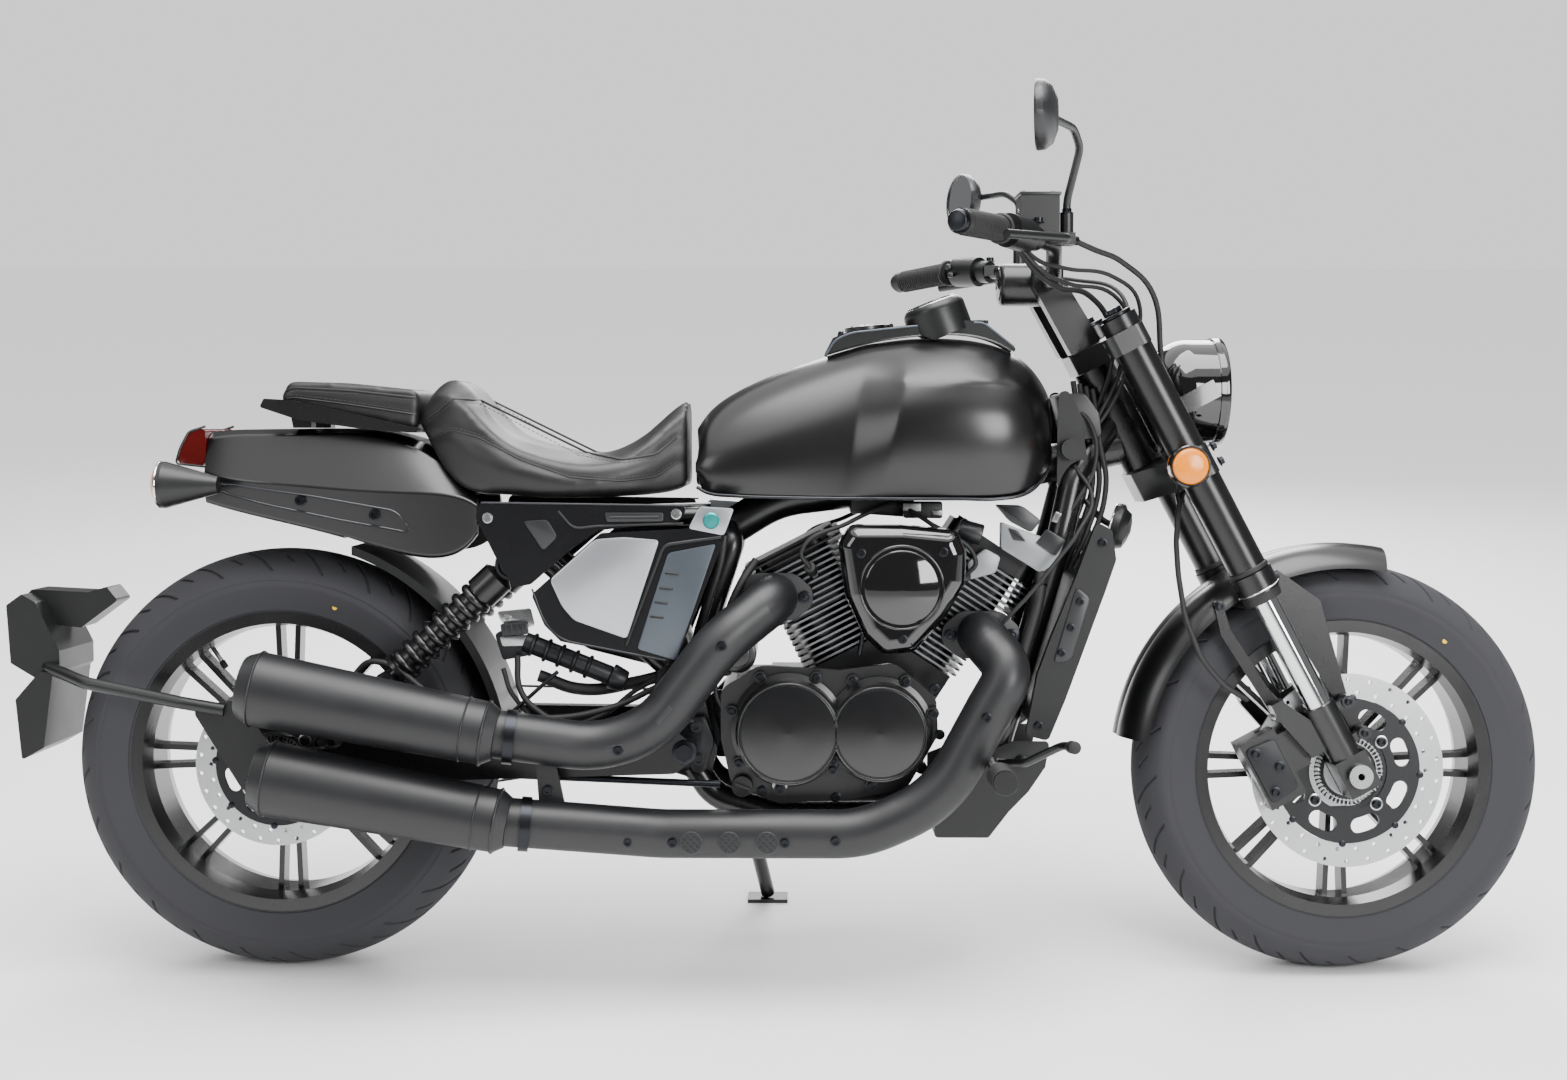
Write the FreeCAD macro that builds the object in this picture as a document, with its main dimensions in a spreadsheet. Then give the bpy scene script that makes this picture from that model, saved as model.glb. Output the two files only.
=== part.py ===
import FreeCAD, Part
import math
import operator
import os

import Sketcher
from FreeCAD import Placement, Rotation, Vector

# Cruiser motorcycle: X forward, Y to its left, Z up, millimetres.
# Each piece is drawn on the upright machine, whose rear wheel stands at X = 0,
# and is then placed as the machine leans on its side stand.

SIZES = {
    # Stance
    "wheelbase": 1541,
    "lean_angle": 7,
    "rest_turn": 3,
    "rake_angle": 28,
    "fork_offset": 44,
    "origin_ahead": 724.4,
    "origin_left": 144.6,
    "seat_gap": 0.3,
    "overrun": 2,
    # Front tyre and rim
    "front_radius": 299,
    "front_tyre_width": 120,
    "front_crown": 68,
    "front_rim_width": 104,
    "front_lip": 216,
    # Rear tyre and rim
    "rear_radius": 308,
    "rear_tyre_width": 150,
    "rear_crown": 88,
    "rear_rim_width": 128,
    "rear_lip": 219,
    # Rims
    "rim_lip_high": 12,
    "rim_lip_thick": 6,
    "rim_wall": 11,
    "rim_well": 6,
    "spoke_thick": 8,
    "spoke_deep": 30,
    "spoke_spread": 15,
    "spoke_root": 9,
    "spoke_pairs": 8,
    "hub_radius": 34,
    "hub_flange": 50,
    "hub_flange_thick": 8,
    # Discs
    "front_disc_radius": 140,
    "rear_disc_radius": 118,
    "disc_band": 32,
    "disc_thick": 4,
    "disc_side": 68,
    "rear_disc_side": 82,
    "carrier_bore": 26,
    "sensor_ring_radius": 56,
    "sensor_ring_thick": 3,
    "disc_slots": 8,
    # Final drive
    "chain_side": 94,
    "chain_pitch": 15.875,
    "chain_width": 18,
    "chain_high": 13,
    "chain_tooth_gap": 0.8,
    "sprocket_thick": 6,
    "rear_teeth": 38,
    "front_teeth": 15,
    "tooth_high": 8,
    "drive_ahead": 662,
    "drive_up": 352,
    # Axles
    "axle_radius": 10,
    "axle_bore": 5,
    "holder_half": 23,
    "hanger_thick": 5,
    "axle_nut_radius": 17,
    "axle_nut_thick": 10,
    "bearing_gap": 0.3,
    # Swing arm
    "pivot_ahead": 590,
    "pivot_up": 335,
    "arm_high": 62,
    "arm_tip_high": 46,
    "arm_thick": 26,
    "arm_side": 119.5,
    "arm_bridge_ahead": 470,
    "arm_bridge_radius": 24,
    # Shock absorbers
    "shock_top_ahead": 345,
    "shock_top_up": 600,
    "shock_foot_ahead": 165,
    "shock_foot_up": 432,
    "shock_side": 114,
    "shock_can_radius": 25,
    "shock_can_long": 62,
    "shock_rod_radius": 19,
    "spring_radius": 26,
    "spring_wire": 6,
    "spring_turns": 8,
    "shock_eye_radius": 15,
    "shock_eye_wide": 24,
    # Frame tubes
    "head_radius": 30,
    "head_bore": 17,
    "backbone_radius": 27,
    "down_tube_radius": 19,
    "down_tube_side": 62,
    "upright_radius": 16,
    "upright_side": 62,
    "rail_radius": 13,
    "rail_side": 88,
    "rail_tail_side": 56,
    # Engine
    "crank_ahead": 866,
    "crank_up": 366,
    "case_half": 105,
    "case_long": 312,
    "case_high": 205,
    "case_behind": 228,
    "case_below": 106,
    "front_bank": 33,
    "rear_bank": 27,
    "deck_up": 114,
    "barrel_radius": 45,
    "fin_half": 60,
    "head_fin_half": 78,
    "fin_thick": 3,
    "fin_pitch": 9,
    "barrel_fins": 8,
    "head_fins": 11,
    "fin_corner": 22,
    "rocker_high": 26,
    "clutch_behind": 129,
    "clutch_radius": 74,
    "alternator_radius": 69,
    "cover_half": 160,
    "cover_rim": 12,
    "left_cover_half": 150,
    "left_cover_radius": 82,
    # Air cleaner and intake
    "cleaner_side": 168,
    "cleaner_thick": 58,
    "cleaner_rear": 806,
    "cleaner_foot": 475,
    "cleaner_long": 180,
    "cleaner_high": 183,
    "intake_radius": 29,
    # Exhausts
    "pipe_radius": 34,
    "pipe_side": 172,
    "muffler_side": 201,
    "muffler_front_radius": 44,
    "muffler_rear_radius": 52,
    "muffler_tip_radius": 20,
    # Fuel tank
    "tank_rear": 604,
    "tank_long": 516,
    "tank_foot": 694,
    "tank_high": 238,
    "tank_half": 142,
    "tank_edge_radius": 12,
    # Seats and tail
    "seat_rear": 212,
    "seat_long": 414,
    "seat_foot": 694,
    "seat_high": 168,
    "seat_half": 138,
    "pad_rear": 6,
    "pad_long": 203,
    "pad_foot": 796,
    "pad_high": 62,
    "pad_half": 84,
    "tail_rear": -100,
    "tail_long": 396,
    "tail_foot": 604,
    "tail_high": 192,
    "tail_half": 112,
    # Steering head
    "clamp_up": 700,
    "clamp_thick": 30,
    "lower_clamp_up": 500,
    "lower_clamp_thick": 44,
    "neck_cover_side": 52,
    "neck_cover_thick": 5,
    "fork_half": 100,
    "outer_tube_radius": 27,
    "outer_tube_foot": 296,
    "outer_tube_top": 735,
    "collar_radius": 31,
    "collar_high": 30,
    "inner_tube_radius": 18.5,
    "inner_tube_foot": 112,
    "stem_radius": 16,
    # Headlamp
    "lamp_ahead": 1361,
    "lamp_up": 846,
    "lamp_radius": 80,
    "lamp_rim_step": 3,
    "lamp_rim_deep": 9,
    "lamp_long": 104,
    # Handlebar
    "bar_radius": 11,
    "hose_radius": 4,
    "hose_bend": 90,
    "bar_clamp_ahead": 1106,
    "bar_clamp_up": 1000,
    "grip_radius": 16.5,
    "grip_end_ahead": 937,
    "grip_end_up": 1044,
    "grip_end_half": 392,
    "grip_root_ahead": 1012,
    "grip_root_up": 1049,
    "grip_root_half": 270,
    # Mirrors
    "mirror_ahead": 1046,
    "mirror_up": 1178,
    "mirror_half": 392,
    "mirror_wide": 128,
    "mirror_high": 88,
    "mirror_thick": 26,
    # Front fender
    "fender_radius": 325,
    "fender_wall": 3,
    "fender_half": 68,
    "fender_front_angle": 79,
    "fender_rear_angle": 172,
    # Side stand
    "stand_ahead": 652,
    "stand_side": 118,
    "stand_up": 226,
    "stand_radius": 11,
    "stand_foot_ahead": 702,
    "stand_foot_side": 262,
    "foot_thick": 6,
    # Frame, seat and clearances
    "weld_depth": 1,
    "spine_neck_up": 40,
    "spine_front_ahead": 1090,
    "spine_front_up": 735,
    "spine_knee_ahead": 720,
    "spine_knee_up": 690,
    "spine_foot_ahead": 640,
    "spine_foot_up": 640,
    "spine_bend": 160,
    "cradle_neck_up": 600,
    "cradle_neck_side": 8,
    "cradle_knee_up": 560,
    "cradle_knee_behind": 104,
    "cradle_knee_side": 48,
    "cradle_rear": 600,
    "cradle_foot": 240,
    "cradle_long": 400,
    "cradle_high": 400,
    "cradle_bend": 60,
    "upright_ahead": 600,
    "upright_foot": 400,
    "upright_long": 100,
    "upright_high": 250,
    "upright_neck_side": 20,
    "upright_bend": 40,
    "pivot_lug_size": 100,
    "pivot_lug_half": 12,
    "pivot_lug_corner": 14,
    "pivot_bore_over": 40,
    "head_bore_over": 20,
    "upper_cross_ahead": 604,
    "upper_cross_up": 420,
    "front_cross_ahead": 1022,
    "front_cross_up": 252,
    "rail_rear": -40,
    "rail_foot": 660,
    "rail_long": 400,
    "rail_rise": 100,
    "rail_bend": 80,
    "rail_cross_up": 650,
    "stay_foot_ahead": 560,
    "stay_foot_up": 450,
    "stay_top_up": 640,
    "gusset_size": 100,
    "gusset_half": 5,
    "gusset_corner": 8,
    "shock_pin_radius": 12,
    # Engine's smaller sizes
    "case_corner": 22,
    "case_margin": 5,
    "case_deck_up": 70,
    "rear_rocker_high": 4,
    "sprocket_cover_size": 200,
    "sprocket_cover_thick": 24,
    "sprocket_cover_corner": 18,
    "cleaner_corner": 18,
    "intake_ahead": 12,
    "intake_end": 44,
    "throttle_up": 18,
    "throttle_near": 10,
    "throttle_far": 80,
    "port_radius": 15,
    "port_long": 36,
    "port_gap": 9,
    "port_up": 76,
    # Exhaust routes
    "upper_pipe_rear": 316,
    "upper_pipe_foot": 352,
    "upper_pipe_long": 400,
    "upper_pipe_high": 200,
    "upper_port_side": 130,
    "upper_bend": 150,
    "lower_pipe_rear": 345,
    "lower_pipe_foot": 227,
    "lower_pipe_long": 500,
    "lower_pipe_high": 250,
    "lower_port_side": 122,
    "lower_bend": 170,
    "upper_muffler_front": 334,
    "upper_muffler_front_up": 369,
    "upper_muffler_rear": -14,
    "upper_muffler_rear_up": 436,
    "lower_muffler_front": 350,
    "lower_muffler_front_up": 247,
    "lower_muffler_rear": 2,
    "lower_muffler_rear_up": 311,
    "muffler_inset": 8,
    "muffler_nose": 14,
    "muffler_crown": 16,
    "muffler_lip": 8,
    "muffler_bore_deep": 50,
    "pipe_link_ahead": 392,
    "pipe_link_up": 238,
    "pipe_link_high": 100,
    "pipe_link_half": 4,
    # Tank fittings
    "tunnel_half": 40,
    "tunnel_high": 106,
    "tunnel_drop": 20,
    "console_rear": 785,
    "console_foot": 900,
    "console_long": 250,
    "console_high": 50,
    "console_half": 32,
    "console_corner": 4,
    "pod_ahead": 962,
    "pod_up": 928,
    "pod_radius": 46,
    "pod_high": 52,
    "pod_edge_radius": 14,
    "cap_ahead": 848,
    "cap_up": 936.2,
    "cap_slope_run": 142,
    "cap_slope_rise": 14,
    "cap_radius": 30,
    "cap_thick": 5,
    "plug_radius": 18,
    "plug_long": 6,
    "mouth_radius": 21,
    "mouth_deep": 20,
    "mouth_below": 9,
    "hinge_ahead": 38,
    "hinge_up": 3,
    "hinge_radius": 3,
    "ear_side": 9,
    "ear_thick": 5,
    "ear_high": 4,
    "tab_root": 26,
    "tab_half": 6,
    "tab_thick": 4,
    "tab_up": 1,
    # Seats, rack and tail
    "seat_nose_gap": 14,
    "seat_edge_radius": 9,
    "pad_corner": 7,
    "pad_edge_radius": 5,
    "rack_rear": -14,
    "rack_foot": 790,
    "rack_long": 200,
    "rack_high": 50,
    "rack_inner": 87,
    "rack_outer": 105,
    "rack_bow_half": 88,
    "rack_corner": 3,
    "rack_foot_side": 60,
    "rack_foot_half": 14,
    "tail_edge_radius": 7,
    "hollow_long": 500,
    "hollow_high": 200,
    "tail_lamp_up": 738,
    "tail_lamp_deep": 50,
    "tail_lamp_high": 50,
    "tail_lamp_half": 72,
    "tail_lamp_corner": 6,
    "rear_lamp_ahead": -141,
    "rear_lamp_side": 128,
    "rear_lamp_up": 712,
    "rear_lamp_radius": 33,
    "rear_lamp_tip": 12,
    "rear_lamp_long": 74,
    "rear_lens_deep": 8,
    "rear_stalk_ahead": -92,
    "rear_stalk_root": 90,
    "rear_stalk_root_up": 716,
    "rear_stalk_end": 120,
    "rear_stalk_end_up": 714,
    "rear_stalk_radius": 8,
    # Panels and hugger
    "upper_panel_rear": 300,
    "upper_panel_foot": 570,
    "upper_panel_long": 250,
    "upper_panel_high": 125,
    "upper_panel_side": 149,
    "upper_panel_thick": 8,
    "lower_panel_rear": 375,
    "lower_panel_foot": 460,
    "lower_panel_long": 250,
    "lower_panel_high": 200,
    "lower_panel_side": 152,
    "lower_panel_thick": 12,
    "panel_corner": 8,
    "panel_peg_radius": 7,
    "hugger_radius": 322,
    "hugger_thick": 12,
    "hugger_half": 84,
    "hugger_rear": 110,
    "hugger_foot": 44,
    "hugger_pin_ahead": 333,
    "hugger_pin_up": 356,
    "hugger_pin_radius": 8,
    # Plate holder
    "hanger_high": 100,
    "hanger_corner": 12,
    "plate_arm_rear": -345,
    "plate_arm_foot": 400,
    "plate_arm_long": 250,
    "plate_arm_rise": 50,
    "plate_arm_inset": 4,
    "plate_arm_mid_side": 122,
    "plate_arm_end_side": 60,
    "plate_arm_bend": 40,
    "plate_arm_radius": 9,
    "plate_rear": -394,
    "plate_foot": 440,
    "plate_long": 100,
    "plate_high": 100,
    "plate_half": 70,
    "plate_corner": 3,
    "flap_half": 78,
    "plate_lamp_half": 30,
    "plate_lamp_corner": 4,
    # Radiator, neck and guard
    "radiator_rear": 1088,
    "radiator_foot": 366,
    "radiator_thick": 24,
    "radiator_slope": 72,
    "radiator_high": 246,
    "radiator_half": 100,
    "radiator_cover_long": 100,
    "radiator_cover_high": 250,
    "radiator_cover_side": 117,
    "radiator_cover_corner": 8,
    "neck_cover_rear": 1123,
    "neck_cover_foot": 700,
    "neck_cover_long": 50,
    "neck_cover_high": 100,
    "neck_cover_corner": 8,
    "lock_ahead": 1142,
    "lock_up": 764,
    "lock_long": 16,
    "lock_radius": 15,
    "neck_pin_ahead": 1144,
    "neck_pin_up": 738,
    "neck_pin_radius": 8,
    "guard_rear": 947,
    "guard_foot": 205,
    "guard_long": 200,
    "guard_high": 200,
    "guard_half": 88,
    "guard_wall": 4,
    "guard_corner": 6,
    "guard_boss_ahead": 1034,
    "guard_boss_up": 312,
    "guard_boss_radius": 9,
    # Foot controls
    "peg_ahead": 1028,
    "peg_up": 318,
    "peg_bar_radius": 8,
    "peg_bar_end": 214,
    "peg_inner": 212,
    "peg_outer": 296,
    "peg_rise": 3,
    "peg_radius": 16,
    "pedal_long": 100,
    "pedal_bend": 20,
    "pedal_radius": 6,
    # Calipers
    "caliper_slot_half": 5,
    "caliper_clear": 6,
    "rear_caliper_size": 100,
    "rear_caliper_outer": 104.7,
    "rear_caliper_inner": 64,
    "rear_caliper_corner": 10,
    "front_caliper_rear": 128,
    "front_caliper_outer": 98,
    "front_caliper_foot": 8,
    "front_caliper_long": 56,
    "front_caliper_wide": 50,
    "front_caliper_high": 104,
    "caliper_arm_rear": 76,
    "caliper_arm_up": 40,
    "caliper_arm_long": 30,
    "caliper_arm_thick": 12,
    "caliper_arm_high": 60,
    # Side stand's smaller sizes
    "stand_bow_ahead": 6,
    "stand_bow_side": 8,
    "stand_bow_up": 4,
    "stand_bend": 90,
    "stand_ear_radius": 15,
    "stand_ear_thick": 16,
    "stand_strut_radius": 8,
    "stand_strut_root": 6,
    "stand_strut_ahead": 650,
    "stand_strut_up": 250,
    "stand_strut_inset": 4,
    "sole_long": 64,
    "sole_wide": 36,
    # Fork and its clamps
    "yoke_front": 6,
    "upper_yoke_front": 4,
    "yoke_rear": 74,
    "yoke_nose_half": 62,
    "yoke_rear_half": 32,
    "yoke_cheek": 34,
    "yoke_cheek_ahead": 30,
    "yoke_corner": 14,
    "fork_bore_deep": 290,
    "inner_tube_gap": 20,
    "holder_foot": 10,
    "socket_half": 24,
    "socket_high": 56,
    "socket_below": 26,
    "lug_radius": 9,
    "lug_thick": 22,
    "lug_ahead": 38,
    "upper_lug_up": 98,
    "lower_lug_up": 47,
    "web_thick": 14,
    "web_high": 12,
    "horn_size": 100,
    "horn_corner": 3,
    # Front lamps
    "lamp_arm_root": 22.4,
    "lamp_arm_up": 566,
    "lamp_arm_side": 74,
    "lamp_arm_long": 62,
    "lamp_arm_thick": 10,
    "lamp_arm_high": 26,
    "front_lamp_ahead": -18,
    "front_lamp_side": 134.5,
    "front_lamp_up": 506,
    "front_lamp_radius": 27,
    "front_lamp_long": 26,
    # Bars' smaller sizes
    "bar_straight_half": 96,
    "bar_knee_behind": 14,
    "bar_knee_half": 180,
    "bar_knee_up": 40,
    "bar_bend": 50,
    "meter_ahead": 1042,
    "meter_up": 1002,
    "meter_radius": 31,
    "meter_long": 78,
    "meter_edge_radius": 7,
    "riser_side": 42,
    "riser_half": 13,
    "riser_behind": 6,
    "riser_foot_half": 24,
    "riser_head_half": 22,
    "riser_head_step": 6,
    "riser_head_drop": 4,
    "riser_corner": 4,
    "grip_gap": 14,
    "grip_cap": 4,
    "housing_radius": 23,
    "housing_long": 46,
    "housing_gap": 4,
    "perch_clamp_radius": 17,
    "perch_clamp_long": 24,
    "perch_clamp_gap": 48,
    "perch_behind": 58,
    "perch_above": 36,
    "perch_side": 209,
    "perch_long": 66,
    "perch_wide": 26,
    "perch_high": 16,
    "boss_behind": 2,
    "boss_above": 42,
    "boss_radius": 9,
    "boss_high": 36,
    "lever_gap": 64,
    "lever_ahead": 24,
    "lever_knee_ahead": 24,
    "lever_knee_out": 30,
    "lever_knee_drop": 4,
    "lever_tip_ahead": 62,
    "lever_tip_in": 26,
    "lever_tip_drop": 12,
    "lever_bend": 20,
    "lever_radius": 6,
    "switch_box_behind": 66,
    "switch_box_above": 50,
    "switch_box_side": 224,
    "switch_box_long": 52,
    "switch_box_wide": 46,
    "mirror_face_behind": 12,
    "mirror_turn": 12,
    "mirror_stem_long": 100,
    "mirror_stem_bend": 14,
    "mirror_stem_radius": 5.5,
    # Fender and its brackets
    "fender_skirt": 33,
    "fender_shoulder": 9,
    "bracket_long": 100,
    "bracket_high": 200,
    "bracket_side": 76,
    "bracket_thick": 4,
    "bracket_corner": 4,
    "bracket_pad_radius": 8,
    "bracket_tab_long": 22,
    "bracket_tab_high": 14,
    "bracket_lug_radius": 7,
}

DOC = FreeCAD.newDocument("Motorcycle")
SHEET = DOC.addObject("Spreadsheet::Sheet", "Sizes")
for row, (alias, value) in enumerate(SIZES.items(), start=1):
    SHEET.set("A%d" % row, alias)
    SHEET.set("B%d" % row, str(value))
    SHEET.setAlias("B%d" % row, alias)
DOC.recompute()


class Size(float):
    """A length that carries the formula giving it from the sheet's cells."""

    def __new__(cls, value, formula):
        size = super().__new__(cls, value)
        size.formula = formula
        return size


def formula(value):
    """The text that ties a property to the sheet's cells."""
    return value.formula if isinstance(value, Size) else "(%r)" % float(value)


def worked_out(symbol, act, swapped=False):
    """An operator that works out a length and its formula together."""
    def method(self, other):
        if not isinstance(other, (int, float)):
            return NotImplemented
        first, second = (other, self) if swapped else (self, other)
        text = "(%s %s %s)" % (formula(first), symbol, formula(second))
        return Size(act(float(first), float(second)), text)
    return method


OPERATORS = (("add", "+", operator.add), ("sub", "-", operator.sub),
             ("mul", "*", operator.mul), ("truediv", "/", operator.truediv))
for word, symbol, act in OPERATORS:
    setattr(Size, "__%s__" % word, worked_out(symbol, act))
    setattr(Size, "__r%s__" % word, worked_out(symbol, act, True))
Size.__neg__ = lambda self: self * -1


class Dimensions:
    """The sheet's driving dimensions, read by alias."""

    def __getattr__(self, alias):
        return Size(float(SHEET.get(alias)), "Sizes.%s" % alias)


d = Dimensions()
ACROSS = Vector(0, 1, 0)
UP = Vector(0, 0, 1)
AHEAD = Vector(1, 0, 0)
RIGHT, LEFT = -1, 1
SIDES = (RIGHT, LEFT)
NODES = []


# Shape helpers

def polar(radius, degrees):
    angle = math.radians(degrees)
    return radius * math.cos(angle), radius * math.sin(angle)


def rounded_path(points, radius, closed=False):
    """A wire of straight runs, with a tangent arc at each corner."""
    points = [Vector(*p) for p in points]
    count = len(points)
    trims = []
    for i, corner in enumerate(points):
        if not closed and i in (0, count - 1):
            trims.append((corner, None, corner))
            continue
        before = points[i - 1] - corner
        after = points[(i + 1) % count] - corner
        half = before.getAngle(after) / 2
        if half > math.radians(89.5) or radius == 0:
            trims.append((corner, None, corner))
            continue
        reach = min(radius / math.tan(half), 0.48 * before.Length, 0.48 * after.Length)
        inner = reach * math.tan(half)
        before.normalize()
        after.normalize()
        middle = before + after
        middle.normalize()
        crest = corner + middle * (inner / math.sin(half) - inner)
        trims.append((corner + before * reach, crest, corner + after * reach))
    edges = []
    for i, (start, crest, end) in enumerate(trims):
        if crest is not None:
            edges.append(Part.Arc(start, crest, end).toShape())
        if i < count - 1 or closed:
            onward = trims[(i + 1) % count][0]
            if (onward - end).Length > 1e-6:
                edges.append(Part.LineSegment(end, onward).toShape())
    return Part.Wire(edges)


def tube(points, bend, radius):
    """A round bar along straight runs joined by tangent arcs."""
    path = rounded_path(points, bend)
    start = Vector(*points[0])
    heading = Vector(*points[1]) - start
    ring = Part.Wire(Part.Circle(start, heading, radius).toShape())
    return path.makePipeShell([ring], True, False)


def rod(start, end, radius):
    start = Vector(*start)
    heading = Vector(*end) - start
    return Part.makeCylinder(radius, heading.Length, start, heading)


def plate(outline, low, high, corner=0):
    """An outline of (x, z) points, thick from y = low to y = high."""
    wire = rounded_path([(x, low, z) for x, z in outline], corner, closed=True)
    return Part.Face(wire).extrude(ACROSS * (high - low))


def drum(x, z, low, high, radius):
    """A cylinder whose axis runs across the machine, from y = low to y = high."""
    return Part.makeCylinder(radius, high - low, Vector(x, low, z), ACROSS)


def turned(profile, centre=Vector(0, 0, 0)):
    """A profile of (y, radius) points, turned about the line across through the centre."""
    wire = Part.makePolygon([centre + Vector(0, y, r) for y, r in profile + profile[:1]])
    return Part.Face(wire).revolve(centre, ACROSS, 360)


def joined(shapes):
    shapes = list(shapes)
    if len(shapes) == 1:
        return shapes[0]
    return shapes[0].multiFuse(shapes[1:]).removeSplitter()


def apart(shapes):
    """Like pieces that don't touch, in one compound."""
    return Part.makeCompound(list(shapes))


def mirrored(shape):
    return shape.mirror(Vector(0, 0, 0), ACROSS)


def both_sides(shape):
    return apart([shape, mirrored(shape)])


def spot(rear, foot, length, height, shares):
    """Turns (share of length, share of height) pairs into (x, z) points."""
    return [(rear + length * a, foot + height * b) for a, b in shares]


# Stance: where the leaning machine and its turned front end lie

def axle_line(x):
    """The steering axis crosses the front axle's height here."""
    return x - d.fork_offset / math.cos(math.radians(d.rake_angle))


def lowest(centre, axle, radius, crown):
    """The height of the lowest point of a round-crowned tyre."""
    return centre.z - (radius - crown) * math.sqrt(1 - axle.z ** 2) - crown


def stance():
    """The placements of the leaning machine and of its turned front end."""
    rake = math.radians(d.rake_angle)
    foot = Vector(axle_line(d.wheelbase), 0, d.front_radius)
    axis = Vector(-math.sin(rake), 0, math.cos(rake))
    turn = Placement(Vector(0, 0, 0), Rotation(axis, d.rest_turn), foot)
    lean = Placement(Vector(0, 0, 0), Rotation(AHEAD, -d.lean_angle))
    front_axle = lean.Rotation.multVec(turn.Rotation.multVec(ACROSS))
    rear_axle = lean.Rotation.multVec(ACROSS)
    front_hub = lean.multVec(turn.multVec(Vector(d.wheelbase, 0, d.front_radius)))
    rear_hub = lean.multVec(Vector(0, 0, d.rear_radius))
    front_low = lowest(front_hub, front_axle, d.front_radius, d.front_crown)
    rear_low = lowest(rear_hub, rear_axle, d.rear_radius, d.rear_crown)
    pitch = math.degrees(math.atan2(front_low - rear_low, d.wheelbase))
    level = Placement(Vector(0, 0, 0), Rotation(ACROSS, pitch))
    back = Placement(Vector(-d.origin_ahead, -d.origin_left, -rear_low), Rotation())
    machine = back.multiply(level).multiply(lean)
    return machine, machine.multiply(turn)


MACHINE, FRONT_END = stance()


def fork_frame():
    """The front end's own frame: origin on the axle, Z up along the fork."""
    tilt = Rotation(ACROSS, -d.rake_angle)
    return FRONT_END.multiply(Placement(Vector(d.wheelbase, 0, d.front_radius), tilt))


FORK = fork_frame()
FRONT_WHEEL = FRONT_END.multiply(Placement(Vector(d.wheelbase, 0, d.front_radius), Rotation()))
REAR_WHEEL = MACHINE.multiply(Placement(Vector(0, 0, d.rear_radius), Rotation()))


def node(name, shape, placement=MACHINE):
    """Adds a shape drawn in code as a sub-part of the document."""
    piece = DOC.addObject("Part::Feature", name)
    piece.Label = name
    piece.Shape = shape
    piece.Placement = placement
    NODES.append(piece)


def ground_under(ahead, side):
    """The height, on the upright machine, at which the floor lies under a point."""
    drop = MACHINE.multVec(Vector(ahead, side, 0)).z
    return -drop / MACHINE.Rotation.multVec(UP).z


# Document objects whose sizes are tied to the sheet

def bind(piece, **values):
    for name, value in values.items():
        piece.setExpression(name.replace("__", "."), formula(value))


def lay(piece, place, turn=Rotation()):
    """Lays a document object at a place whose coordinates are tied to the sheet."""
    piece.Placement = Placement(Vector(*place), turn)
    bind(piece, Placement__Base__x=place[0], Placement__Base__y=place[1], Placement__Base__z=place[2])
    return piece


def pin_object(name, place, long, radius, way=ACROSS):
    """A cylinder from a place along one of the axes."""
    piece = DOC.addObject("Part::Cylinder", name)
    bind(piece, Radius=radius, Height=long)
    return lay(piece, place, Rotation(UP, way))


def cross_pin(name, x, z, low, high, radius):
    """A cylinder whose axis runs across the machine, from y = low to y = high."""
    return pin_object(name, (x, low, z), high - low, radius)


def block_object(name, place, long, wide, high):
    piece = DOC.addObject("Part::Box", name)
    bind(piece, Length=long, Width=wide, Height=high)
    return lay(piece, place)


def merged(name, pieces):
    piece = DOC.addObject("Part::MultiFuse", name)
    piece.Shapes = pieces
    piece.Refine = True
    return piece


def lessened(name, base, tool):
    piece = DOC.addObject("Part::Cut", name)
    piece.Base = base
    piece.Tool = tool
    piece.Refine = False
    return piece


def grouped(name, pieces):
    """Like pieces that don't touch, in one compound."""
    piece = DOC.addObject("Part::Compound", name)
    piece.Links = pieces
    return piece


def reflected(piece):
    """The same piece on the machine's other side."""
    twin = DOC.addObject("Part::Mirroring", piece.Name + "_twin")
    twin.Source = piece
    twin.Base = Vector(0, 0, 0)
    twin.Normal = ACROSS
    return twin


def paired(name, piece):
    return grouped(name, [piece, reflected(piece)])


def kept(piece, placement=MACHINE):
    """Takes a document object as the sub-part that its name says."""
    piece.Placement = placement
    NODES.append(piece)
    return piece


def corner_size(before, corner, after, radius):
    """The radius asked for, or less where the corner's sides are too short for it."""
    first, second = Vector(*before, 0) - Vector(*corner, 0), Vector(*after, 0) - Vector(*corner, 0)
    half = first.getAngle(second) / 2
    if half > math.radians(89.5):
        return 0
    reach = radius / math.tan(half)
    limit = 0.48 * min(first.Length, second.Length)
    return radius if reach <= limit else radius * (limit / reach)


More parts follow.
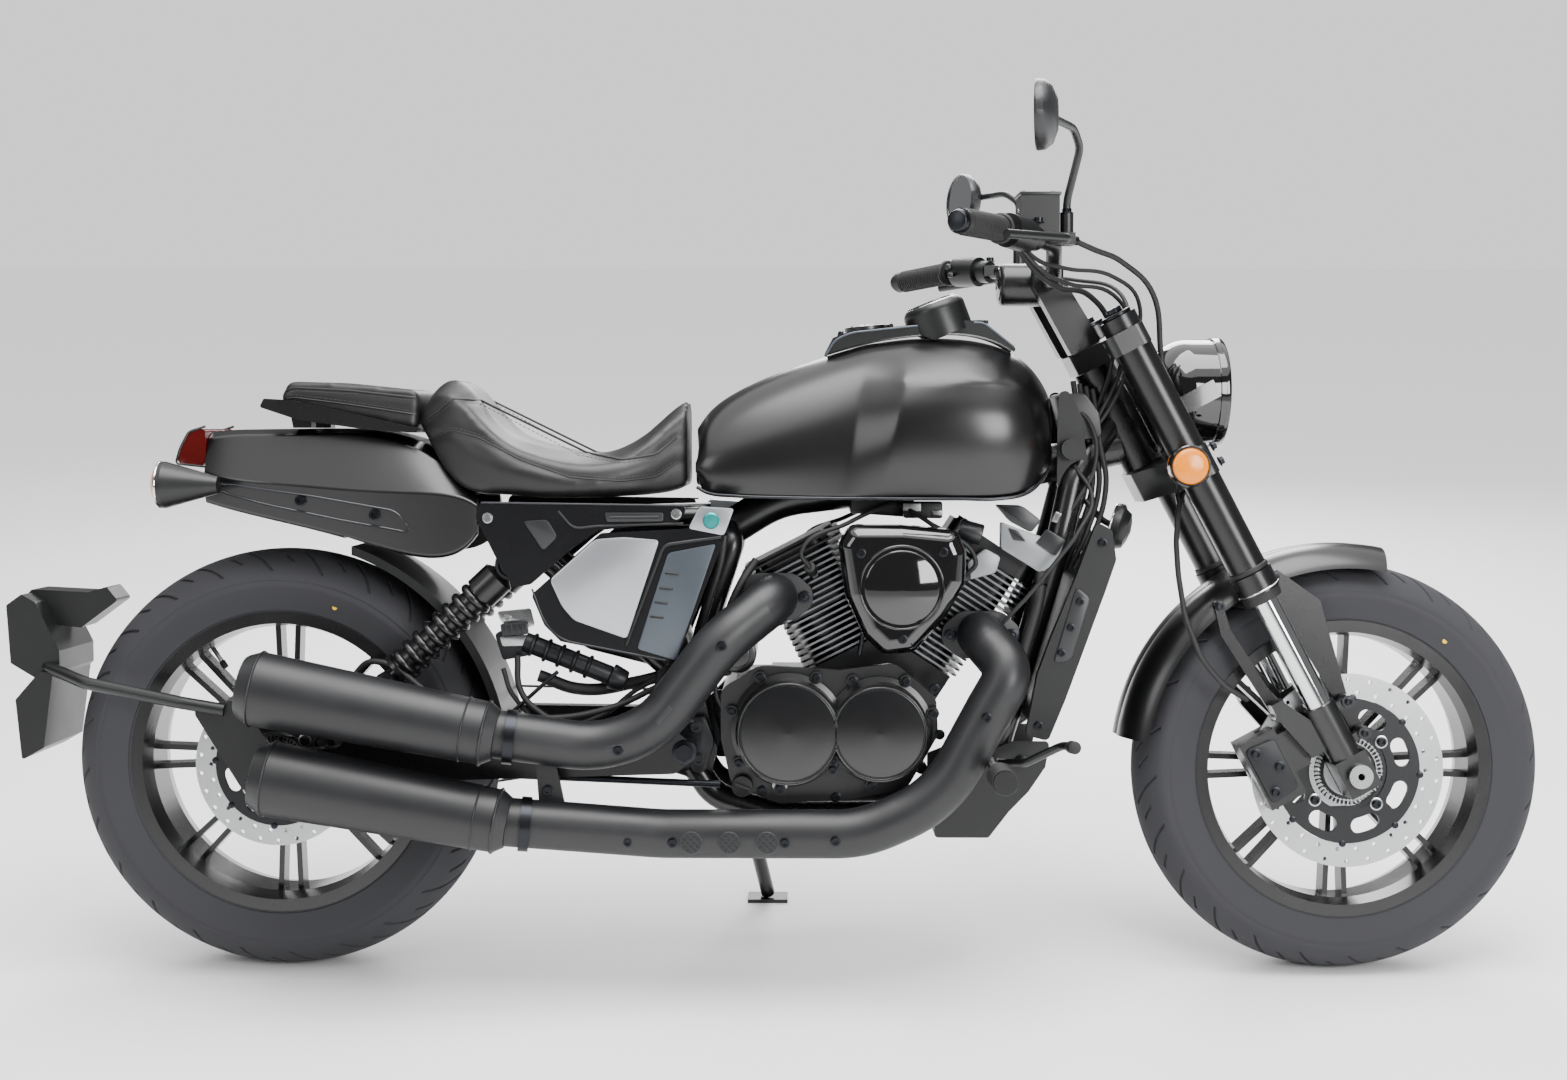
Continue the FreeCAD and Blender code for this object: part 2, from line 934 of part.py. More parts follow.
class Body:
    """A body built feature by feature from sketches whose points are tied to the sheet."""

    def __init__(self, name):
        self.name = name
        self.body = DOC.addObject("PartDesign::Body", name)

    def add(self, kind, word):
        return self.body.newObject(kind, "%s_%s" % (self.name, word))

    def sketch(self, role, away=0):
        """A sketch on one of the body's origin planes, or that far from it along its normal."""
        sketch = self.add("Sketcher::SketchObject", "sketch")
        plane = [item for item in self.body.Origin.OriginFeatures if item.Role == role][0]
        sketch.AttachmentSupport = [(plane, "")]
        sketch.MapMode = "FlatFace"
        sketch.AttachmentOffset = Placement(Vector(0, 0, away), Rotation())
        bind(sketch, AttachmentOffset__Base__z=away)
        return sketch

    def held(self, sketch, item, end, place, label, ties):
        """Holds a point of the sketch at two distances from its origin."""
        for kind, word, value in zip(("DistanceX", "DistanceY"), ("along", "up"), place):
            index = sketch.addConstraint(Sketcher.Constraint(kind, -1, 1, item, end, float(value)))
            name = "%s_%s" % (word, label)
            sketch.renameConstraint(index, name)
            ties["Constraints.%s" % name] = value

    def outline(self, sketch, points, corner=0, bulges=None):
        """A closed outline through the points, with a bulge on the runs that have one."""
        ties = {}
        bulges = bulges or {}
        first = sketch.GeometryCount
        ends = []
        for i, start in enumerate(points):
            start, end = Vector(*start, 0), Vector(*points[(i + 1) % len(points)], 0)
            if i in bulges:
                item = sketch.addGeometry(Part.Arc(start, Vector(*bulges[i], 0), end), False)
                through = sketch.getPoint(item, 1)
                ends.append((1, 2) if (through - start).Length < (through - end).Length else (2, 1))
            else:
                item = sketch.addGeometry(Part.LineSegment(start, end), False)
                ends.append((1, 2))
        for i, place in enumerate(points):
            after = (i + 1) % len(points)
            sketch.addConstraint(Sketcher.Constraint("Coincident", first + i, ends[i][1], first + after,
                                                     ends[after][0]))
            self.held(sketch, first + i, ends[i][0], place, "%s%d" % (sketch.Name[-3:], first + i), ties)
        for i, place in bulges.items():
            spot_item = sketch.addGeometry(Part.Point(Vector(*place, 0)), True)
            sketch.addConstraint(Sketcher.Constraint("PointOnObject", spot_item, 1, first + i))
            self.held(sketch, spot_item, 1, place, "bulge%d" % (first + i), ties)
        if corner:
            self.rounded(sketch, points, first, corner, ties)
        for path, value in ties.items():
            sketch.setExpression(path, formula(value))
        return sketch

    def rounded(self, sketch, points, first, corner, ties):
        """Rounds the corners of an outline of straight runs."""
        for i, place in enumerate(points):
            size = corner_size(points[i - 1], place, points[(i + 1) % len(points)], corner)
            if size:
                made = sketch.GeometryCount
                sketch.fillet(first + i, 1, float(size), True, True)
                index = sketch.addConstraint(Sketcher.Constraint("Radius", made, float(size)))
                name = "round_%d" % (first + i)
                sketch.renameConstraint(index, name)
                ties["Constraints.%s" % name] = size

    def circle(self, sketch, place, radius):
        ties = {}
        item = sketch.addGeometry(Part.Circle(Vector(*place, 0), Vector(0, 0, 1), float(radius)), False)
        self.held(sketch, item, 3, place, "centre%d" % item, ties)
        index = sketch.addConstraint(Sketcher.Constraint("Radius", item, float(radius)))
        sketch.renameConstraint(index, "radius_%d" % item)
        ties["Constraints.radius_%d" % item] = radius
        for path, value in ties.items():
            sketch.setExpression(path, formula(value))
        return sketch

    def pad(self, sketch, long, backward=False):
        pad = self.add("PartDesign::Pad", "pad")
        pad.Profile = sketch
        pad.Reversed = backward
        bind(pad, Length=long)
        return pad

    def turn(self, sketch):
        """Turns a profile of the plane across the machine about its axle."""
        turn = self.add("PartDesign::Revolution", "turn")
        turn.Profile = sketch
        turn.ReferenceAxis = (sketch, ["H_Axis"])
        turn.Angle = 360
        return turn

    def pierce(self, sketch):
        """Cuts a sketch right through, both ways from its plane."""
        hole = self.add("PartDesign::Pocket", "hole")
        hole.Profile = sketch
        hole.Type = "ThroughAll"
        hole.Midplane = True
        return hole

    def repeat(self, feature, sketch, count):
        """Repeats a feature round the normal of its sketch."""
        pattern = self.add("PartDesign::PolarPattern", "pattern")
        pattern.Originals = [feature]
        pattern.Axis = (sketch, ["N_Axis"])
        pattern.Angle = 360
        bind(pattern, Occurrences=count)
        self.body.Tip = pattern
        return pattern

    def fillet(self, feature, radius, wanted):
        """Rounds the wanted edges of a feature that is already built."""
        DOC.recompute()
        names = ["Edge%d" % (i + 1) for i, edge in enumerate(feature.Shape.Edges) if wanted(edge)]
        fillet = self.add("PartDesign::Fillet", "fillet")
        fillet.Base = (feature, names)
        bind(fillet, Radius=radius)
        return fillet


def slab(name, outline, low, high, corner=0):
    """An outline of (x, z) points as a body, thick from y = low to y = high."""
    made = Body(name)
    sketch = made.outline(made.sketch("XZ_Plane", -low), outline, corner)
    made.pad(sketch, high - low, backward=True)
    return made.body


def turned_body(name, profile, bulges=None):
    """A profile of (y, radius) points as a body, turned about its wheel's axle."""
    made = Body(name)
    made.turn(made.outline(made.sketch("YZ_Plane"), profile, bulges=bulges))
    return made


# Wheels

def tyre(name, radius, width, rim_width, lip, crown):
    """A tyre that sits between its rim's lips, with a round crown and full shoulders."""
    half = width / 2
    seat = rim_width / 2 - d.rim_lip_thick - d.seat_gap
    bead = lip - d.rim_lip_high + d.seat_gap
    wall = lip + d.rim_lip_thick
    shoulder = radius - crown * 0.42
    waist = (wall + shoulder) / 2
    profile = [(-seat, bead), (-seat, wall), (-half * 0.93, shoulder), (half * 0.93, shoulder),
               (seat, wall), (seat, bead)]
    bulges = {1: (-half * 0.985, waist - crown * 0.1), 2: (0, radius), 3: (half * 0.985, waist - crown * 0.1)}
    return turned_body(name, profile, bulges).body


def rim(name, width, lip):
    """A cast rim, hub and pairs of thin spokes."""
    half = width / 2
    base = lip - d.rim_lip_high
    inner = base - d.rim_wall
    bore = d.axle_radius + d.bearing_gap
    made = turned_body(name, [
        (-half, bore), (-half, d.hub_radius), (-d.spoke_deep, d.hub_radius), (-d.spoke_deep, d.hub_flange),
        (d.spoke_deep, d.hub_flange), (d.spoke_deep, d.hub_radius), (half, d.hub_radius), (half, bore),
    ])
    start = d.hub_flange - d.overrun
    end = inner + d.overrun * 2
    half_thick = d.spoke_thick / 2
    sketch = made.sketch("XZ_Plane", d.spoke_deep / 2)
    for side in SIDES:
        root = side * d.spoke_root
        tip = side * d.spoke_spread
        made.outline(sketch, [(start, root - half_thick), (end, tip - half_thick),
                              (end, tip + half_thick), (start, root + half_thick)])
    spokes = made.pad(sketch, d.spoke_deep, backward=True)
    made.repeat(spokes, sketch, d.spoke_pairs)
    made.turn(made.outline(made.sketch("YZ_Plane"), [
        (-half, inner + d.rim_well), (-half, lip), (-half + d.rim_lip_thick, lip),
        (-half + d.rim_lip_thick, base), (half - d.rim_lip_thick, base), (half - d.rim_lip_thick, lip),
        (half, lip), (half, inner + d.rim_well), (half / 2, inner), (-half / 2, inner),
    ]))
    return made.body


HOLE_ROW_SHARES = (0.3, 0.7)


def brake_disc(name, radius, side, hub_half):
    """A drilled ring on a slotted carrier, with the wheel sensor's ring, on the right side."""
    band = radius - d.disc_band
    low = -side - d.disc_thick / 2
    high = low + d.disc_thick
    spacer = d.sensor_ring_radius * 0.75
    end = -hub_half - d.seat_gap
    made = turned_body(name, [(low, d.carrier_bore), (low, radius), (high, radius),
                              (high, spacer), (end, spacer), (end, d.carrier_bore)])
    middle = (band + d.sensor_ring_radius) / 2
    sketch = made.circle(made.sketch("XZ_Plane"), (middle, 0), (band - d.sensor_ring_radius) * 0.36)
    made.repeat(made.pierce(sketch), sketch, d.disc_slots)
    sketch = made.sketch("XZ_Plane")
    for row, share in enumerate(HOLE_ROW_SHARES):
        place = polar(band + d.disc_band * share, row * 180 / (d.disc_slots * 3))
        made.circle(sketch, place, d.disc_thick * 0.8)
    made.repeat(made.pierce(sketch), sketch, d.disc_slots * 3)
    return made.body


def wheels():
    kept(tyre("front_tyre", d.front_radius, d.front_tyre_width, d.front_rim_width, d.front_lip,
              d.front_crown),
         FRONT_WHEEL)
    kept(rim("front_rim", d.front_rim_width, d.front_lip), FRONT_WHEEL)
    kept(brake_disc("front_disc", d.front_disc_radius, d.disc_side, d.front_rim_width / 2), FRONT_WHEEL)
    kept(tyre("rear_tyre", d.rear_radius, d.rear_tyre_width, d.rear_rim_width, d.rear_lip, d.rear_crown),
         REAR_WHEEL)
    kept(rim("rear_rim", d.rear_rim_width, d.rear_lip), REAR_WHEEL)
    kept(brake_disc("rear_disc", d.rear_disc_radius, d.rear_disc_side, d.rear_rim_width / 2), REAR_WHEEL)


def axle(half, placement, name):
    """A hollow axle with a square-shouldered head at each end."""
    shank = half - d.axle_nut_thick
    made = turned_body(name, [
        (-half, d.axle_bore), (-half, d.axle_nut_radius), (-shank, d.axle_nut_radius), (-shank,
                                                                                        d.axle_radius),
        (shank, d.axle_radius), (shank, d.axle_nut_radius), (half, d.axle_nut_radius), (half, d.axle_bore),
    ])
    kept(made.body, placement)


# Final drive

def sprocket(teeth, side):
    """A toothed plate with lightening holes."""
    pitch_radius = d.chain_pitch / (2 * math.sin(math.pi / teeth))
    root = pitch_radius - d.tooth_high * 0.6
    tip = root + d.tooth_high * 0.7
    outline = []
    for tooth in range(int(teeth)):
        for radius, share in ((root, -0.5), (root, -0.3), (tip, -0.1), (tip, 0.1), (root, 0.3)):
            outline.append(polar(radius, (tooth + share) * 360 / teeth))
    low = side - d.sprocket_thick / 2
    return plate(outline, low, low + d.sprocket_thick), root


def rear_sprocket():
    body, root = sprocket(d.rear_teeth, d.chain_side)
    low, high = d.rear_rim_width / 2 + d.seat_gap, d.chain_side + d.sprocket_thick * 1.2
    holes = [drum(0, 0, low - d.overrun, high + d.overrun, d.axle_radius + d.bearing_gap)]
    for i in range(6):
        x, z = polar(root * 0.68, i * 60)
        holes.append(drum(x, z, low, high, root * 0.17))
    boss = drum(0, 0, low, high, root * 0.45)
    node("rear_sprocket", joined([body, boss]).cut(apart(holes)), REAR_WHEEL)


def chain_loop(rear_radius, front_radius, low, high):
    """The stadium round both sprockets, thick across."""
    gap = math.hypot(d.drive_ahead, d.drive_up - d.rear_radius)
    tilt = math.degrees(math.atan2(d.drive_up - d.rear_radius, d.drive_ahead))
    lead = math.degrees(math.asin((rear_radius - front_radius) / gap))
    def at(x, z, radius, degrees):
        a, b = polar(radius, degrees)
        return Vector(x + a, low, z + b)
    rear, front = (0, d.rear_radius), (d.drive_ahead, d.drive_up)
    top, foot = tilt + 90 - lead, tilt - 90 + lead
    edges = [
        Part.LineSegment(at(*rear, rear_radius, top), at(*front, front_radius, top)),
        Part.Arc(at(*front, front_radius, top), at(*front, front_radius, tilt),
                 at(*front, front_radius, foot)),
        Part.LineSegment(at(*front, front_radius, foot), at(*rear, rear_radius, foot)),
        Part.Arc(at(*rear, rear_radius, foot), at(*rear, rear_radius, tilt + 180),
                 at(*rear, rear_radius, top)),
    ]
    wire = Part.Wire([edge.toShape() for edge in edges])
    return Part.Face(wire).extrude(ACROSS * (high - low))


def chain_path(rear_radius, front_radius):
    """The chain's pitch line, as a function from the way along it to a place and the outward direction."""
    gap = math.hypot(d.drive_ahead, d.drive_up - d.rear_radius)
    tilt = math.atan2(d.drive_up - d.rear_radius, d.drive_ahead)
    lead = math.asin((rear_radius - front_radius) / gap)
    straight = gap * math.cos(lead)
    top, wrap_front, wrap_rear = tilt + math.pi / 2 - lead, math.pi - 2 * lead, math.pi + 2 * lead
    spans = (straight, wrap_front * front_radius, straight, wrap_rear * rear_radius)

    def at(way):
        if way < spans[0]:
            return rear_radius, top, way, (0, d.rear_radius)
        way -= spans[0]
        if way < spans[1]:
            return front_radius, top - way / front_radius, 0, (d.drive_ahead, d.drive_up)
        way -= spans[1]
        if way < spans[2]:
            return front_radius, tilt - math.pi / 2 + lead, way, (d.drive_ahead, d.drive_up)
        way -= spans[2]
        return rear_radius, tilt - math.pi / 2 + lead - way / rear_radius, 0, (0, d.rear_radius)

    def place(way, out):
        radius, turn, run, centre = at(way % sum(spans))
        x = centre[0] + (radius + out) * math.cos(turn) + run * math.sin(turn)
        z = centre[1] + (radius + out) * math.sin(turn) - run * math.cos(turn)
        return x, z
    return place, sum(spans)


LINK_SHARES = ((0.0, 1.0), (0.2, 0.86), (0.5, 0.62), (0.8, 0.86))


def link_band(place, long, half, low, high):
    """The links' plates in one, waisted between the pins, from y = low to y = high."""
    count = round(long / d.chain_pitch)
    rows = []
    for facing in SIDES:
        rows.append([place((i + share) * long / count, facing * half * wide)
                     for i in range(count) for share, wide in LINK_SHARES])
    outer, inner = [Part.Face(Part.makePolygon([Vector(x, low, z) for x,
                                                z in row + row[:1]])) for row in rows]
    return outer.cut(inner).extrude(ACROSS * (high - low))


def drive_chain():
    """The chain's outer and inner plates, with a channel where the sprocket's teeth run."""
    rear = d.chain_pitch / (2 * math.sin(math.pi / d.rear_teeth))
    front = d.chain_pitch / (2 * math.sin(math.pi / d.front_teeth))
    half = d.chain_high / 2
    place, long = chain_path(rear, front)
    wide = d.sprocket_thick / 2 + d.chain_tooth_gap
    side, across = d.chain_side, d.chain_width / 2
    plates = [link_band(place, long, half, side + low, side + high) for low,
              high in ((-across, -wide), (wide, across))]
    core = chain_loop(rear + half * 0.62, front + half * 0.62, side - wide, side + wide)
    core = core.cut(chain_loop(rear + half * 0.2, front + half * 0.2, side - across, side + across))
    node("drive_chain", joined(plates + [core]))


# Chassis

def swingarm():
    outline = [
        (-d.arm_tip_high * 0.7, d.rear_radius - d.arm_tip_high / 2),
        (d.pivot_ahead - d.arm_high * 0.2, d.pivot_up - d.arm_high / 2),
        (d.pivot_ahead + d.arm_high * 0.4, d.pivot_up),
        (d.pivot_ahead - d.arm_high * 0.2, d.pivot_up + d.arm_high / 2),
        (d.shock_foot_ahead + d.arm_high, d.shock_foot_up - d.arm_high),
        (d.shock_foot_ahead + d.shock_eye_radius * 1.5, d.shock_foot_up),
        (d.shock_foot_ahead - d.shock_eye_radius * 1.5, d.shock_foot_up),
        (d.shock_foot_ahead - d.arm_high, d.rear_radius + d.arm_tip_high * 0.7),
        (-d.arm_tip_high * 0.7, d.rear_radius + d.arm_tip_high / 2),
    ]
    inner = d.arm_side - d.arm_thick / 2
    arm = slab("swingarm_side", outline, inner, inner + d.arm_thick, d.arm_tip_high * 0.4)
    fork_slot = d.shock_eye_wide / 2 + d.seat_gap
    slot = block_object("swingarm_slot", (d.shock_foot_ahead - 2 * d.arm_high, d.shock_side - fork_slot,
                                          d.shock_foot_up - d.shock_eye_radius * 1.6),
                        4 * d.arm_high, 2 * fork_slot, 2 * d.arm_high)
    bore = cross_pin("swingarm_bore", 0, d.rear_radius, 0, 2 * d.arm_side, d.axle_radius + d.seat_gap)
    arm = lessened("swingarm_bored", lessened("swingarm_slotted", arm, slot), bore)
    bridge_up = d.rear_radius + (d.pivot_up - d.rear_radius) * d.arm_bridge_ahead / d.pivot_ahead
    half = inner + d.weld_depth
    bridge = cross_pin("swingarm_bridge", d.arm_bridge_ahead, bridge_up, -half, half, d.arm_bridge_radius)
    pivot = cross_pin("swingarm_pivot", d.pivot_ahead, d.pivot_up, -half, half, d.arm_bridge_radius * 0.7)
    kept(merged("swingarm", [arm, reflected(arm), bridge, pivot]))
    half = d.arm_side + d.arm_thick / 2 + 2 * d.seat_gap + d.hanger_thick + d.axle_nut_thick
    axle(half, REAR_WHEEL, "rear_axle")


def shock_absorber(side):
    """A damper with its spring, drawn upright from its lower eye and then leaned."""
    long = math.hypot(d.shock_top_ahead - d.shock_foot_ahead, d.shock_top_up - d.shock_foot_up)
    seat = d.shock_eye_radius * 1.6
    can = long - d.shock_can_long
    rod_out, coil_out, wire = d.shock_rod_radius, d.spring_radius, d.spring_wire
    edges = []
    here = Vector(0, 0, 0)
    def line(x, z):
        nonlocal here
        there = Vector(x, 0, z)
        edges.append(Part.LineSegment(here, there).toShape())
        here = there
    neck = d.shock_eye_radius * 0.7
    line(neck, 0)
    line(neck, seat)
    line(coil_out, seat)
    line(coil_out, seat + wire)
    line(rod_out, seat + wire)
    step = (can - seat - wire) / d.spring_turns
    for turn in range(int(d.spring_turns)):
        low = seat + wire + step * (turn + 0.5) - wire
        line(rod_out, low)
        crest, end = Vector(coil_out, 0, low + wire), Vector(rod_out, 0, low + 2 * wire)
        edges.append(Part.Arc(here, crest, end).toShape())
        here = end
    line(rod_out, can)
    line(d.shock_can_radius, can)
    line(d.shock_can_radius, long - seat * 1.1)
    line(neck, long - seat * 0.7)
    line(neck, long)
    line(0, long)
    line(0, 0)
    body = Part.Face(Part.Wire(edges)).revolve(Vector(0, 0, 0), UP, 360)
    half = d.shock_eye_wide / 2
    eyes = [Part.makeCylinder(d.shock_eye_radius, 2 * half, Vector(0, -half, up), ACROSS) for up in (0, long)]
    body = joined([body] + eyes)
    tilt = math.degrees(math.atan2(d.shock_top_ahead - d.shock_foot_ahead, d.shock_top_up - d.shock_foot_up))
    body.Placement = Placement(Vector(d.shock_foot_ahead, side * d.shock_side, d.shock_foot_up),
                               Rotation(ACROSS, tilt))
    return body


def head_point(along, ahead=0):
    """A point (x, z) of the upright machine, given up the fork and ahead of the steering axis."""
    rake = math.radians(d.rake_angle)
    across = ahead - d.fork_offset
    x = d.wheelbase + across * math.cos(rake) - along * math.sin(rake)
    z = d.front_radius + across * math.sin(rake) + along * math.cos(rake)
    return x, z


def backbone(radius):
    """The tube under the tank, from the head back to the seat."""
    low = d.lower_clamp_up + d.lower_clamp_thick / 2 + d.overrun
    neck_x, neck_z = head_point(low + d.spine_neck_up, -d.head_radius * 0.6)
    spine = [(neck_x, 0, neck_z), (d.spine_front_ahead, 0, d.spine_front_up),
             (d.spine_knee_ahead, 0, d.spine_knee_up), (d.spine_foot_ahead, 0, d.spine_foot_up)]
    return tube(spine, d.spine_bend, radius)


CRADLE_SHARES = [(1.32, 1.0), (1.11, 0.275), (1.045, -0.01), (0.3, -0.02), (0.07, 0.055), (0.0, 0.165)]


def down_tube(side, radius):
    """One side of the cradle, from the head down, under the engine and up to the swingarm's pivot."""
    start_x, start_z = head_point(d.cradle_neck_up, -d.head_radius * 0.5)
    knee_x, knee_z = head_point(d.cradle_knee_up, -d.cradle_knee_behind)
    run = [(start_x, side * d.cradle_neck_side, start_z), (knee_x, side * d.cradle_knee_side, knee_z)]
    below = spot(d.cradle_rear, d.cradle_foot, d.cradle_long, d.cradle_high, CRADLE_SHARES)
    run += [(x, side * d.down_tube_side, z) for x, z in below]
    return tube(run, d.cradle_bend, radius)


UPRIGHT_SHARES = [(0.36, 1.0), (0.6, 0.96), (0.16, 0.4), (-0.08, -0.06)]
LUG_SHARES = [(-0.3, -0.35), (0.32, -0.55), (0.44, -0.05), (0.26, 0.65), (-0.1, 0.65), (-0.34, 0.15)]


def main_frame():
    low = d.lower_clamp_up + d.lower_clamp_thick / 2 + d.overrun
    high = d.clamp_up - d.clamp_thick / 2 - d.overrun
    foot_x, foot_z = head_point(low)
    top_x, top_z = head_point(high)
    head = rod((foot_x, 0, foot_z), (top_x, 0, top_z), d.head_radius)
    parts = [head, backbone(d.backbone_radius)]
    upright = spot(d.upright_ahead, d.upright_foot, d.upright_long, d.upright_high, UPRIGHT_SHARES)
    lug_size = d.pivot_lug_size
    lug = spot(d.pivot_ahead, d.pivot_up, lug_size, lug_size, LUG_SHARES)
    for side in SIDES:
        parts.append(down_tube(side, d.down_tube_radius))
        u = side * d.upright_side
        neck = (upright[0][0], side * d.upright_neck_side, upright[0][1])
        parts.append(tube([neck] + [(x, u, z) for x, z in upright[1:]], d.upright_bend, d.upright_radius))
        parts.append(plate(lug, u - d.pivot_lug_half, u + d.pivot_lug_half, d.pivot_lug_corner))
    parts.append(rod((d.upper_cross_ahead, -d.upright_side, d.upper_cross_up),
                     (d.upper_cross_ahead, d.upright_side, d.upper_cross_up), d.upright_radius))
    parts.append(rod((d.front_cross_ahead, -d.down_tube_side, d.front_cross_up),
                     (d.front_cross_ahead, d.down_tube_side, d.front_cross_up), d.upright_radius))
    pivot, heel, axis = stand_hinge()
    root = pivot - axis * (d.stand_radius + d.stand_ear_thick + d.seat_gap)
    parts.append(Part.makeCylinder(d.stand_ear_radius, d.stand_ear_thick, root, axis))
    strut_end = (d.stand_strut_ahead, d.down_tube_side + d.stand_strut_inset, d.stand_strut_up)
    parts.append(rod(tuple(root + axis * d.stand_strut_root), strut_end, d.stand_strut_radius))
    frame = joined(parts)
    under_x, under_z = head_point(low - d.head_bore_over)
    over_x, over_z = head_point(high + d.head_bore_over)
    frame = frame.cut(rod((under_x, 0, under_z), (over_x, 0, over_z), d.head_bore))
    half = d.upright_side + d.pivot_bore_over
    bore = drum(d.pivot_ahead, d.pivot_up, -half, half, d.arm_bridge_radius * 0.7 + d.seat_gap)
    node("main_frame", frame.cut(bore))


RAIL_SHARES = [(1.645, 0.08), (0.925, 0.0), (0.64, 0.22), (0.4, 0.46), (0.0, 0.66)]
GUSSET_SHARES = [(-0.25, 0.64), (0.27, 0.64), (0.21, -0.04), (0.0, -0.2), (-0.19, -0.04)]


def rear_subframe():
    rail = spot(d.rail_rear, d.rail_foot, d.rail_long, d.rail_rise, RAIL_SHARES)
    tail_up = rail[-1][1]
    gusset = spot(d.shock_top_ahead, d.shock_top_up, d.gusset_size, d.gusset_size, GUSSET_SHARES)
    parts = []
    for side in SIDES:
        y = side * d.rail_side
        tail = side * d.rail_tail_side
        run = [(x, y, z) for x, z in rail[:3]] + [(x, tail, z) for x, z in rail[3:]]
        parts.append(tube(run, d.rail_bend, d.rail_radius))
        stay = [(d.stay_foot_ahead, y, d.stay_foot_up), (d.shock_top_ahead, y, d.stay_top_up)]
        parts.append(tube(stay, 0, d.rail_radius))
        parts.append(plate(gusset, y - d.gusset_half, y + d.gusset_half, d.gusset_corner))
        pin_end = side * (d.shock_side - d.shock_eye_wide / 2 - d.seat_gap)
        parts.append(rod((d.shock_top_ahead, y, d.shock_top_up), (d.shock_top_ahead, pin_end, d.shock_top_up),
                         d.shock_pin_radius))
    for x, half, z in ((d.rail_rear, d.rail_tail_side, tail_up),
                       (d.shock_top_ahead, d.rail_side, d.rail_cross_up),
                       (d.stay_foot_ahead, d.rail_side, d.stay_foot_up)):
        parts.append(rod((x, -half, z), (x, half, z), d.rail_radius))
    node("rear_subframe", joined(parts))


CASE_SHARES = [(0.01, 0.45), (0.06, 0.12), (0.28, 0.0), (0.62, 0.03), (0.86, 0.11), (1.0, 0.48),
               (0.99, 0.74), (0.8, 0.98), (0.55, 0.93), (0.19, 0.96), (0.01, 0.8)]


def case_outline():
    rear = d.crank_ahead - d.case_behind
    foot = d.crank_up - d.case_below
    return spot(rear, foot, d.case_long, d.case_high, CASE_SHARES)


def crankcase():
    block = plate(case_outline(), -d.case_half, d.case_half, d.case_corner)
    clear = Part.makeBox(d.case_long * 0.25, d.case_half, d.case_high * 2,
                         Vector(d.crank_ahead - d.case_behind - d.case_margin, d.case_half * 0.7,
                                d.crank_up - d.case_high))
    above = Part.makeBox(2 * d.case_long, 4 * d.case_half, d.case_high,
                         Vector(d.crank_ahead - d.case_long, -2 * d.case_half, d.crank_up + d.case_deck_up))
    block = block.cut(clear).cut(above)
    decks = []
    for lean in (d.front_bank, -d.rear_bank):
        deck = Part.makeBox(2 * d.fin_half * 0.86, 2 * d.fin_half * 0.9, d.deck_up - d.seat_gap,
                            Vector(-d.fin_half * 0.86, -d.fin_half * 0.9, 0))
        deck.rotate(Vector(0, 0, 0), ACROSS, lean)
        deck.translate(Vector(d.crank_ahead, 0, d.crank_up))
        decks.append(deck)
    node("crankcase", joined([block] + decks))


COVER_BOLT_TURNS = (18, 62, 118, 162, 214, 262, 318)
SPROCKET_COVER_SHARES = [(-0.24, -0.31), (0.65, -0.31), (0.65, 0.3), (-0.1, 0.3), (-0.24, 0.15)]


def covers():
    """Round covers: clutch and alternator on the right, generator and sprocket cover on the left."""
    low = d.case_half + d.seat_gap
    right = []
    for x, radius in ((d.crank_ahead - d.clutch_behind, d.clutch_radius),
                      (d.crank_ahead, d.alternator_radius)):
        face, rim = d.cover_half, d.cover_rim
        profile = [(-low, 0), (-low, radius + rim * 0.6), (-low - rim * 1.4, radius + rim * 0.6),
                   (-low - rim * 1.6, radius), (-face + rim * 0.5, radius), (-face + rim * 0.15,
                                                                             radius - rim * 0.2),
                   (-face, radius - rim * 0.8), (-face, radius * 0.6), (-face + rim * 0.25, radius * 0.56),
                   (-face + rim * 0.25, 0)]
        right.append(turned(profile, Vector(x, 0, d.crank_up)))
        reach = radius + rim * 0.9
        for turn in COVER_BOLT_TURNS:
            a, b = polar(reach, turn)
            right.append(drum(x + a, d.crank_up + b, -low - rim * 1.8, -low, rim * 0.72))
    flange = plate(case_outline(), -low - d.cover_rim, -low, d.case_corner)
    node("engine_covers_right", joined(right + [flange]))
    x = d.crank_ahead
    left = turned([(low, 0), (low, d.left_cover_radius),
                   (d.left_cover_half - d.cover_rim, d.left_cover_radius),
                   (d.left_cover_half, d.left_cover_radius - d.cover_rim), (d.left_cover_half, 0)],
                  Vector(x, 0, d.crank_up))
    size = d.sprocket_cover_size
    guard = plate(spot(d.drive_ahead, d.drive_up, size, size, SPROCKET_COVER_SHARES),
                  low, low + d.sprocket_cover_thick, d.sprocket_cover_corner)
    node("engine_cover_left", joined([left, guard]))


def fin(half_x, half_y, up, thick):
    wire = rounded_path([(-half_x, -half_y, up), (half_x, -half_y, up), (half_x, half_y, up),
                         (-half_x, half_y, up)],
                        d.fin_corner, closed=True)
    return Part.Face(wire).extrude(UP * thick)


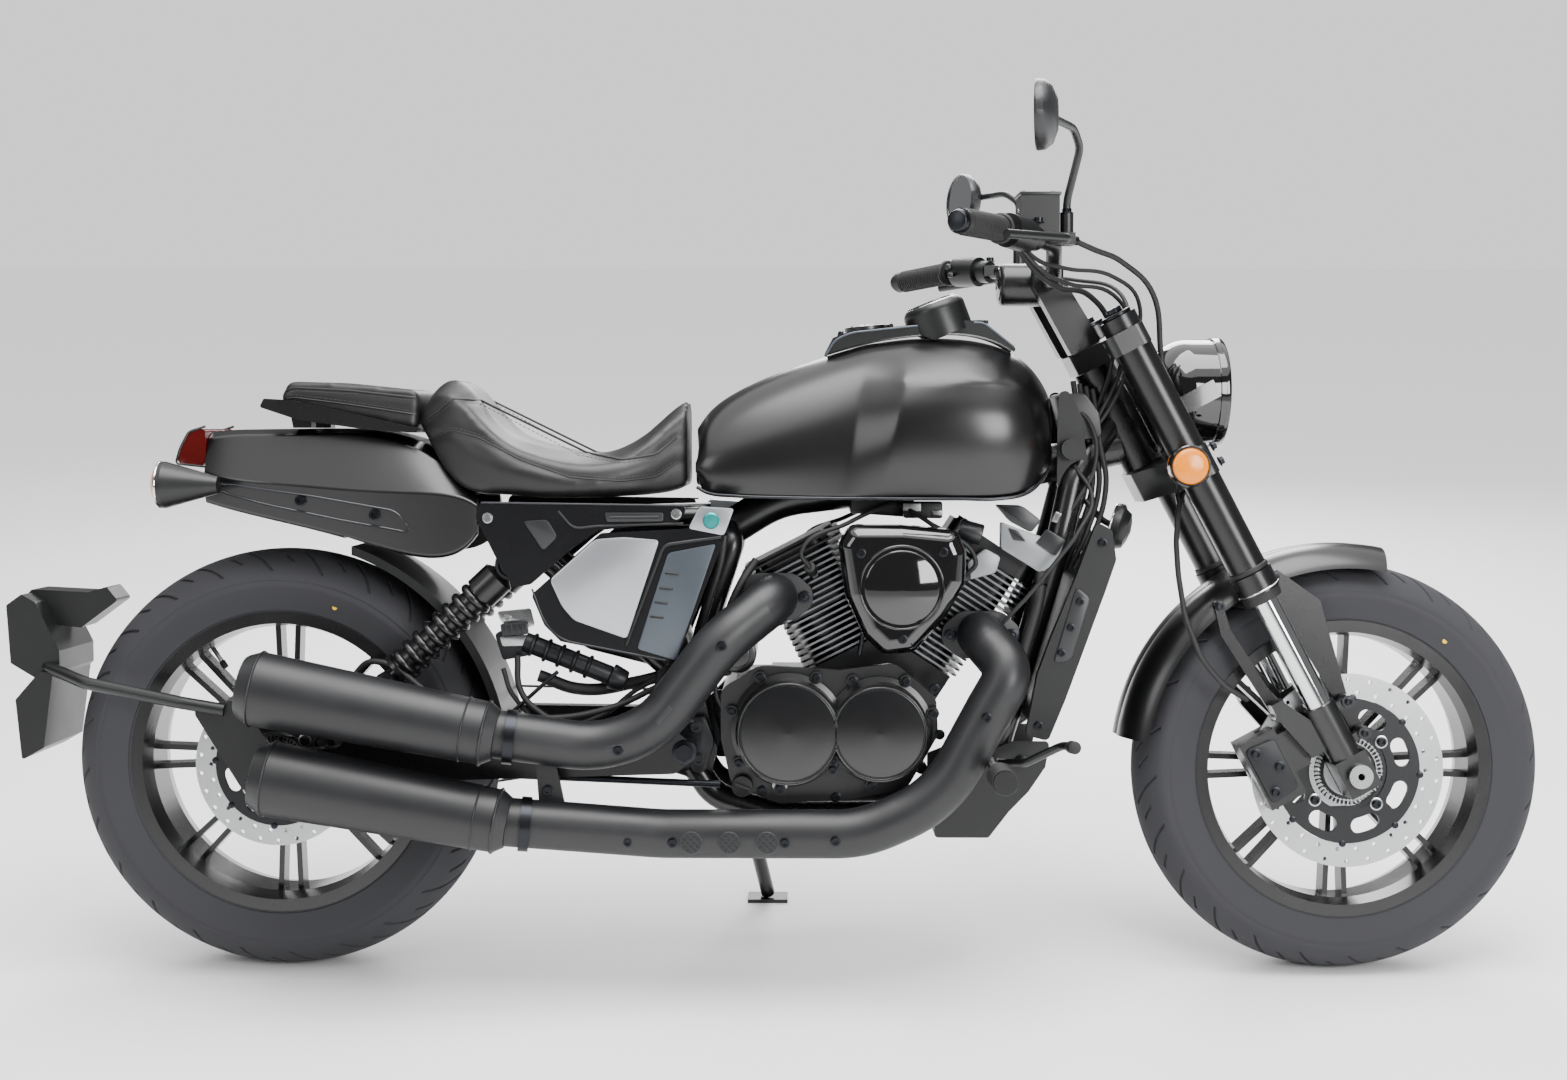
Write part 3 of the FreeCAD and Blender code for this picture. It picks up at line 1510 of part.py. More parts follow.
def cylinder(name, lean, rocker_high):
    """A finned barrel and head, drawn upright over the crank and then leaned."""
    start = d.deck_up
    core = Part.makeCylinder(d.barrel_radius, (d.barrel_fins + 0.5) * d.fin_pitch, Vector(0, 0, start))
    parts = [core]
    for i in range(int(d.barrel_fins)):
        parts.append(fin(d.fin_half, d.fin_half, start + i * d.fin_pitch + d.fin_pitch * 0.4, d.fin_thick))
    head = start + d.barrel_fins * d.fin_pitch
    count = int(d.head_fins)
    parts.append(fin(d.fin_half * 0.9, d.fin_half * 0.9, head, count * d.fin_pitch))
    for i in range(count):
        reach = d.fin_half + (d.head_fin_half - d.fin_half) * min(1, (i + 2) / (count - 2))
        parts.append(fin(reach, reach * 0.95, head + i * d.fin_pitch + d.fin_pitch * 0.4, d.fin_thick))
    top = head + count * d.fin_pitch
    parts.append(fin(d.head_fin_half * 0.9, d.head_fin_half * 0.8, top, rocker_high))
    body = joined(parts)
    tilt = Placement(Vector(d.crank_ahead, 0, d.crank_up), Rotation(ACROSS, lean))
    node(name, body, MACHINE.multiply(tilt))


CLEANER_SHARES = [(0.0, 0.86), (0.1, 1.0), (0.5, 1.0), (0.93, 0.96), (1.0, 0.8), (0.99, 0.55), (0.83, 0.28),
                  (0.6, 0.03), (0.36, 0.0), (0.2, 0.15), (0.06, 0.45)]


def air_cleaner():
    outline = spot(d.cleaner_rear, d.cleaner_foot, d.cleaner_long, d.cleaner_high, CLEANER_SHARES)
    face = -d.cleaner_side
    made = Body("air_cleaner_cover")
    sketch = made.outline(made.sketch("XZ_Plane", -face), outline, d.cleaner_corner)
    pad = made.pad(sketch, d.cleaner_thick, backward=True)
    made.fillet(pad, d.cleaner_thick * 0.4, lambda edge: edge.BoundBox.YMax < face + d.seat_gap)
    kept(made.body)
    x, z = d.crank_ahead + d.intake_ahead, d.cleaner_foot + d.cleaner_high * 0.55
    low = face + d.cleaner_thick + d.seat_gap
    parts = [drum(x, z, low, d.intake_end, d.intake_radius),
             drum(x, z + d.throttle_up, d.throttle_near, d.throttle_far, d.intake_radius * 0.7)]
    for lean, side in ((-d.rear_bank, 1), (d.front_bank, -1)):
        start = Vector(side * (d.fin_half + d.port_gap), 0, d.deck_up + d.port_up)
        stub = Part.makeCylinder(d.port_radius, d.port_long, start, AHEAD * side)
        bank = Placement(Vector(d.crank_ahead, 0, d.crank_up), Rotation(ACROSS, lean))
        stub.Placement = bank.multiply(stub.Placement)
        parts.append(stub)
    node("intake", joined(parts))


# Exhausts

def muffler(start, end):
    """A tapered silencer with a domed end and a short bore."""
    start, end = Vector(*start), Vector(*end)
    heading = end - start
    long = heading.Length
    front, rear, tip = d.muffler_front_radius, d.muffler_rear_radius, d.muffler_tip_radius
    deep = long - d.muffler_bore_deep
    profile = [(0, 0), (front * 0.8, 0), (front, d.muffler_nose), (rear, long - d.muffler_crown),
               (rear - d.muffler_lip, long), (tip, long), (tip, deep), (0, deep), (0, 0)]
    wire = Part.makePolygon([Vector(x, 0, z) for x, z in profile])
    body = Part.Face(wire).revolve(Vector(0, 0, 0), UP, 360)
    body.Placement = Placement(start, Rotation(UP, heading))
    return body


UPPER_PIPE_SHARES = [(1.0, 1.0), (1.0, 1.0), (0.81, 0.71), (0.585, 0.11), (0.385, -0.025), (0.015, 0.095)]
LOWER_PIPE_SHARES = [(1.334, 1.084), (1.334, 1.084), (1.406, 0.916), (1.346, 0.708), (1.21, 0.196),
                     (0.99, 0.0),
                     (0.43, 0.0), (0.0, 0.08)]
PIPE_LINK_SHARES = [(0.0, 0.0), (0.4, 0.0), (0.18, 1.02), (-0.08, 1.02)]


def header(places, port_side, bend):
    """A pipe from its port, out beside the machine and back into its silencer."""
    port = -d.head_fin_half * 0.95 - d.seat_gap
    sides = [port, -port_side] + [-d.pipe_side] * (len(places) - 3) + [-d.muffler_side + d.muffler_inset]
    return tube([(x, y, z) for (x, z), y in zip(places, sides)], bend, d.pipe_radius)


def exhausts():
    side = -d.pipe_side
    places = spot(d.upper_pipe_rear, d.upper_pipe_foot, d.upper_pipe_long, d.upper_pipe_high,
                  UPPER_PIPE_SHARES)
    upper = header(places, d.upper_port_side, d.upper_bend)
    silencer = muffler((d.upper_muffler_front, -d.muffler_side, d.upper_muffler_front_up),
                       (d.upper_muffler_rear, -d.muffler_side, d.upper_muffler_rear_up))
    node("upper_exhaust", joined([upper, silencer]))
    places = spot(d.lower_pipe_rear, d.lower_pipe_foot, d.lower_pipe_long, d.lower_pipe_high,
                  LOWER_PIPE_SHARES)
    lower = header(places, d.lower_port_side, d.lower_bend)
    silencer = muffler((d.lower_muffler_front, -d.muffler_side, d.lower_muffler_front_up),
                       (d.lower_muffler_rear, -d.muffler_side, d.lower_muffler_rear_up))
    size = d.pipe_link_high
    link = plate(spot(d.pipe_link_ahead, d.pipe_link_up, size, size, PIPE_LINK_SHARES),
                 side - d.pipe_link_half, side + d.pipe_link_half)
    node("lower_exhaust", joined([lower, silencer, link.cut(upper)]))


# Tank, seats and tail

def ring_section(x, points, radius):
    """A closed section across the machine at x, through (y, z) points of its left half."""
    full = points + [(-y, z) for y, z in reversed(points) if y != 0]
    return rounded_path([(x, y, z) for y, z in full], radius, closed=True)


TANK_SHARES = [
    # length, top, half width at the shoulder, its height, widest, its height, foot half, foot
    (0.0, 0.42, 0.5, 0.34, 0.68, 0.2, 0.62, 0.06),
    (0.08, 0.62, 0.48, 0.52, 0.74, 0.3, 0.68, 0.03),
    (0.22, 0.775, 0.46, 0.66, 0.78, 0.36, 0.72, 0.03),
    (0.42, 0.92, 0.48, 0.79, 0.79, 0.42, 0.76, 0.0),
    (0.55, 0.975, 0.52, 0.83, 0.92, 0.52, 0.8, 0.0),
    (0.68, 1.0, 0.54, 0.84, 1.0, 0.57, 0.82, 0.0),
    (0.82, 0.97, 0.51, 0.82, 0.97, 0.56, 0.78, 0.0),
    (0.92, 0.85, 0.42, 0.72, 0.8, 0.48, 0.66, 0.05),
    (1.0, 0.62, 0.3, 0.52, 0.48, 0.42, 0.38, 0.22),
]


def fuel_tank():
    sections = []
    for along, top, half, half_up, wide, wide_up, foot, foot_up in TANK_SHARES:
        x = d.tank_rear + d.tank_long * along
        def up(share):
            return d.tank_foot + d.tank_high * share
        points = [(d.tank_half * half * 0.4, up(top)), (d.tank_half * half, up(half_up)),
                  (d.tank_half * wide, up(wide_up)), (d.tank_half * foot, up(foot_up))]
        sections.append(ring_section(x, points, d.tank_edge_radius))
    body = Part.makeLoft(sections, True, False)
    tunnel = Part.makeBox(d.tank_long * 2, d.tunnel_half * 2, d.tunnel_high,
                          Vector(d.tank_rear - d.tank_long / 2, -d.tunnel_half, d.tank_foot - d.tunnel_drop))
    node("fuel_tank", body.cut(tunnel))


SEAT_SHARES = [
    # length, top, edge height, half width, foot
    (0.0, 0.78, 0.72, 0.62, 0.6),
    (0.06, 0.94, 0.86, 0.72, 0.36),
    (0.13, 0.99, 0.84, 0.84, 0.16),
    (0.26, 0.7, 0.58, 0.96, 0.04),
    (0.42, 0.46, 0.36, 1.0, 0.02),
    (0.6, 0.37, 0.27, 0.98, 0.01),
    (0.76, 0.42, 0.32, 0.88, 0.02),
    (0.9, 0.64, 0.54, 0.68, 0.04),
    (1.0, 0.82, 0.72, 0.54, 0.1),
]


def seat_form():
    sections = []
    long = d.tank_rear - d.seat_gap - d.seat_rear - d.seat_nose_gap
    for along, top, edge, wide, foot in SEAT_SHARES:
        def up(share):
            return d.seat_foot + d.seat_high * share
        half = d.seat_half * wide
        points = [(half * 0.55, up(top)), (half * 0.93, up(edge)), (half, up((edge + foot) / 2)),
                  (half * 0.94, up(foot))]
        sections.append(ring_section(d.seat_rear + long * along, points, d.seat_edge_radius))
    return Part.makeLoft(sections, True, False)


def rider_seat():
    node("rider_seat", seat_form())


def cap_frame():
    """The filler's own frame, on the console's sloping top."""
    slope = math.degrees(math.atan2(d.cap_slope_rise, d.cap_slope_run))
    return Placement(Vector(d.cap_ahead, 0, d.cap_up), Rotation(ACROSS, -slope))


CONSOLE_SHARES = [(0.0, -0.1), (0.06, 0.48), (0.164, 0.68), (0.732, 0.96), (0.924, 1.0), (1.14, 0.1),
                  (0.98, 0.0),
                  (0.7, 0.3), (0.38, 0.24)]
POD_AXIS_SHARES = (-0.35, 0, 0.94)


def tank_fittings():
    outline = spot(d.console_rear, d.console_foot, d.console_long, d.console_high, CONSOLE_SHARES)
    console = plate(outline, -d.console_half, d.console_half, d.console_corner)
    pod = Part.makeCylinder(d.pod_radius, d.pod_high, Vector(d.pod_ahead, 0, d.pod_up),
                            Vector(*POD_AXIS_SHARES))
    pod = pod.makeFillet(d.pod_edge_radius, [max(pod.Edges, key=lambda edge: edge.BoundBox.Center.z)])
    hinge = Vector(d.hinge_ahead, 0, d.hinge_up)
    mouth = Part.makeCylinder(d.mouth_radius, d.mouth_deep, Vector(0, 0, -d.mouth_below))
    ears = []
    for side in SIDES:
        start = hinge + ACROSS * (side * d.ear_side - d.ear_thick / 2)
        ears.append(Part.makeCylinder(d.hinge_radius, d.ear_thick, start, ACROSS))
        ears.append(Part.makeBox(2 * d.hinge_radius, d.ear_thick, d.ear_high,
                                 start - AHEAD * d.hinge_radius - UP * d.ear_high))
    ears = joined(ears)
    cap = Part.makeCylinder(d.cap_radius, d.cap_thick, Vector(0, 0, d.seat_gap))
    cap = cap.fuse(Part.makeCylinder(d.plug_radius, d.plug_long, Vector(0, 0, d.seat_gap - d.plug_long)))
    tab = Part.makeBox(2 * d.tab_half, 2 * d.tab_half, d.tab_thick, Vector(d.tab_root, -d.tab_half, d.tab_up))
    knuckle = Part.makeCylinder(d.hinge_radius, 2 * d.tab_half, hinge - ACROSS * d.tab_half, ACROSS)
    cap = cap.fuse([tab, knuckle])
    here = cap_frame()
    for piece in (mouth, ears):
        piece.Placement = here.multiply(piece.Placement)
    base = joined([console, pod, ears])
    body = DOC.getObject("fuel_tank").Shape.copy()
    body.Placement = Placement()
    node("tank_console", base.cut(body).cut(mouth))
    node("fuel_cap", cap.removeSplitter(), MACHINE.multiply(here))


PAD_SHARES = [(0.0, 0.56), (0.08, 1.0), (0.5, 0.96), (1.0, 0.8), (0.98, -0.12), (0.5, 0.2)]


def pillion_seat():
    outline = spot(d.pad_rear, d.pad_foot, d.pad_long, d.pad_high, PAD_SHARES)
    made = Body("pillion_seat")
    sketch = made.outline(made.sketch("XZ_Plane", d.pad_half), outline, d.pad_corner)
    pad = made.pad(sketch, 2 * d.pad_half, backward=True)
    made.fillet(pad, d.pad_edge_radius, lambda edge: edge.BoundBox.YLength < d.pad_half)
    kept(made.body)


RACK_BLADE_SHARES = [(0.0, 0.64), (0.03, 0.88), (0.22, 0.84), (0.72, 0.4), (1.13, 0.04), (1.11, -0.08),
                     (0.77, 0.0),
                     (0.27, 0.28)]
RACK_BOW_SHARES = [(0.0, 0.64), (0.03, 0.88), (0.09, 0.86), (0.07, 0.56)]
RACK_BASE_SHARES = [(0.14, 0.77), (0.605, 0.356), (1.03, 0.016), (1.03, -0.08), (0.605, 0.24), (0.14, 0.64)]
RACK_FOOT_SHARES = [(0.2, 0.052), (0.33, 0.052), (0.33, 0.56), (0.17, 0.68)]


def grab_rack():
    def piece(word, shares, low, high, corner=0):
        outline = spot(d.rack_rear, d.rack_foot, d.rack_long, d.rack_high, shares)
        return slab("grab_rack_" + word, outline, low, high, corner)
    blade = piece("blade", RACK_BLADE_SHARES, d.rack_inner, d.rack_outer, d.rack_corner)
    bow = piece("bow", RACK_BOW_SHARES, -d.rack_bow_half, d.rack_bow_half, d.rack_corner)
    base = piece("base", RACK_BASE_SHARES, -d.rack_bow_half, d.rack_bow_half)
    foot = piece("foot", RACK_FOOT_SHARES, d.rack_foot_side - d.rack_foot_half,
                 d.rack_foot_side + d.rack_foot_half)
    kept(merged("grab_rack", [blade, reflected(blade), bow, base, foot, reflected(foot)]))


TAIL_SHARES = [
    # length, top, shoulder height, crease height, foot, half width at top, widest, half width at foot
    (0.0, 0.95, 0.9, 0.66, 0.42, 0.55, 0.74, 0.7),
    (0.12, 0.97, 0.93, 0.6, 0.36, 0.66, 0.9, 0.84),
    (0.45, 0.98, 0.94, 0.54, 0.2, 0.72, 1.0, 0.92),
    (0.7, 0.93, 0.88, 0.51, 0.06, 0.74, 1.04, 0.96),
    (0.85, 0.8, 0.74, 0.5, 0.02, 0.78, 1.06, 1.0),
    (1.0, 0.5, 0.47, 0.42, 0.2, 0.9, 1.08, 1.04),
]


HOLLOW_SHARES = [(0.028, -0.07), (0.028, 0.7), (0.48, 0.63), (1.0, 0.48), (1.0, -0.07)]
HOLLOW_FRONT_SHARES = [(0.408, -0.07), (0.408, 0.6), (0.66, 0.49), (1.0, 0.43), (1.0, -0.07)]
TAIL_LAMP_SHARES = [(-0.02, 1.1), (-0.48, 0.96), (-0.72, 0.52), (-0.86, 0.08), (-0.02, 0.0)]


def tail_fairing():
    sections = []
    for along, top, shoulder, crease, foot, top_half, wide, foot_half in TAIL_SHARES:
        x = d.tail_rear + d.tail_long * along
        def up(share):
            return d.tail_foot + d.tail_high * share
        points = [(d.tail_half * top_half * 0.6, up(top)), (d.tail_half * top_half, up(shoulder)),
                  (d.tail_half * wide, up(crease)), (d.tail_half * foot_half, up(foot))]
        sections.append(ring_section(x, points, d.tail_edge_radius))
    body = Part.makeLoft(sections, True, False)
    narrow, wide = d.rail_tail_side + 2 * d.rail_radius, d.rail_side + 1.2 * d.rail_radius
    def room(shares, half):
        return plate(spot(d.tail_rear, d.tail_foot, d.hollow_long, d.hollow_high, shares), -half, half)
    body = body.cut(room(HOLLOW_SHARES, narrow)).cut(room(HOLLOW_FRONT_SHARES, wide))
    node("tail_fairing", body.cut(seat_form()))
    outline = spot(d.tail_rear, d.tail_lamp_up, d.tail_lamp_deep, d.tail_lamp_high, TAIL_LAMP_SHARES)
    kept(slab("tail_lamp", outline, -d.tail_lamp_half, d.tail_lamp_half, d.tail_lamp_corner))


def rear_indicators():
    cone = Part.makeCone(d.rear_lamp_radius, d.rear_lamp_tip, d.rear_lamp_long, Vector(0, 0, 0), AHEAD)
    lens = Part.makeCylinder(d.rear_lamp_radius, d.rear_lens_deep, Vector(-d.rear_lens_deep, 0, 0), AHEAD)
    right = joined([cone, lens])
    right.translate(Vector(d.rear_lamp_ahead, -d.rear_lamp_side, d.rear_lamp_up))
    stalk = rod((d.rear_stalk_ahead, -d.rear_stalk_root, d.rear_stalk_root_up),
                (d.rear_stalk_ahead, -d.rear_stalk_end, d.rear_stalk_end_up), d.rear_stalk_radius)
    node("rear_indicators", both_sides(joined([right, stalk])))


UPPER_PANEL_SHARES = [(0.02, 0.96), (1.192, 0.928), (1.136, 0.736), (0.684, 0.64), (0.544, 0.448),
                      (0.304, 0.032),
                      (0.208, 0.0), (0.12, 0.288), (-0.004, 0.784)]
UPPER_PEG_SHARES = [(1.04, 0.776), (0.032, 0.728)]
LOWER_PANEL_SHARES = [(0.008, 0.5), (0.08, 0.285), (0.172, 0.17), (0.764, 0.03), (0.844, 0.11), (1.092, 0.9),
                      (1.06, 0.975), (0.396, 0.93)]
LOWER_PEG_SHARES = [(0.308, 0.425), (0.58, 0.127)]


def panel(name, frame, face, thick, sunk, outline_shares, peg_shares):
    """A right side panel with the pegs that hold it to the rail."""
    rail = d.rail_side + d.rail_radius + d.seat_gap
    pieces = [slab(name, spot(*frame, outline_shares), -face, thick - face, d.panel_corner)]
    for x, z in spot(*frame, peg_shares):
        pieces.append(cross_pin(name + "_peg", x, z, thick - face - sunk, -rail, d.panel_peg_radius))
    return merged(name + "_pegged", pieces)


def side_panels():
    frame = (d.upper_panel_rear, d.upper_panel_foot, d.upper_panel_long, d.upper_panel_high)
    upper = panel("upper_panel", frame, d.upper_panel_side, d.upper_panel_thick, d.weld_depth,
                  UPPER_PANEL_SHARES, UPPER_PEG_SHARES)
    frame = (d.lower_panel_rear, d.lower_panel_foot, d.lower_panel_long, d.lower_panel_high)
    lower = panel("lower_panel", frame, d.lower_panel_side, d.lower_panel_thick, d.overrun,
                  LOWER_PANEL_SHARES, LOWER_PEG_SHARES)
    kept(paired("side_panels", grouped("right_panels", [upper, lower])))


def rear_hugger():
    half, inner = d.hugger_half, d.hugger_radius
    outer = inner + d.hugger_thick
    ring = turned_body("hugger_ring", [(-half, inner), (-half, outer), (half, outer), (half, inner)]).body
    lay(ring, (0, 0, d.rear_radius))
    room = block_object("hugger_reach", (d.hugger_rear, -2 * half, d.rear_radius + d.hugger_foot),
                        2 * inner, 4 * half, 2 * inner)
    arch = DOC.addObject("Part::MultiCommon", "hugger_arch")
    arch.Shapes = [ring, room]
    half = d.arm_side - d.arm_thick / 2 - d.seat_gap
    pin = cross_pin("hugger_pin", d.hugger_pin_ahead, d.hugger_pin_up, -half, half, d.hugger_pin_radius)
    kept(merged("rear_hugger", [arch, pin]))


HANGER_SHARES = [(-1.1, 0.92), (-0.4, 1.0), (0.26, 0.04), (0.06, -0.32), (-0.36, -0.28)]
PLATE_ARM_SHARES = [(1.14, -0.12), (0.9, 0.08), (0.332, 0.6), (0.0, 0.96), (0.0, 1.04)]
PLATE_SHARES = [(0.0, 0.96), (0.22, 1.12), (0.42, 1.0), (0.76, 0.3), (0.76, 0.0), (0.56, -0.19), (0.05, 0.12)]
FLAP_SHARES = [(0.49, 0.0), (0.69, 0.0), (0.54, -1.1), (0.22, -1.28), (0.14, -0.4)]
PLATE_LAMP_SHARES = [(0.08, 1.0), (0.22, 1.16), (1.04, 1.12), (1.32, 1.2), (1.48, 1.0), (0.94, 0.6),
                     (0.46, 0.65)]


def plate_holder():
    side = -d.arm_side - d.arm_thick / 2 - d.seat_gap
    hanger = plate(spot(0, d.rear_radius, d.hanger_high, d.hanger_high, HANGER_SHARES),
                   side - d.hanger_thick, side, d.hanger_corner)
    over = 4 * d.hanger_thick
    hanger = hanger.cut(drum(0, d.rear_radius, side - over, side + over, d.axle_radius + d.seat_gap))
    run = spot(d.plate_arm_rear, d.plate_arm_foot, d.plate_arm_long, d.plate_arm_rise, PLATE_ARM_SHARES)
    near = side - d.plate_arm_inset
    sides = (near, near, -d.plate_arm_mid_side, -d.plate_arm_end_side, 0)
    arm = tube([(x, y, z) for (x, z), y in zip(run, sides)], d.plate_arm_bend, d.plate_arm_radius)
    def piece(shares, half, corner):
        return plate(spot(d.plate_rear, d.plate_foot, d.plate_long, d.plate_high, shares), -half, half,
                     corner)
    back = piece(PLATE_SHARES, d.plate_half, d.plate_corner)
    flap = piece(FLAP_SHARES, d.flap_half, d.plate_corner)
    lamp = piece(PLATE_LAMP_SHARES, d.plate_lamp_half, d.plate_lamp_corner)
    node("plate_holder", joined([hanger, arm, back, flap, lamp]))


RADIATOR_COVER_SHARES = [(1.06, 1.136), (1.12, 0.968), (0.98, 0.8), (0.42, 0.172), (0.18, -0.064),
                         (-0.14, -0.032),
                         (0.02, 0.316), (0.2, 0.516), (0.54, 0.856), (0.84, 1.184)]


def radiator():
    rear, foot, thick = d.radiator_rear, d.radiator_foot, d.radiator_thick
    top = foot + d.radiator_high
    core = [(rear + d.radiator_slope, top), (rear + d.radiator_slope + thick, top), (rear + thick, foot),
            (rear, foot)]
    kept(slab("radiator", core, -d.radiator_half, d.radiator_half))
    outline = spot(rear, foot, d.radiator_cover_long, d.radiator_cover_high, RADIATOR_COVER_SHARES)
    right = slab("radiator_cover", outline, -d.radiator_cover_side, -d.radiator_half - d.seat_gap,
                 d.radiator_cover_corner)
    kept(paired("radiator_covers", right))


NECK_COVER_SHARES = [(0.0, 0.12), (0.0, 1.0), (0.04, 1.46), (0.3, 1.48), (0.66, 1.12), (0.86, 0.52),
                     (0.78, 0.06),
                     (0.22, -0.1)]


def neck_covers():
    """The plates on both sides of the neck, with the ignition lock on the right one."""
    outline = spot(d.neck_cover_rear, d.neck_cover_foot, d.neck_cover_long, d.neck_cover_high,
                   NECK_COVER_SHARES)
    low = d.neck_cover_side
    root = low + d.weld_depth
    both = both_sides(plate(outline, -low - d.neck_cover_thick, -low, d.neck_cover_corner))
    lock = drum(d.lock_ahead, d.lock_up, -low - d.neck_cover_thick - d.lock_long, -root, d.lock_radius)
    pin = drum(d.neck_pin_ahead, d.neck_pin_up, -root, root, d.neck_pin_radius)
    covers = both.fuse([lock, pin.cut(backbone(d.backbone_radius + d.seat_gap))])
    for side in SIDES:
        covers = covers.cut(down_tube(side, d.down_tube_radius + d.seat_gap))
    node("neck_covers", covers)


GUARD_SHARES = [(0.825, 0.7), (0.795, 0.515), (0.675, 0.335), (0.535, 0.19), (0.39, 0.0), (0.0, 0.0),
                (0.0, 0.475),
                (0.565, 0.7)]
GUARD_INNER_SHARES = [(1.215, 1.075), (0.765, 0.515), (0.655, 0.36), (0.515, 0.215), (0.375, 0.03),
                      (-0.235, 0.03),
                      (-0.235, 1.075)]


def engine_guard():
    half, inner = d.guard_half, d.guard_half - d.guard_wall
    frame = (d.guard_rear, d.guard_foot, d.guard_long, d.guard_high)
    shell = lessened("guard_shell",
                     slab("guard_outside", spot(*frame, GUARD_SHARES), -half, half, d.guard_corner),
                     slab("guard_inside", spot(*frame, GUARD_INNER_SHARES), -inner, inner, d.guard_wall))
    tube_side = d.down_tube_side + d.down_tube_radius + d.seat_gap
    boss = cross_pin("guard_boss", d.guard_boss_ahead, d.guard_boss_up, tube_side, half - d.overrun,
                     d.guard_boss_radius)
    kept(merged("engine_guard", [shell, boss, reflected(boss)]))


PEDAL_SHARES = [(0.0, 1.12, 0.0), (0.42, 1.5, 0.06), (0.9, 1.72, 0.34), (1.0, 2.0, 0.38)]


def foot_controls():
    x, z = d.peg_ahead, d.peg_up
    root = d.guard_half + d.seat_gap
    pedal = [(x + d.pedal_long * a, -d.pedal_long * out, z + d.pedal_long * b) for a, out, b in PEDAL_SHARES]
    right = joined([
        rod((x, -root, z), (x, -d.peg_bar_end, z), d.peg_bar_radius),
        rod((x, -d.peg_inner, z), (x, -d.peg_outer, z + d.peg_rise), d.peg_radius),
        tube(pedal, d.pedal_bend, d.pedal_radius),
    ])
    node("foot_controls", both_sides(right))


REAR_CALIPER_SHARES = [(0.66, 0.84), (0.96, 1.36), (1.4, 1.12), (1.22, 0.36), (0.82, 0.44)]


def rear_caliper():
    size = d.rear_caliper_size
    body = slab("rear_caliper_body", spot(0, d.rear_radius, size, size, REAR_CALIPER_SHARES),
                -d.rear_caliper_outer, -d.rear_caliper_inner, d.rear_caliper_corner)
    slot = cross_pin("rear_caliper_slot", 0, d.rear_radius, -d.rear_disc_side - d.caliper_slot_half,
                     -d.rear_disc_side + d.caliper_slot_half, d.rear_disc_radius + d.caliper_clear)
    kept(lessened("rear_caliper", body, slot))


STOWED_WAY_SHARES = (-0.98, 0.16, -0.05)


def stand_hinge():
    """The stand's pivot, its heel, and the axis that swings it up and back."""
    pivot = Vector(d.stand_ahead, d.stand_side, d.stand_up)
    heel_up = ground_under(d.stand_foot_ahead, d.stand_foot_side) + d.stand_radius
    heel = Vector(d.stand_foot_ahead, d.stand_foot_side, heel_up)
    axis = (heel - pivot).cross(Vector(*STOWED_WAY_SHARES))
    axis.normalize()
    return pivot, heel, axis


def side_stand():
    pivot, heel, axis = stand_hinge()
    middle = pivot + (heel - pivot) * 0.5 + Vector(d.stand_bow_ahead, d.stand_bow_side, d.stand_bow_up)
    leg = tube([tuple(pivot), tuple(middle), tuple(heel)], d.stand_bend, d.stand_radius)
    sole = Part.makeBox(d.sole_long, d.sole_wide, d.foot_thick, Vector(-d.sole_long / 2, -d.sole_wide / 2, 0))
    sole.Placement = Placement(Vector(heel.x, heel.y, heel.z - d.stand_radius), Rotation(AHEAD, d.lean_angle))
    lug = Part.makeCylinder(d.stand_ear_radius, 2 * d.stand_radius, pivot - axis * d.stand_radius, axis)
    node("side_stand", joined([leg, sole, lug]))


# Front end, drawn in the fork's own frame: origin on the axle, Z up the fork

def triple_clamps():
    half, cheek = d.fork_half + d.yoke_cheek, d.yoke_cheek
    def yoke(made, low, thick, front):
        outline = [(front, -d.yoke_nose_half), (front, d.yoke_nose_half), (d.yoke_cheek_ahead, half),
                   (-cheek, half),
                   (-d.yoke_rear, d.yoke_rear_half), (-d.yoke_rear, -d.yoke_rear_half), (-cheek, -half),
                   (d.yoke_cheek_ahead, -half)]
        made.pad(made.outline(made.sketch("XY_Plane", low), outline, d.yoke_corner), thick)
    made = Body("triple_clamps")
    stem = made.circle(made.sketch("XY_Plane", d.lower_clamp_up), (-d.fork_offset, 0), d.stem_radius)
    made.pad(stem, d.clamp_up - d.lower_clamp_up)
    yoke(made, d.lower_clamp_up - d.lower_clamp_thick / 2, d.lower_clamp_thick, d.yoke_front)
    yoke(made, d.clamp_up - d.clamp_thick / 2, d.clamp_thick, d.upper_yoke_front)
    bores = made.sketch("XY_Plane")
    for side in SIDES:
        made.circle(bores, (0, side * d.fork_half), d.outer_tube_radius + d.seat_gap)
    made.pierce(bores)
    kept(made.body, FORK)


HORN_SHARES = [(-0.2, 0.5), (-0.2, 0.96), (-0.46, 1.44), (-0.62, 1.44), (-0.62, 1.2), (-0.44, 0.5)]


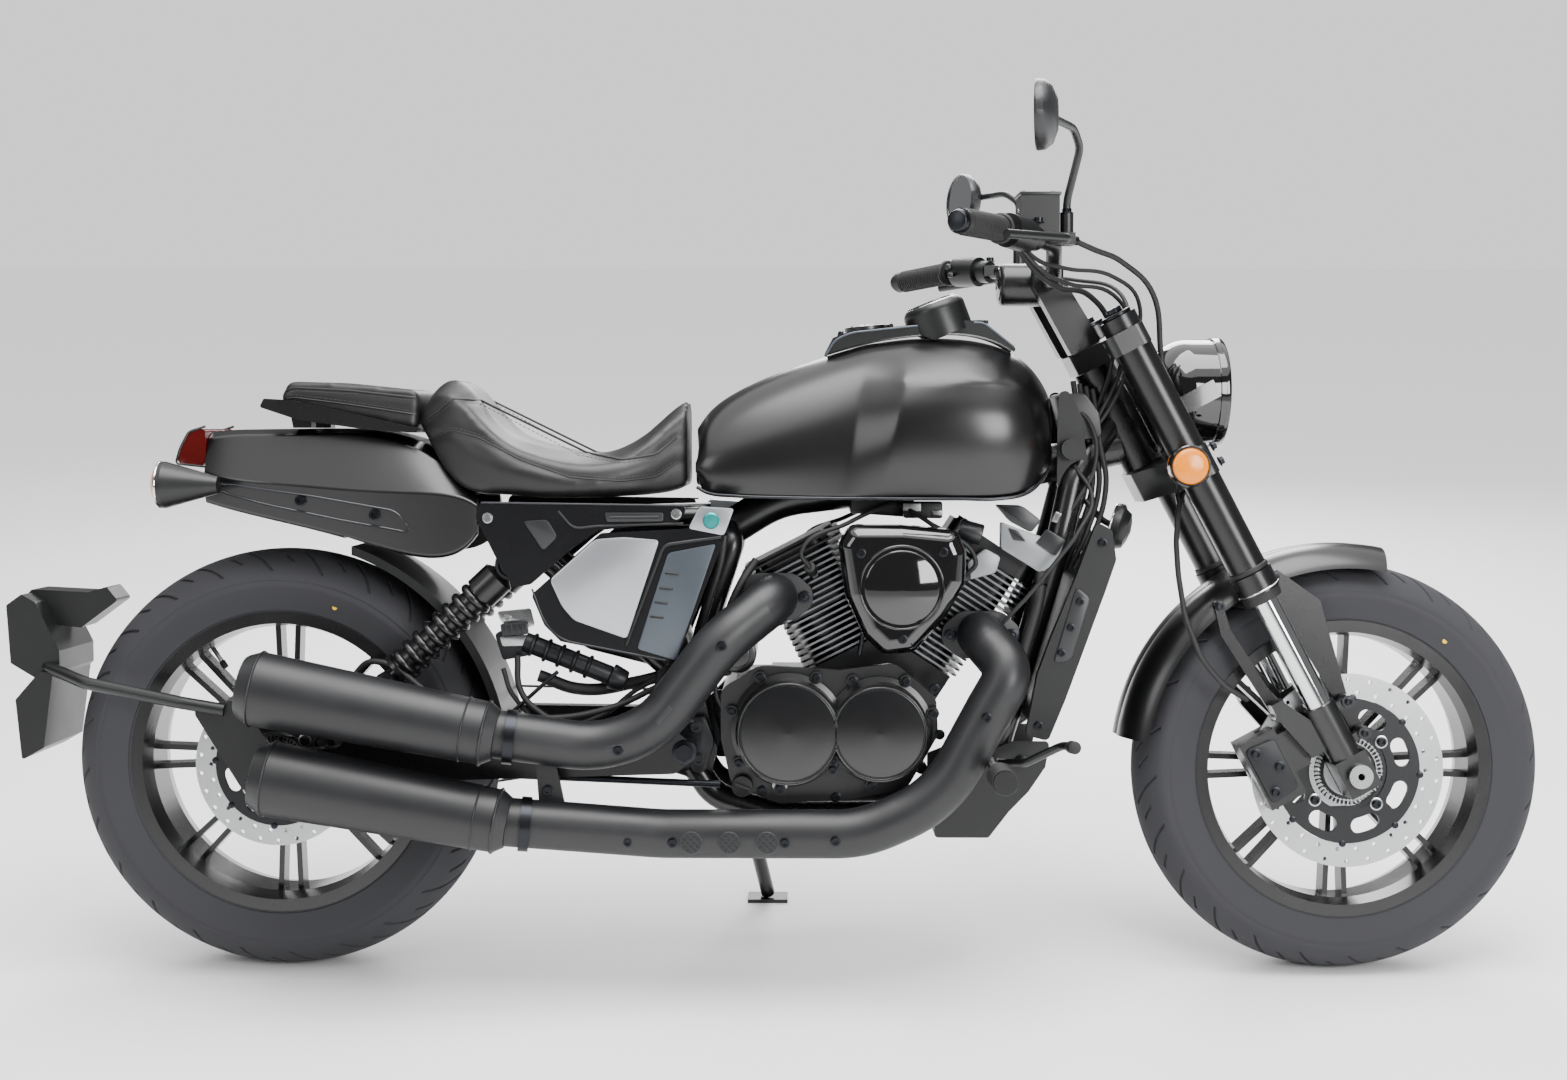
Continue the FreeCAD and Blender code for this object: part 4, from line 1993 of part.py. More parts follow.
def fork_tubes():
    outer, inner, holders = [], [], []
    for word, side in zip(("right", "left"), SIDES):
        y = side * d.fork_half
        foot, bore_radius = d.outer_tube_foot, d.inner_tube_radius + d.seat_gap
        body = pin_object(word + "_outer_tube", (0, y, foot), d.outer_tube_top - foot, d.outer_tube_radius,
                          UP)
        collar = pin_object(word + "_collar", (0, y, foot), d.collar_high, d.collar_radius, UP)
        bore = pin_object(word + "_tube_bore", (0, y, foot - d.overrun), d.fork_bore_deep + d.overrun,
                          bore_radius, UP)
        outer.append(lessened(word + "_fork_leg", merged(word + "_collared_tube", [body, collar]), bore))
        long = d.fork_bore_deep + foot - d.inner_tube_foot - d.inner_tube_gap
        inner.append(pin_object(word + "_inner_tube", (0, y, d.inner_tube_foot), long, d.inner_tube_radius,
                                UP))
        boss = pin_object(word + "_holder_boss", (0, y, d.holder_foot), d.inner_tube_foot - d.holder_foot,
                          d.holder_half, UP)
        socket = block_object(word + "_holder_socket", (-d.socket_half, y - d.holder_half, -d.socket_below),
                              2 * d.socket_half, 2 * d.holder_half, d.socket_high)
        half = d.web_thick / 2
        parts = [boss, socket, slab(word + "_holder_horn", spot(0, 0, d.horn_size, d.horn_size, HORN_SHARES),
                                    y - half, y + half, d.horn_corner)]
        for up in (d.upper_lug_up, d.lower_lug_up):
            parts.append(cross_pin(word + "_holder_lug", d.lug_ahead, up, y - d.lug_thick / 2,
                                   y + d.lug_thick / 2,
                                   d.lug_radius))
            parts.append(block_object(word + "_holder_web", (0, y - half, up - d.web_high / 2),
                                      d.lug_ahead, d.web_thick, d.web_high))
        bore = cross_pin(word + "_axle_bore", 0, 0, y - 2 * d.holder_half, y + 2 * d.holder_half,
                         d.axle_radius + d.seat_gap)
        holders.append(lessened(word + "_axle_holder", merged(word + "_holder_body", parts), bore))
    kept(grouped("fork_outer_tubes", outer), FORK)
    kept(grouped("fork_inner_tubes", inner), FORK)
    kept(grouped("axle_holders", holders), FORK)
    half = d.fork_half + d.holder_half + d.seat_gap + d.axle_nut_thick
    axle(half, FRONT_WHEEL, "front_axle")


def headlamp():
    rim, wall = d.lamp_radius, d.lamp_radius - d.lamp_rim_step
    straight, deep = d.lamp_long * 0.42, d.lamp_long * 0.58
    corners = [(0, 0), (0, rim), (-d.lamp_rim_deep, rim), (-d.lamp_rim_deep, wall), (-straight, wall)]
    places = [Vector(x, 0, z) for x, z in corners]
    edges = [Part.LineSegment(start, end).toShape() for start, end in zip(places, places[1:])]
    crown = [Vector(-straight - deep * math.sin(math.radians(t)), 0, wall * math.cos(math.radians(t)) ** 0.8)
             for t in (22, 45, 66, 82)]
    crown = [places[-1]] + crown
    spline = Part.BSplineCurve()
    spline.interpolate(crown)
    edges.append(spline.toShape())
    back = Vector(crown[-1].x, 0, 0)
    edges.append(Part.LineSegment(crown[-1], back).toShape())
    edges.append(Part.LineSegment(back, places[0]).toShape())
    body = Part.Face(Part.Wire(edges)).revolve(Vector(0, 0, 0), AHEAD, 360)
    body.translate(Vector(d.lamp_ahead, 0, d.lamp_up))
    fork = Placement(Vector(d.wheelbase, 0, d.front_radius), Rotation(ACROSS, -d.rake_angle))
    behind = Part.makeBox(4 * rim, 4 * rim, 6 * rim, Vector(-4 * rim, -2 * rim, d.lower_clamp_up - 2 * rim))
    behind.Placement = fork
    body = body.cut(behind)
    for side in SIDES:
        near = min(side * d.lamp_arm_side, side * (d.lamp_arm_side + d.lamp_arm_thick))
        arm = Part.makeBox(d.lamp_arm_long, d.lamp_arm_thick, d.lamp_arm_high,
                           Vector(d.lamp_arm_root, near, d.lamp_arm_up))
        arm.Placement = fork
        body = body.fuse(arm)
    node("headlamp", body.removeSplitter(), FRONT_END)


def front_indicators():
    cup = pin_object("right_indicator", (d.front_lamp_ahead, d.front_lamp_side + d.seat_gap, d.front_lamp_up),
                     d.front_lamp_long, d.front_lamp_radius)
    kept(paired("front_indicators", cup), FORK)


def half_bar(side, radius):
    """One half of the handlebar, from its middle to the end of its grip."""
    run = [(d.bar_clamp_ahead, 0, d.bar_clamp_up),
           (d.bar_clamp_ahead, side * d.bar_straight_half, d.bar_clamp_up),
           bar_knee(side),
           (d.grip_root_ahead, side * d.grip_root_half, d.grip_root_up),
           (d.grip_end_ahead, side * d.grip_end_half, d.grip_end_up)]
    return tube(run, d.bar_bend, radius)


def bar_knee(side):
    return d.bar_clamp_ahead - d.bar_knee_behind, side * d.bar_knee_half, d.bar_clamp_up + d.bar_knee_up


RISER_FOOT_SHARES = (0.883, 0.469)


def handlebar():
    parts = [half_bar(side, d.bar_radius) for side in SIDES]
    pod = Part.makeCylinder(d.meter_radius, d.meter_long, Vector(d.meter_ahead, 0, d.meter_up), AHEAD)
    back = [edge for edge in pod.Edges if edge.BoundBox.XMax < d.meter_ahead + d.weld_depth]
    parts.append(pod.makeFillet(d.meter_edge_radius, back))
    base_x, base_z = head_point(d.clamp_up + d.clamp_thick / 2 + d.seat_gap, -d.riser_behind)
    reach, rise = [d.riser_foot_half * share for share in RISER_FOOT_SHARES]
    head = d.riser_head_half
    outline = [(base_x - reach, base_z - rise), (base_x + reach, base_z + rise),
               (d.bar_clamp_ahead + head, d.bar_clamp_up + d.riser_head_step),
               (d.bar_clamp_ahead, d.bar_clamp_up + head),
               (d.bar_clamp_ahead - head, d.bar_clamp_up - d.riser_head_drop)]
    for side in SIDES:
        y = side * d.riser_side
        parts.append(plate(outline, y - d.riser_half, y + d.riser_half, d.riser_corner))
    node("handlebar", joined(parts), FRONT_END)


def brake_hose():
    """The hose from the lower clamp to the caliper, behind the right fork leg."""
    x, z = head_point(d.lower_clamp_up - d.lower_clamp_thick / 2 - d.hose_radius, d.fork_offset * 0.6)
    route = [(x, -62, z), (1292, -68, 672), (1286, -84, 628), (1286, -98, 584), (1294, -105, 526),
             (1318, -106, 464),
             (1354, -100, 424), (1390, -86, 404)]
    node("brake_hose", tube(route, d.hose_bend, d.hose_radius), FRONT_END)


def grip_line(side):
    """The grip's root and end on one side."""
    root = Vector(d.grip_root_ahead, side * d.grip_root_half, d.grip_root_up)
    end = Vector(d.grip_end_ahead, side * d.grip_end_half, d.grip_end_up)
    return root, end


def bar_grips():
    parts = []
    for side in SIDES:
        root, end = grip_line(side)
        out = end - root
        out.normalize()
        start = root + out * d.grip_gap
        long = (end - start).Length
        grip = Part.makeCylinder(d.grip_radius, long + d.grip_cap, start, out)
        bore = Part.makeCylinder(d.bar_radius + d.seat_gap, long + d.weld_depth + 2 * d.seat_gap,
                                 start - out * d.weld_depth, out)
        parts.append(grip.cut(bore))
    node("grips", apart(parts), FRONT_END)


def mirror_boss(side):
    """The foot of the boss that carries a mirror's stem."""
    return Vector(d.bar_clamp_ahead - d.boss_behind, side * d.perch_side, d.bar_clamp_up + d.boss_above)


def bar_controls():
    parts = []
    for side in SIDES:
        root, end = grip_line(side)
        way = Vector(*bar_knee(side)) - root
        way.normalize()
        housing = Part.makeCylinder(d.housing_radius, d.housing_long, root + way * d.housing_gap, way)
        clamp = Part.makeCylinder(d.perch_clamp_radius, d.perch_clamp_long, root + way * d.perch_clamp_gap,
                                  way)
        perch = Part.makeBox(d.perch_long, d.perch_wide, d.perch_high,
                             Vector(d.bar_clamp_ahead - d.perch_behind,
                                    side * d.perch_side - d.perch_wide / 2,
                                    d.bar_clamp_up + d.perch_above))
        boss = Part.makeCylinder(d.boss_radius, d.boss_high, mirror_boss(side))
        start = root + way * d.lever_gap + AHEAD * d.lever_ahead
        knee = start + Vector(d.lever_knee_ahead, side * d.lever_knee_out, -d.lever_knee_drop)
        tip = end + Vector(d.lever_tip_ahead, -side * d.lever_tip_in, -d.lever_tip_drop)
        lever = tube([tuple(start), tuple(knee), tuple(tip)], d.lever_bend, d.lever_radius)
        piece = joined([housing, clamp, perch, boss, lever])
        if side == RIGHT:
            box = Part.makeBox(d.switch_box_long, d.switch_box_wide, d.switch_box_long,
                               Vector(d.bar_clamp_ahead - d.switch_box_behind, -d.switch_box_side,
                                      d.bar_clamp_up + d.switch_box_above))
            piece = joined([piece, box])
        parts.append(piece.cut(half_bar(side, d.bar_radius + d.seat_gap)))
    node("bar_controls", apart(parts), FRONT_END)


MIRROR_SHELL_SHARES = ((0, 1.0), (0.35, 0.97), (0.75, 0.8), (1.0, 0.45))
MIRROR_STEM_SHARES = [(0.0, 0.0, 0.0), (0.0, 0.0, 0.177), (0.08, 0.53, 0.797), (-0.08, 0.91, 0.997),
                      (-0.52, 1.63, 1.017)]


def mirrors():
    parts = []
    upright = Rotation(Vector(0, 1, 0), Vector(0, 0, 1), Vector(1, 0, 0))
    for side in SIDES:
        rings = []
        for deep, share in MIRROR_SHELL_SHARES:
            oval = Part.Ellipse(Vector(0, 0, 0), d.mirror_wide / 2 * share,
                                d.mirror_high / 2 * share).toShape()
            oval.Placement = Placement(Vector(d.mirror_thick * deep, 0, 0), upright)
            rings.append(Part.Wire(oval))
        shell = Part.makeLoft(rings, True, False)
        face = Vector(d.mirror_ahead - d.mirror_face_behind, side * d.mirror_half, d.mirror_up)
        shell.Placement = Placement(face, Rotation(UP, side * -d.mirror_turn))
        foot = mirror_boss(side) + UP * (d.boss_high + d.seat_gap)
        size = d.mirror_stem_long
        stem = tube([tuple(foot + Vector(size * a, side * size * out, size * up))
                     for a, out, up in MIRROR_STEM_SHARES], d.mirror_stem_bend, d.mirror_stem_radius)
        parts.append(joined([shell, stem]))
    node("mirrors", apart(parts), FRONT_END)


def front_fender():
    half, outer, wall = d.fender_half, d.fender_radius, d.fender_wall
    edge = outer - d.fender_skirt
    bend, crest = half * 0.72, outer - d.fender_shoulder
    arcs = [
        Part.Arc(Vector(0, -half, edge), Vector(0, -bend, crest), Vector(0, 0, outer)),
        Part.Arc(Vector(0, 0, outer), Vector(0, bend, crest), Vector(0, half, edge)),
        Part.LineSegment(Vector(0, half, edge), Vector(0, half - wall, edge)),
        Part.Arc(Vector(0, half - wall, edge), Vector(0, bend - wall, crest - wall),
                 Vector(0, 0, outer - wall)),
        Part.Arc(Vector(0, 0, outer - wall), Vector(0, wall - bend, crest - wall),
                 Vector(0, wall - half, edge)),
        Part.LineSegment(Vector(0, wall - half, edge), Vector(0, -half, edge)),
    ]
    face = Part.Face(Part.Wire([arc.toShape() for arc in arcs]))
    face.rotate(Vector(0, 0, 0), ACROSS, 90 - d.fender_front_angle)
    shell = face.revolve(Vector(0, 0, 0), ACROSS * -1, d.fender_rear_angle - d.fender_front_angle)
    node("front_fender", shell, FRONT_WHEEL)


FRONT_BRACKET_SHARES = [(0.27, 1.54), (0.41, 1.54), (0.76, 1.2), (0.47, 0.49), (0.47, 0.19), (0.3, 0.19),
                        (0.29, 0.5), (0.2, 1.2)]
REAR_BRACKET_SHARES = [(-0.5, 1.53), (-0.62, 1.53), (-0.74, 1.31), (-0.62, 0.64), (-0.46, 0.64),
                       (-0.58, 1.31)]
BRACKET_PAD_SHARES = [(0.34, 1.5), (-0.56, 1.5)]
BRACKET_TAB_SHARES = [(-0.62, 0.64)]


def fender_brackets():
    def places(shares):
        return spot(0, 0, d.bracket_long, d.bracket_high, shares)
    near, far = d.bracket_side, d.bracket_side + d.bracket_thick
    front = slab("front_bracket", places(FRONT_BRACKET_SHARES), near, far, d.bracket_corner)
    rear = slab("rear_bracket", places(REAR_BRACKET_SHARES), near, far, d.bracket_corner)
    pads = [cross_pin("bracket_pad", x, z, d.fender_half + d.seat_gap, near + d.seat_gap,
                      d.bracket_pad_radius)
            for x, z in places(BRACKET_PAD_SHARES)]
    lug_end = d.fork_half - d.lug_thick / 2 - d.seat_gap
    lugs = [cross_pin("bracket_lug", d.lug_ahead, up, far, lug_end, d.bracket_lug_radius)
            for up in (d.upper_lug_up, d.lower_lug_up)]
    tab_x, tab_z = places(BRACKET_TAB_SHARES)[0]
    tab_end = d.fork_half - d.web_thick / 2 - d.seat_gap
    tab = block_object("bracket_tab", (tab_x, far, tab_z), d.bracket_tab_long, tab_end - far,
                       d.bracket_tab_high)
    left = grouped("left_brackets", [merged("left_front_bracket", [front, pads[0]] + lugs),
                                     merged("left_rear_bracket", [rear, tab, pads[1]])])
    kept(paired("fender_brackets", left), FORK)


def front_caliper():
    body = block_object("front_caliper_body",
                        (-d.front_caliper_rear, -d.front_caliper_outer, d.front_caliper_foot),
                        d.front_caliper_long, d.front_caliper_wide, d.front_caliper_high)
    slot = cross_pin("front_caliper_slot", 0, 0, -d.disc_side - d.caliper_slot_half,
                     -d.disc_side + d.caliper_slot_half, d.front_disc_radius + d.caliper_clear)
    ear_side = -d.fork_half + d.web_thick / 2 + d.seat_gap
    arm = block_object("front_caliper_arm", (-d.caliper_arm_rear, ear_side, d.caliper_arm_up),
                       d.caliper_arm_long, d.caliper_arm_thick, d.caliper_arm_high)
    kept(merged("front_caliper", [lessened("front_caliper_slotted", body, slot), arm]), FORK)


# Build

def build():
    wheels()
    rear_sprocket()
    drive_chain()
    swingarm()
    node("shock_absorbers", apart([shock_absorber(side) for side in SIDES]))
    main_frame()
    rear_subframe()
    crankcase()
    covers()
    cylinder("rear_cylinder", -d.rear_bank, d.rear_rocker_high)
    cylinder("front_cylinder", d.front_bank, d.rocker_high)
    air_cleaner()
    exhausts()
    fuel_tank()
    tank_fittings()
    rider_seat()
    pillion_seat()
    grab_rack()
    tail_fairing()
    rear_indicators()
    side_panels()
    rear_hugger()
    plate_holder()
    radiator()
    neck_covers()
    engine_guard()
    foot_controls()
    rear_caliper()
    side_stand()
    triple_clamps()
    fork_tubes()
    headlamp()
    front_indicators()
    handlebar()
    bar_grips()
    bar_controls()
    brake_hose()
    mirrors()
    front_fender()
    fender_brackets()
    front_caliper()


def check():
    DOC.recompute()
    for piece in DOC.Objects:
        if "Invalid" in piece.State or "Error" in piece.State:
            raise RuntimeError("%s didn't compute: %s" % (piece.Label, piece.State))
    for piece in NODES:
        if piece.Shape.isNull() or not piece.Shape.isValid():
            raise RuntimeError("%s has no valid shape" % piece.Label)


def export():
    os.makedirs("parts", exist_ok=True)
    for piece in NODES:
        piece.Shape.exportStep("parts/%s.step" % piece.Label)


build()
check()
export()
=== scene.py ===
"""A low black V-twin cruiser motorcycle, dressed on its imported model."""
import logging
import math
from dataclasses import dataclass, field
from enum import Enum
from typing import Iterable, Sequence

import bmesh
import bpy
from mathutils import Matrix, Vector, noise


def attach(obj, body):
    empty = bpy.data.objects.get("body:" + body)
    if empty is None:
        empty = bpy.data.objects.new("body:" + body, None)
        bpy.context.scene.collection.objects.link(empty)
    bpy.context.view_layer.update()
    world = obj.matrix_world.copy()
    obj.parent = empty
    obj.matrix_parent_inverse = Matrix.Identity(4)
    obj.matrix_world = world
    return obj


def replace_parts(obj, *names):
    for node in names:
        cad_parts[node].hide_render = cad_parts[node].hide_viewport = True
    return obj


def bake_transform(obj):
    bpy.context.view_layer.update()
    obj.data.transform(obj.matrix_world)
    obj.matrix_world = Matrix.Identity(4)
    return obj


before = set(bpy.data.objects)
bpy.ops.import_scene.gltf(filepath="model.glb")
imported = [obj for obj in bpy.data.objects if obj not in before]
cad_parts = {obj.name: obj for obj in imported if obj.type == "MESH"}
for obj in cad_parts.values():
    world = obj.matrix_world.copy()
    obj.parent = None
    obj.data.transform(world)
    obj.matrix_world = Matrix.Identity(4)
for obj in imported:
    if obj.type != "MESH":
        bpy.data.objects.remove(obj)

LOG = logging.getLogger("cruiser")
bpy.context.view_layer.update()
Point = Sequence[float]
Flat = Sequence[tuple[float, float]]
Run = Sequence[Point]

MILLIMETRE = 0.001
LEAN_DEG = 7.0
TURN_DEG = 3.0
RAKE_DEG = 28.0
WHEELBASE = 1541.0
STEER_OFFSET = 49.8
FRONT_RADIUS = 299.0
REAR_RADIUS = 308.0
SIDES = (1, -1)
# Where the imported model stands, against the upright machine over its rear wheel.
SETTLE_MM = (-724.4, -144.6, 0.656)
PITCH_DEG = 0.0222
# How far a piece that is laid on is let into its base.
SUNK = 0.4


def stance() -> Matrix:
    """Returns the leaning machine's frame, in metres, for points in millimetres."""
    scale = Matrix.Scale(MILLIMETRE, 4)
    settle = Matrix.Translation(SETTLE_MM)
    pitch = Matrix.Rotation(math.radians(PITCH_DEG), 4, "Y")
    lean = Matrix.Rotation(math.radians(-LEAN_DEG), 4, "X")
    return scale @ settle @ pitch @ lean


def turned_front() -> Matrix:
    """Returns the front end's frame, turned about the steering head."""
    rake = math.radians(RAKE_DEG)
    axis = Vector((-math.sin(rake), 0, math.cos(rake)))
    foot = Matrix.Translation((WHEELBASE - STEER_OFFSET, 0, FRONT_RADIUS))
    turn = Matrix.Rotation(math.radians(TURN_DEG), 4, axis)
    return stance() @ foot @ turn @ foot.inverted()


class Place(Enum):
    """The frames in which pieces are drawn, each in millimetres."""

    MACHINE = "machine"
    FRONT_END = "front end"
    FORK = "fork"
    FRONT_WHEEL = "front wheel"
    REAR_WHEEL = "rear wheel"

    def matrix(self) -> Matrix:
        """Returns the matrix from this frame to the world."""
        if self is Place.MACHINE:
            return stance()
        if self is Place.REAR_WHEEL:
            return stance() @ Matrix.Translation((0, 0, REAR_RADIUS))
        if self is Place.FRONT_END:
            return turned_front()
        hub = turned_front() @ Matrix.Translation((WHEELBASE, 0, FRONT_RADIUS))
        if self is Place.FRONT_WHEEL:
            return hub
        return hub @ Matrix.Rotation(math.radians(-RAKE_DEG), 4, "Y")


# Finishes

def linear(code: str) -> tuple[float, float, float, float]:
    """Turns an sRGB hex colour into linear values.

    Args:
        code: Six hex digits.

    Returns:
        Red, green, blue and an alpha of one.
    """
    parts = [int(code[i:i + 2], 16) / 255 for i in (0, 2, 4)]
    flat = [c / 12.92 if c <= 0.04045 else ((c + 0.055) / 1.055) ** 2.4 for c in parts]
    return (flat[0], flat[1], flat[2], 1.0)


def add_node(tree: bpy.types.NodeTree, kind: str, inputs: dict | None = None, **settings) -> bpy.types.Node:
    """Adds one shader node.

    Args:
        tree: The material's node tree.
        kind: The node's type name.
        inputs: Values or sockets for its inputs, by name or number.
        settings: Properties of the node.

    Returns:
        The new node.
    """
    node = tree.nodes.new(kind)
    for key, value in settings.items():
        setattr(node, key, value)
    for key, value in (inputs or {}).items():
        if isinstance(value, bpy.types.NodeSocket):
            tree.links.new(value, node.inputs[key])
        else:
            node.inputs[key].default_value = value
    return node


@dataclass(frozen=True)
class Finish:
    """A surface: its colour, its gloss, and a grain that varies both."""

    name: str
    colour: str
    shade: str
    metallic: float = 0.0
    roughness: float = 0.4
    spread: float = 0.08
    grain_mm: float = 1.0
    bump_mm: float = 0.02
    coat: float = 0.0
    coat_roughness: float = 0.1
    ior: float = 1.5
    stretch: tuple[float, float, float] = (1.0, 1.0, 1.0)

    def pattern(self, tree: bpy.types.NodeTree) -> bpy.types.NodeSocket:
        """Returns the grain's height, from 0 to 1."""
        where = add_node(tree, "ShaderNodeTexCoord").outputs["Object"]
        scaled = add_node(tree, "ShaderNodeMapping", {"Vector": where, "Scale": self.stretch})
        fine = add_node(tree, "ShaderNodeTexNoise", {
            "Vector": scaled.outputs["Vector"], "Scale": 1 / (self.grain_mm * MILLIMETRE),
            "Detail": 3.0, "Roughness": 0.6})
        return fine.outputs["Fac"]

    def mottle(self, tree: bpy.types.NodeTree) -> bpy.types.NodeSocket:
        """Returns broad handling marks and dust, from 0 to 1."""
        where = add_node(tree, "ShaderNodeTexCoord").outputs["Object"]
        broad = add_node(tree, "ShaderNodeTexNoise", {
            "Vector": where, "Scale": 9.0, "Detail": 4.0, "Roughness": 0.62})
        return broad.outputs["Fac"]

    def build(self) -> bpy.types.Material:
        """Returns this finish's material, made once."""
        found = bpy.data.materials.get(self.name)
        if found:
            return found
        material = bpy.data.materials.new(self.name)
        material.use_nodes = True
        tree = material.node_tree
        shader = tree.nodes["Principled BSDF"]
        height, broad = self.pattern(tree), self.mottle(tree)
        both = add_node(tree, "ShaderNodeMath", {0: height, 1: broad}, operation="MULTIPLY")
        tint = add_node(tree, "ShaderNodeMix", {
            "Factor": both.outputs[0], "A": linear(self.colour), "B": linear(self.shade)}, data_type="RGBA")
        gloss = add_node(tree, "ShaderNodeMapRange", {
            "Value": broad, "To Min": max(self.roughness - self.spread, 0.02),
            "To Max": min(self.roughness + self.spread, 1.0)})
        bump = add_node(tree, "ShaderNodeBump", {
            "Height": height, "Distance": self.bump_mm * MILLIMETRE, "Strength": 1.0})
        tree.links.new(tint.outputs["Result"], shader.inputs["Base Color"])
        tree.links.new(gloss.outputs["Result"], shader.inputs["Roughness"])
        tree.links.new(bump.outputs["Normal"], shader.inputs["Normal"])
        shader.inputs["Metallic"].default_value = self.metallic
        shader.inputs["Coat Weight"].default_value = self.coat
        shader.inputs["Coat Roughness"].default_value = self.coat_roughness
        if not self.metallic:
            shader.inputs["IOR"].default_value = self.ior
        self.finish_off(tree, shader, height)
        return material

    def finish_off(self, tree: bpy.types.NodeTree, shader: bpy.types.Node,
                   height: bpy.types.NodeSocket) -> None:
        """Adds what only one kind of finish has."""


@dataclass(frozen=True)
class Lens(Finish):
    """Moulded clear plastic that light passes through."""

    passes: float = 0.8
    glow: float = 0.0

    def finish_off(self, tree: bpy.types.NodeTree, shader: bpy.types.Node,
                   height: bpy.types.NodeSocket) -> None:
        """Lets light through, with a little light of its own."""
        shader.inputs["Transmission Weight"].default_value = self.passes
        shader.inputs["Emission Color"].default_value = linear(self.colour)
        shader.inputs["Emission Strength"].default_value = self.glow


# Satin acrylic enamel on pressed steel: soft, slightly grey highlights.
TANK_PAINT = Finish("satin_black_enamel", "050506", "0b0b0d", roughness=0.3, spread=0.04, grain_mm=0.5,
                    bump_mm=0.003, coat=0.2, coat_roughness=0.2)
# The same enamel polished: clear reflections on the cleaner's cover.
GLOSS_PAINT = Finish("gloss_black_enamel", "050506", "0a0a0c", roughness=0.08, spread=0.03, grain_mm=2.0,
                     bump_mm=0.002, coat=0.8, coat_roughness=0.03)
# Powder coat on tube: fine orange peel with a broad sheen.
POWDER_COAT = Finish("black_powder_coat", "0a0a0b", "131315", roughness=0.28, spread=0.06, grain_mm=1.2,
                     bump_mm=0.02)
# Baked engine enamel over sand-cast aluminium.
ENGINE_ENAMEL = Finish("engine_enamel_on_casting", "0c0c0d", "17181a", roughness=0.34, spread=0.08,
                       grain_mm=0.9, bump_mm=0.05, coat=0.2, coat_roughness=0.2)
# The same enamel rubbed smooth on the two round covers.
COVER_ENAMEL = Finish("smooth_engine_enamel", "0b0b0c", "121315", roughness=0.2, spread=0.05, grain_mm=1.4,
                      bump_mm=0.006, coat=0.3, coat_roughness=0.12)
# Heat-proof silicone paint on steel: dead flat with a dusty bloom.
EXHAUST_PAINT = Finish("heat_proof_silicone_paint", "101012", "1d1e20", roughness=0.44, spread=0.1,
                       grain_mm=1.4, bump_mm=0.03)
# Painted cast alloy of the wheels and clamps.
WHEEL_PAINT = Finish("black_alloy_enamel", "09090a", "121315", roughness=0.26, spread=0.07, grain_mm=1.0,
                     bump_mm=0.02, coat=0.2)
# Carbon-black rubber with a matt moulded skin.
TYRE_RUBBER = Finish("tyre_rubber", "060607", "0d0d0e", roughness=0.62, spread=0.12, ior=1.32, grain_mm=0.9,
                     bump_mm=0.08)
# Softer moulded rubber of grips, hoses and boots.
SOFT_RUBBER = Finish("moulded_epdm_rubber", "0d0d0e", "19191a", roughness=0.6, spread=0.1, grain_mm=0.6,
                     bump_mm=0.05)
# Injection-moulded ABS with a spark-eroded grain.
GRAINED_ABS = Finish("grained_abs", "060708", "0e0f10", roughness=0.4, spread=0.08, grain_mm=0.7,
                     bump_mm=0.04)
# ABS painted gunmetal with metallic flake.
GUNMETAL_ABS = Finish("gunmetal_flake_paint_on_abs", "4a5057", "5c636b", metallic=0.5, roughness=0.32,
                      spread=0.06, grain_mm=0.35, bump_mm=0.006)
# Ground stainless steel of the brake rings.
DISC_STEEL = Finish("ground_stainless_steel", "c9cacb", "9fa1a3", metallic=1.0, roughness=0.3, spread=0.08,
                    grain_mm=0.8, bump_mm=0.02)
# Bright zinc plate on bolts and axle ends.
ZINC_PLATE = Finish("bright_zinc_plate", "b4b5b6", "7f8183", metallic=1.0, roughness=0.28, spread=0.1,
                    grain_mm=0.8, bump_mm=0.02)
# Blackened steel bolts with an oily sheen.
BLACK_OXIDE = Finish("black_oxide_steel", "2a2b2e", "3a3c40", metallic=1.0, roughness=0.32, spread=0.08,
                     grain_mm=0.8, bump_mm=0.01)
# Black anodised alloy of the disc carriers.
CARRIER_ANODISE = Finish("black_anodised_carrier", "131416", "1c1d20", metallic=0.3, roughness=0.36,
                         spread=0.06,
                         grain_mm=0.7, bump_mm=0.006)
# Black moulded covers under the seat, polished but not glossy.
COVER_ABS = Finish("polished_black_abs", "0a0a0c", "111215", roughness=0.22, spread=0.05, grain_mm=1.2,
                   bump_mm=0.004)
# Bright silver paint on the covers' raised fields.
SILVER_ABS = Finish("silver_flake_paint_on_abs", "a9acb1", "bdc0c4", metallic=0.75, roughness=0.3,
                    spread=0.05,
                    grain_mm=0.6, bump_mm=0.006)
# Hard chrome on the fork's inner tubes.
HARD_CHROME = Finish("hard_chrome", "e2e3e5", "cfd1d3", metallic=1.0, roughness=0.06, spread=0.03,
                     grain_mm=3.0, bump_mm=0.001)
# Embossed PVC seat cover with a leather grain.
SEAT_VINYL = Finish("embossed_pvc_leathercloth", "0e0e0f", "18181a", roughness=0.44, spread=0.07,
                    grain_mm=1.1, bump_mm=0.12)
# Machined edges of the cylinder fins.
FIN_METAL = Finish("machined_alloy_edge", "9b9da0", "6d6f72", metallic=1.0, roughness=0.3, spread=0.1,
                   grain_mm=0.7, bump_mm=0.02)
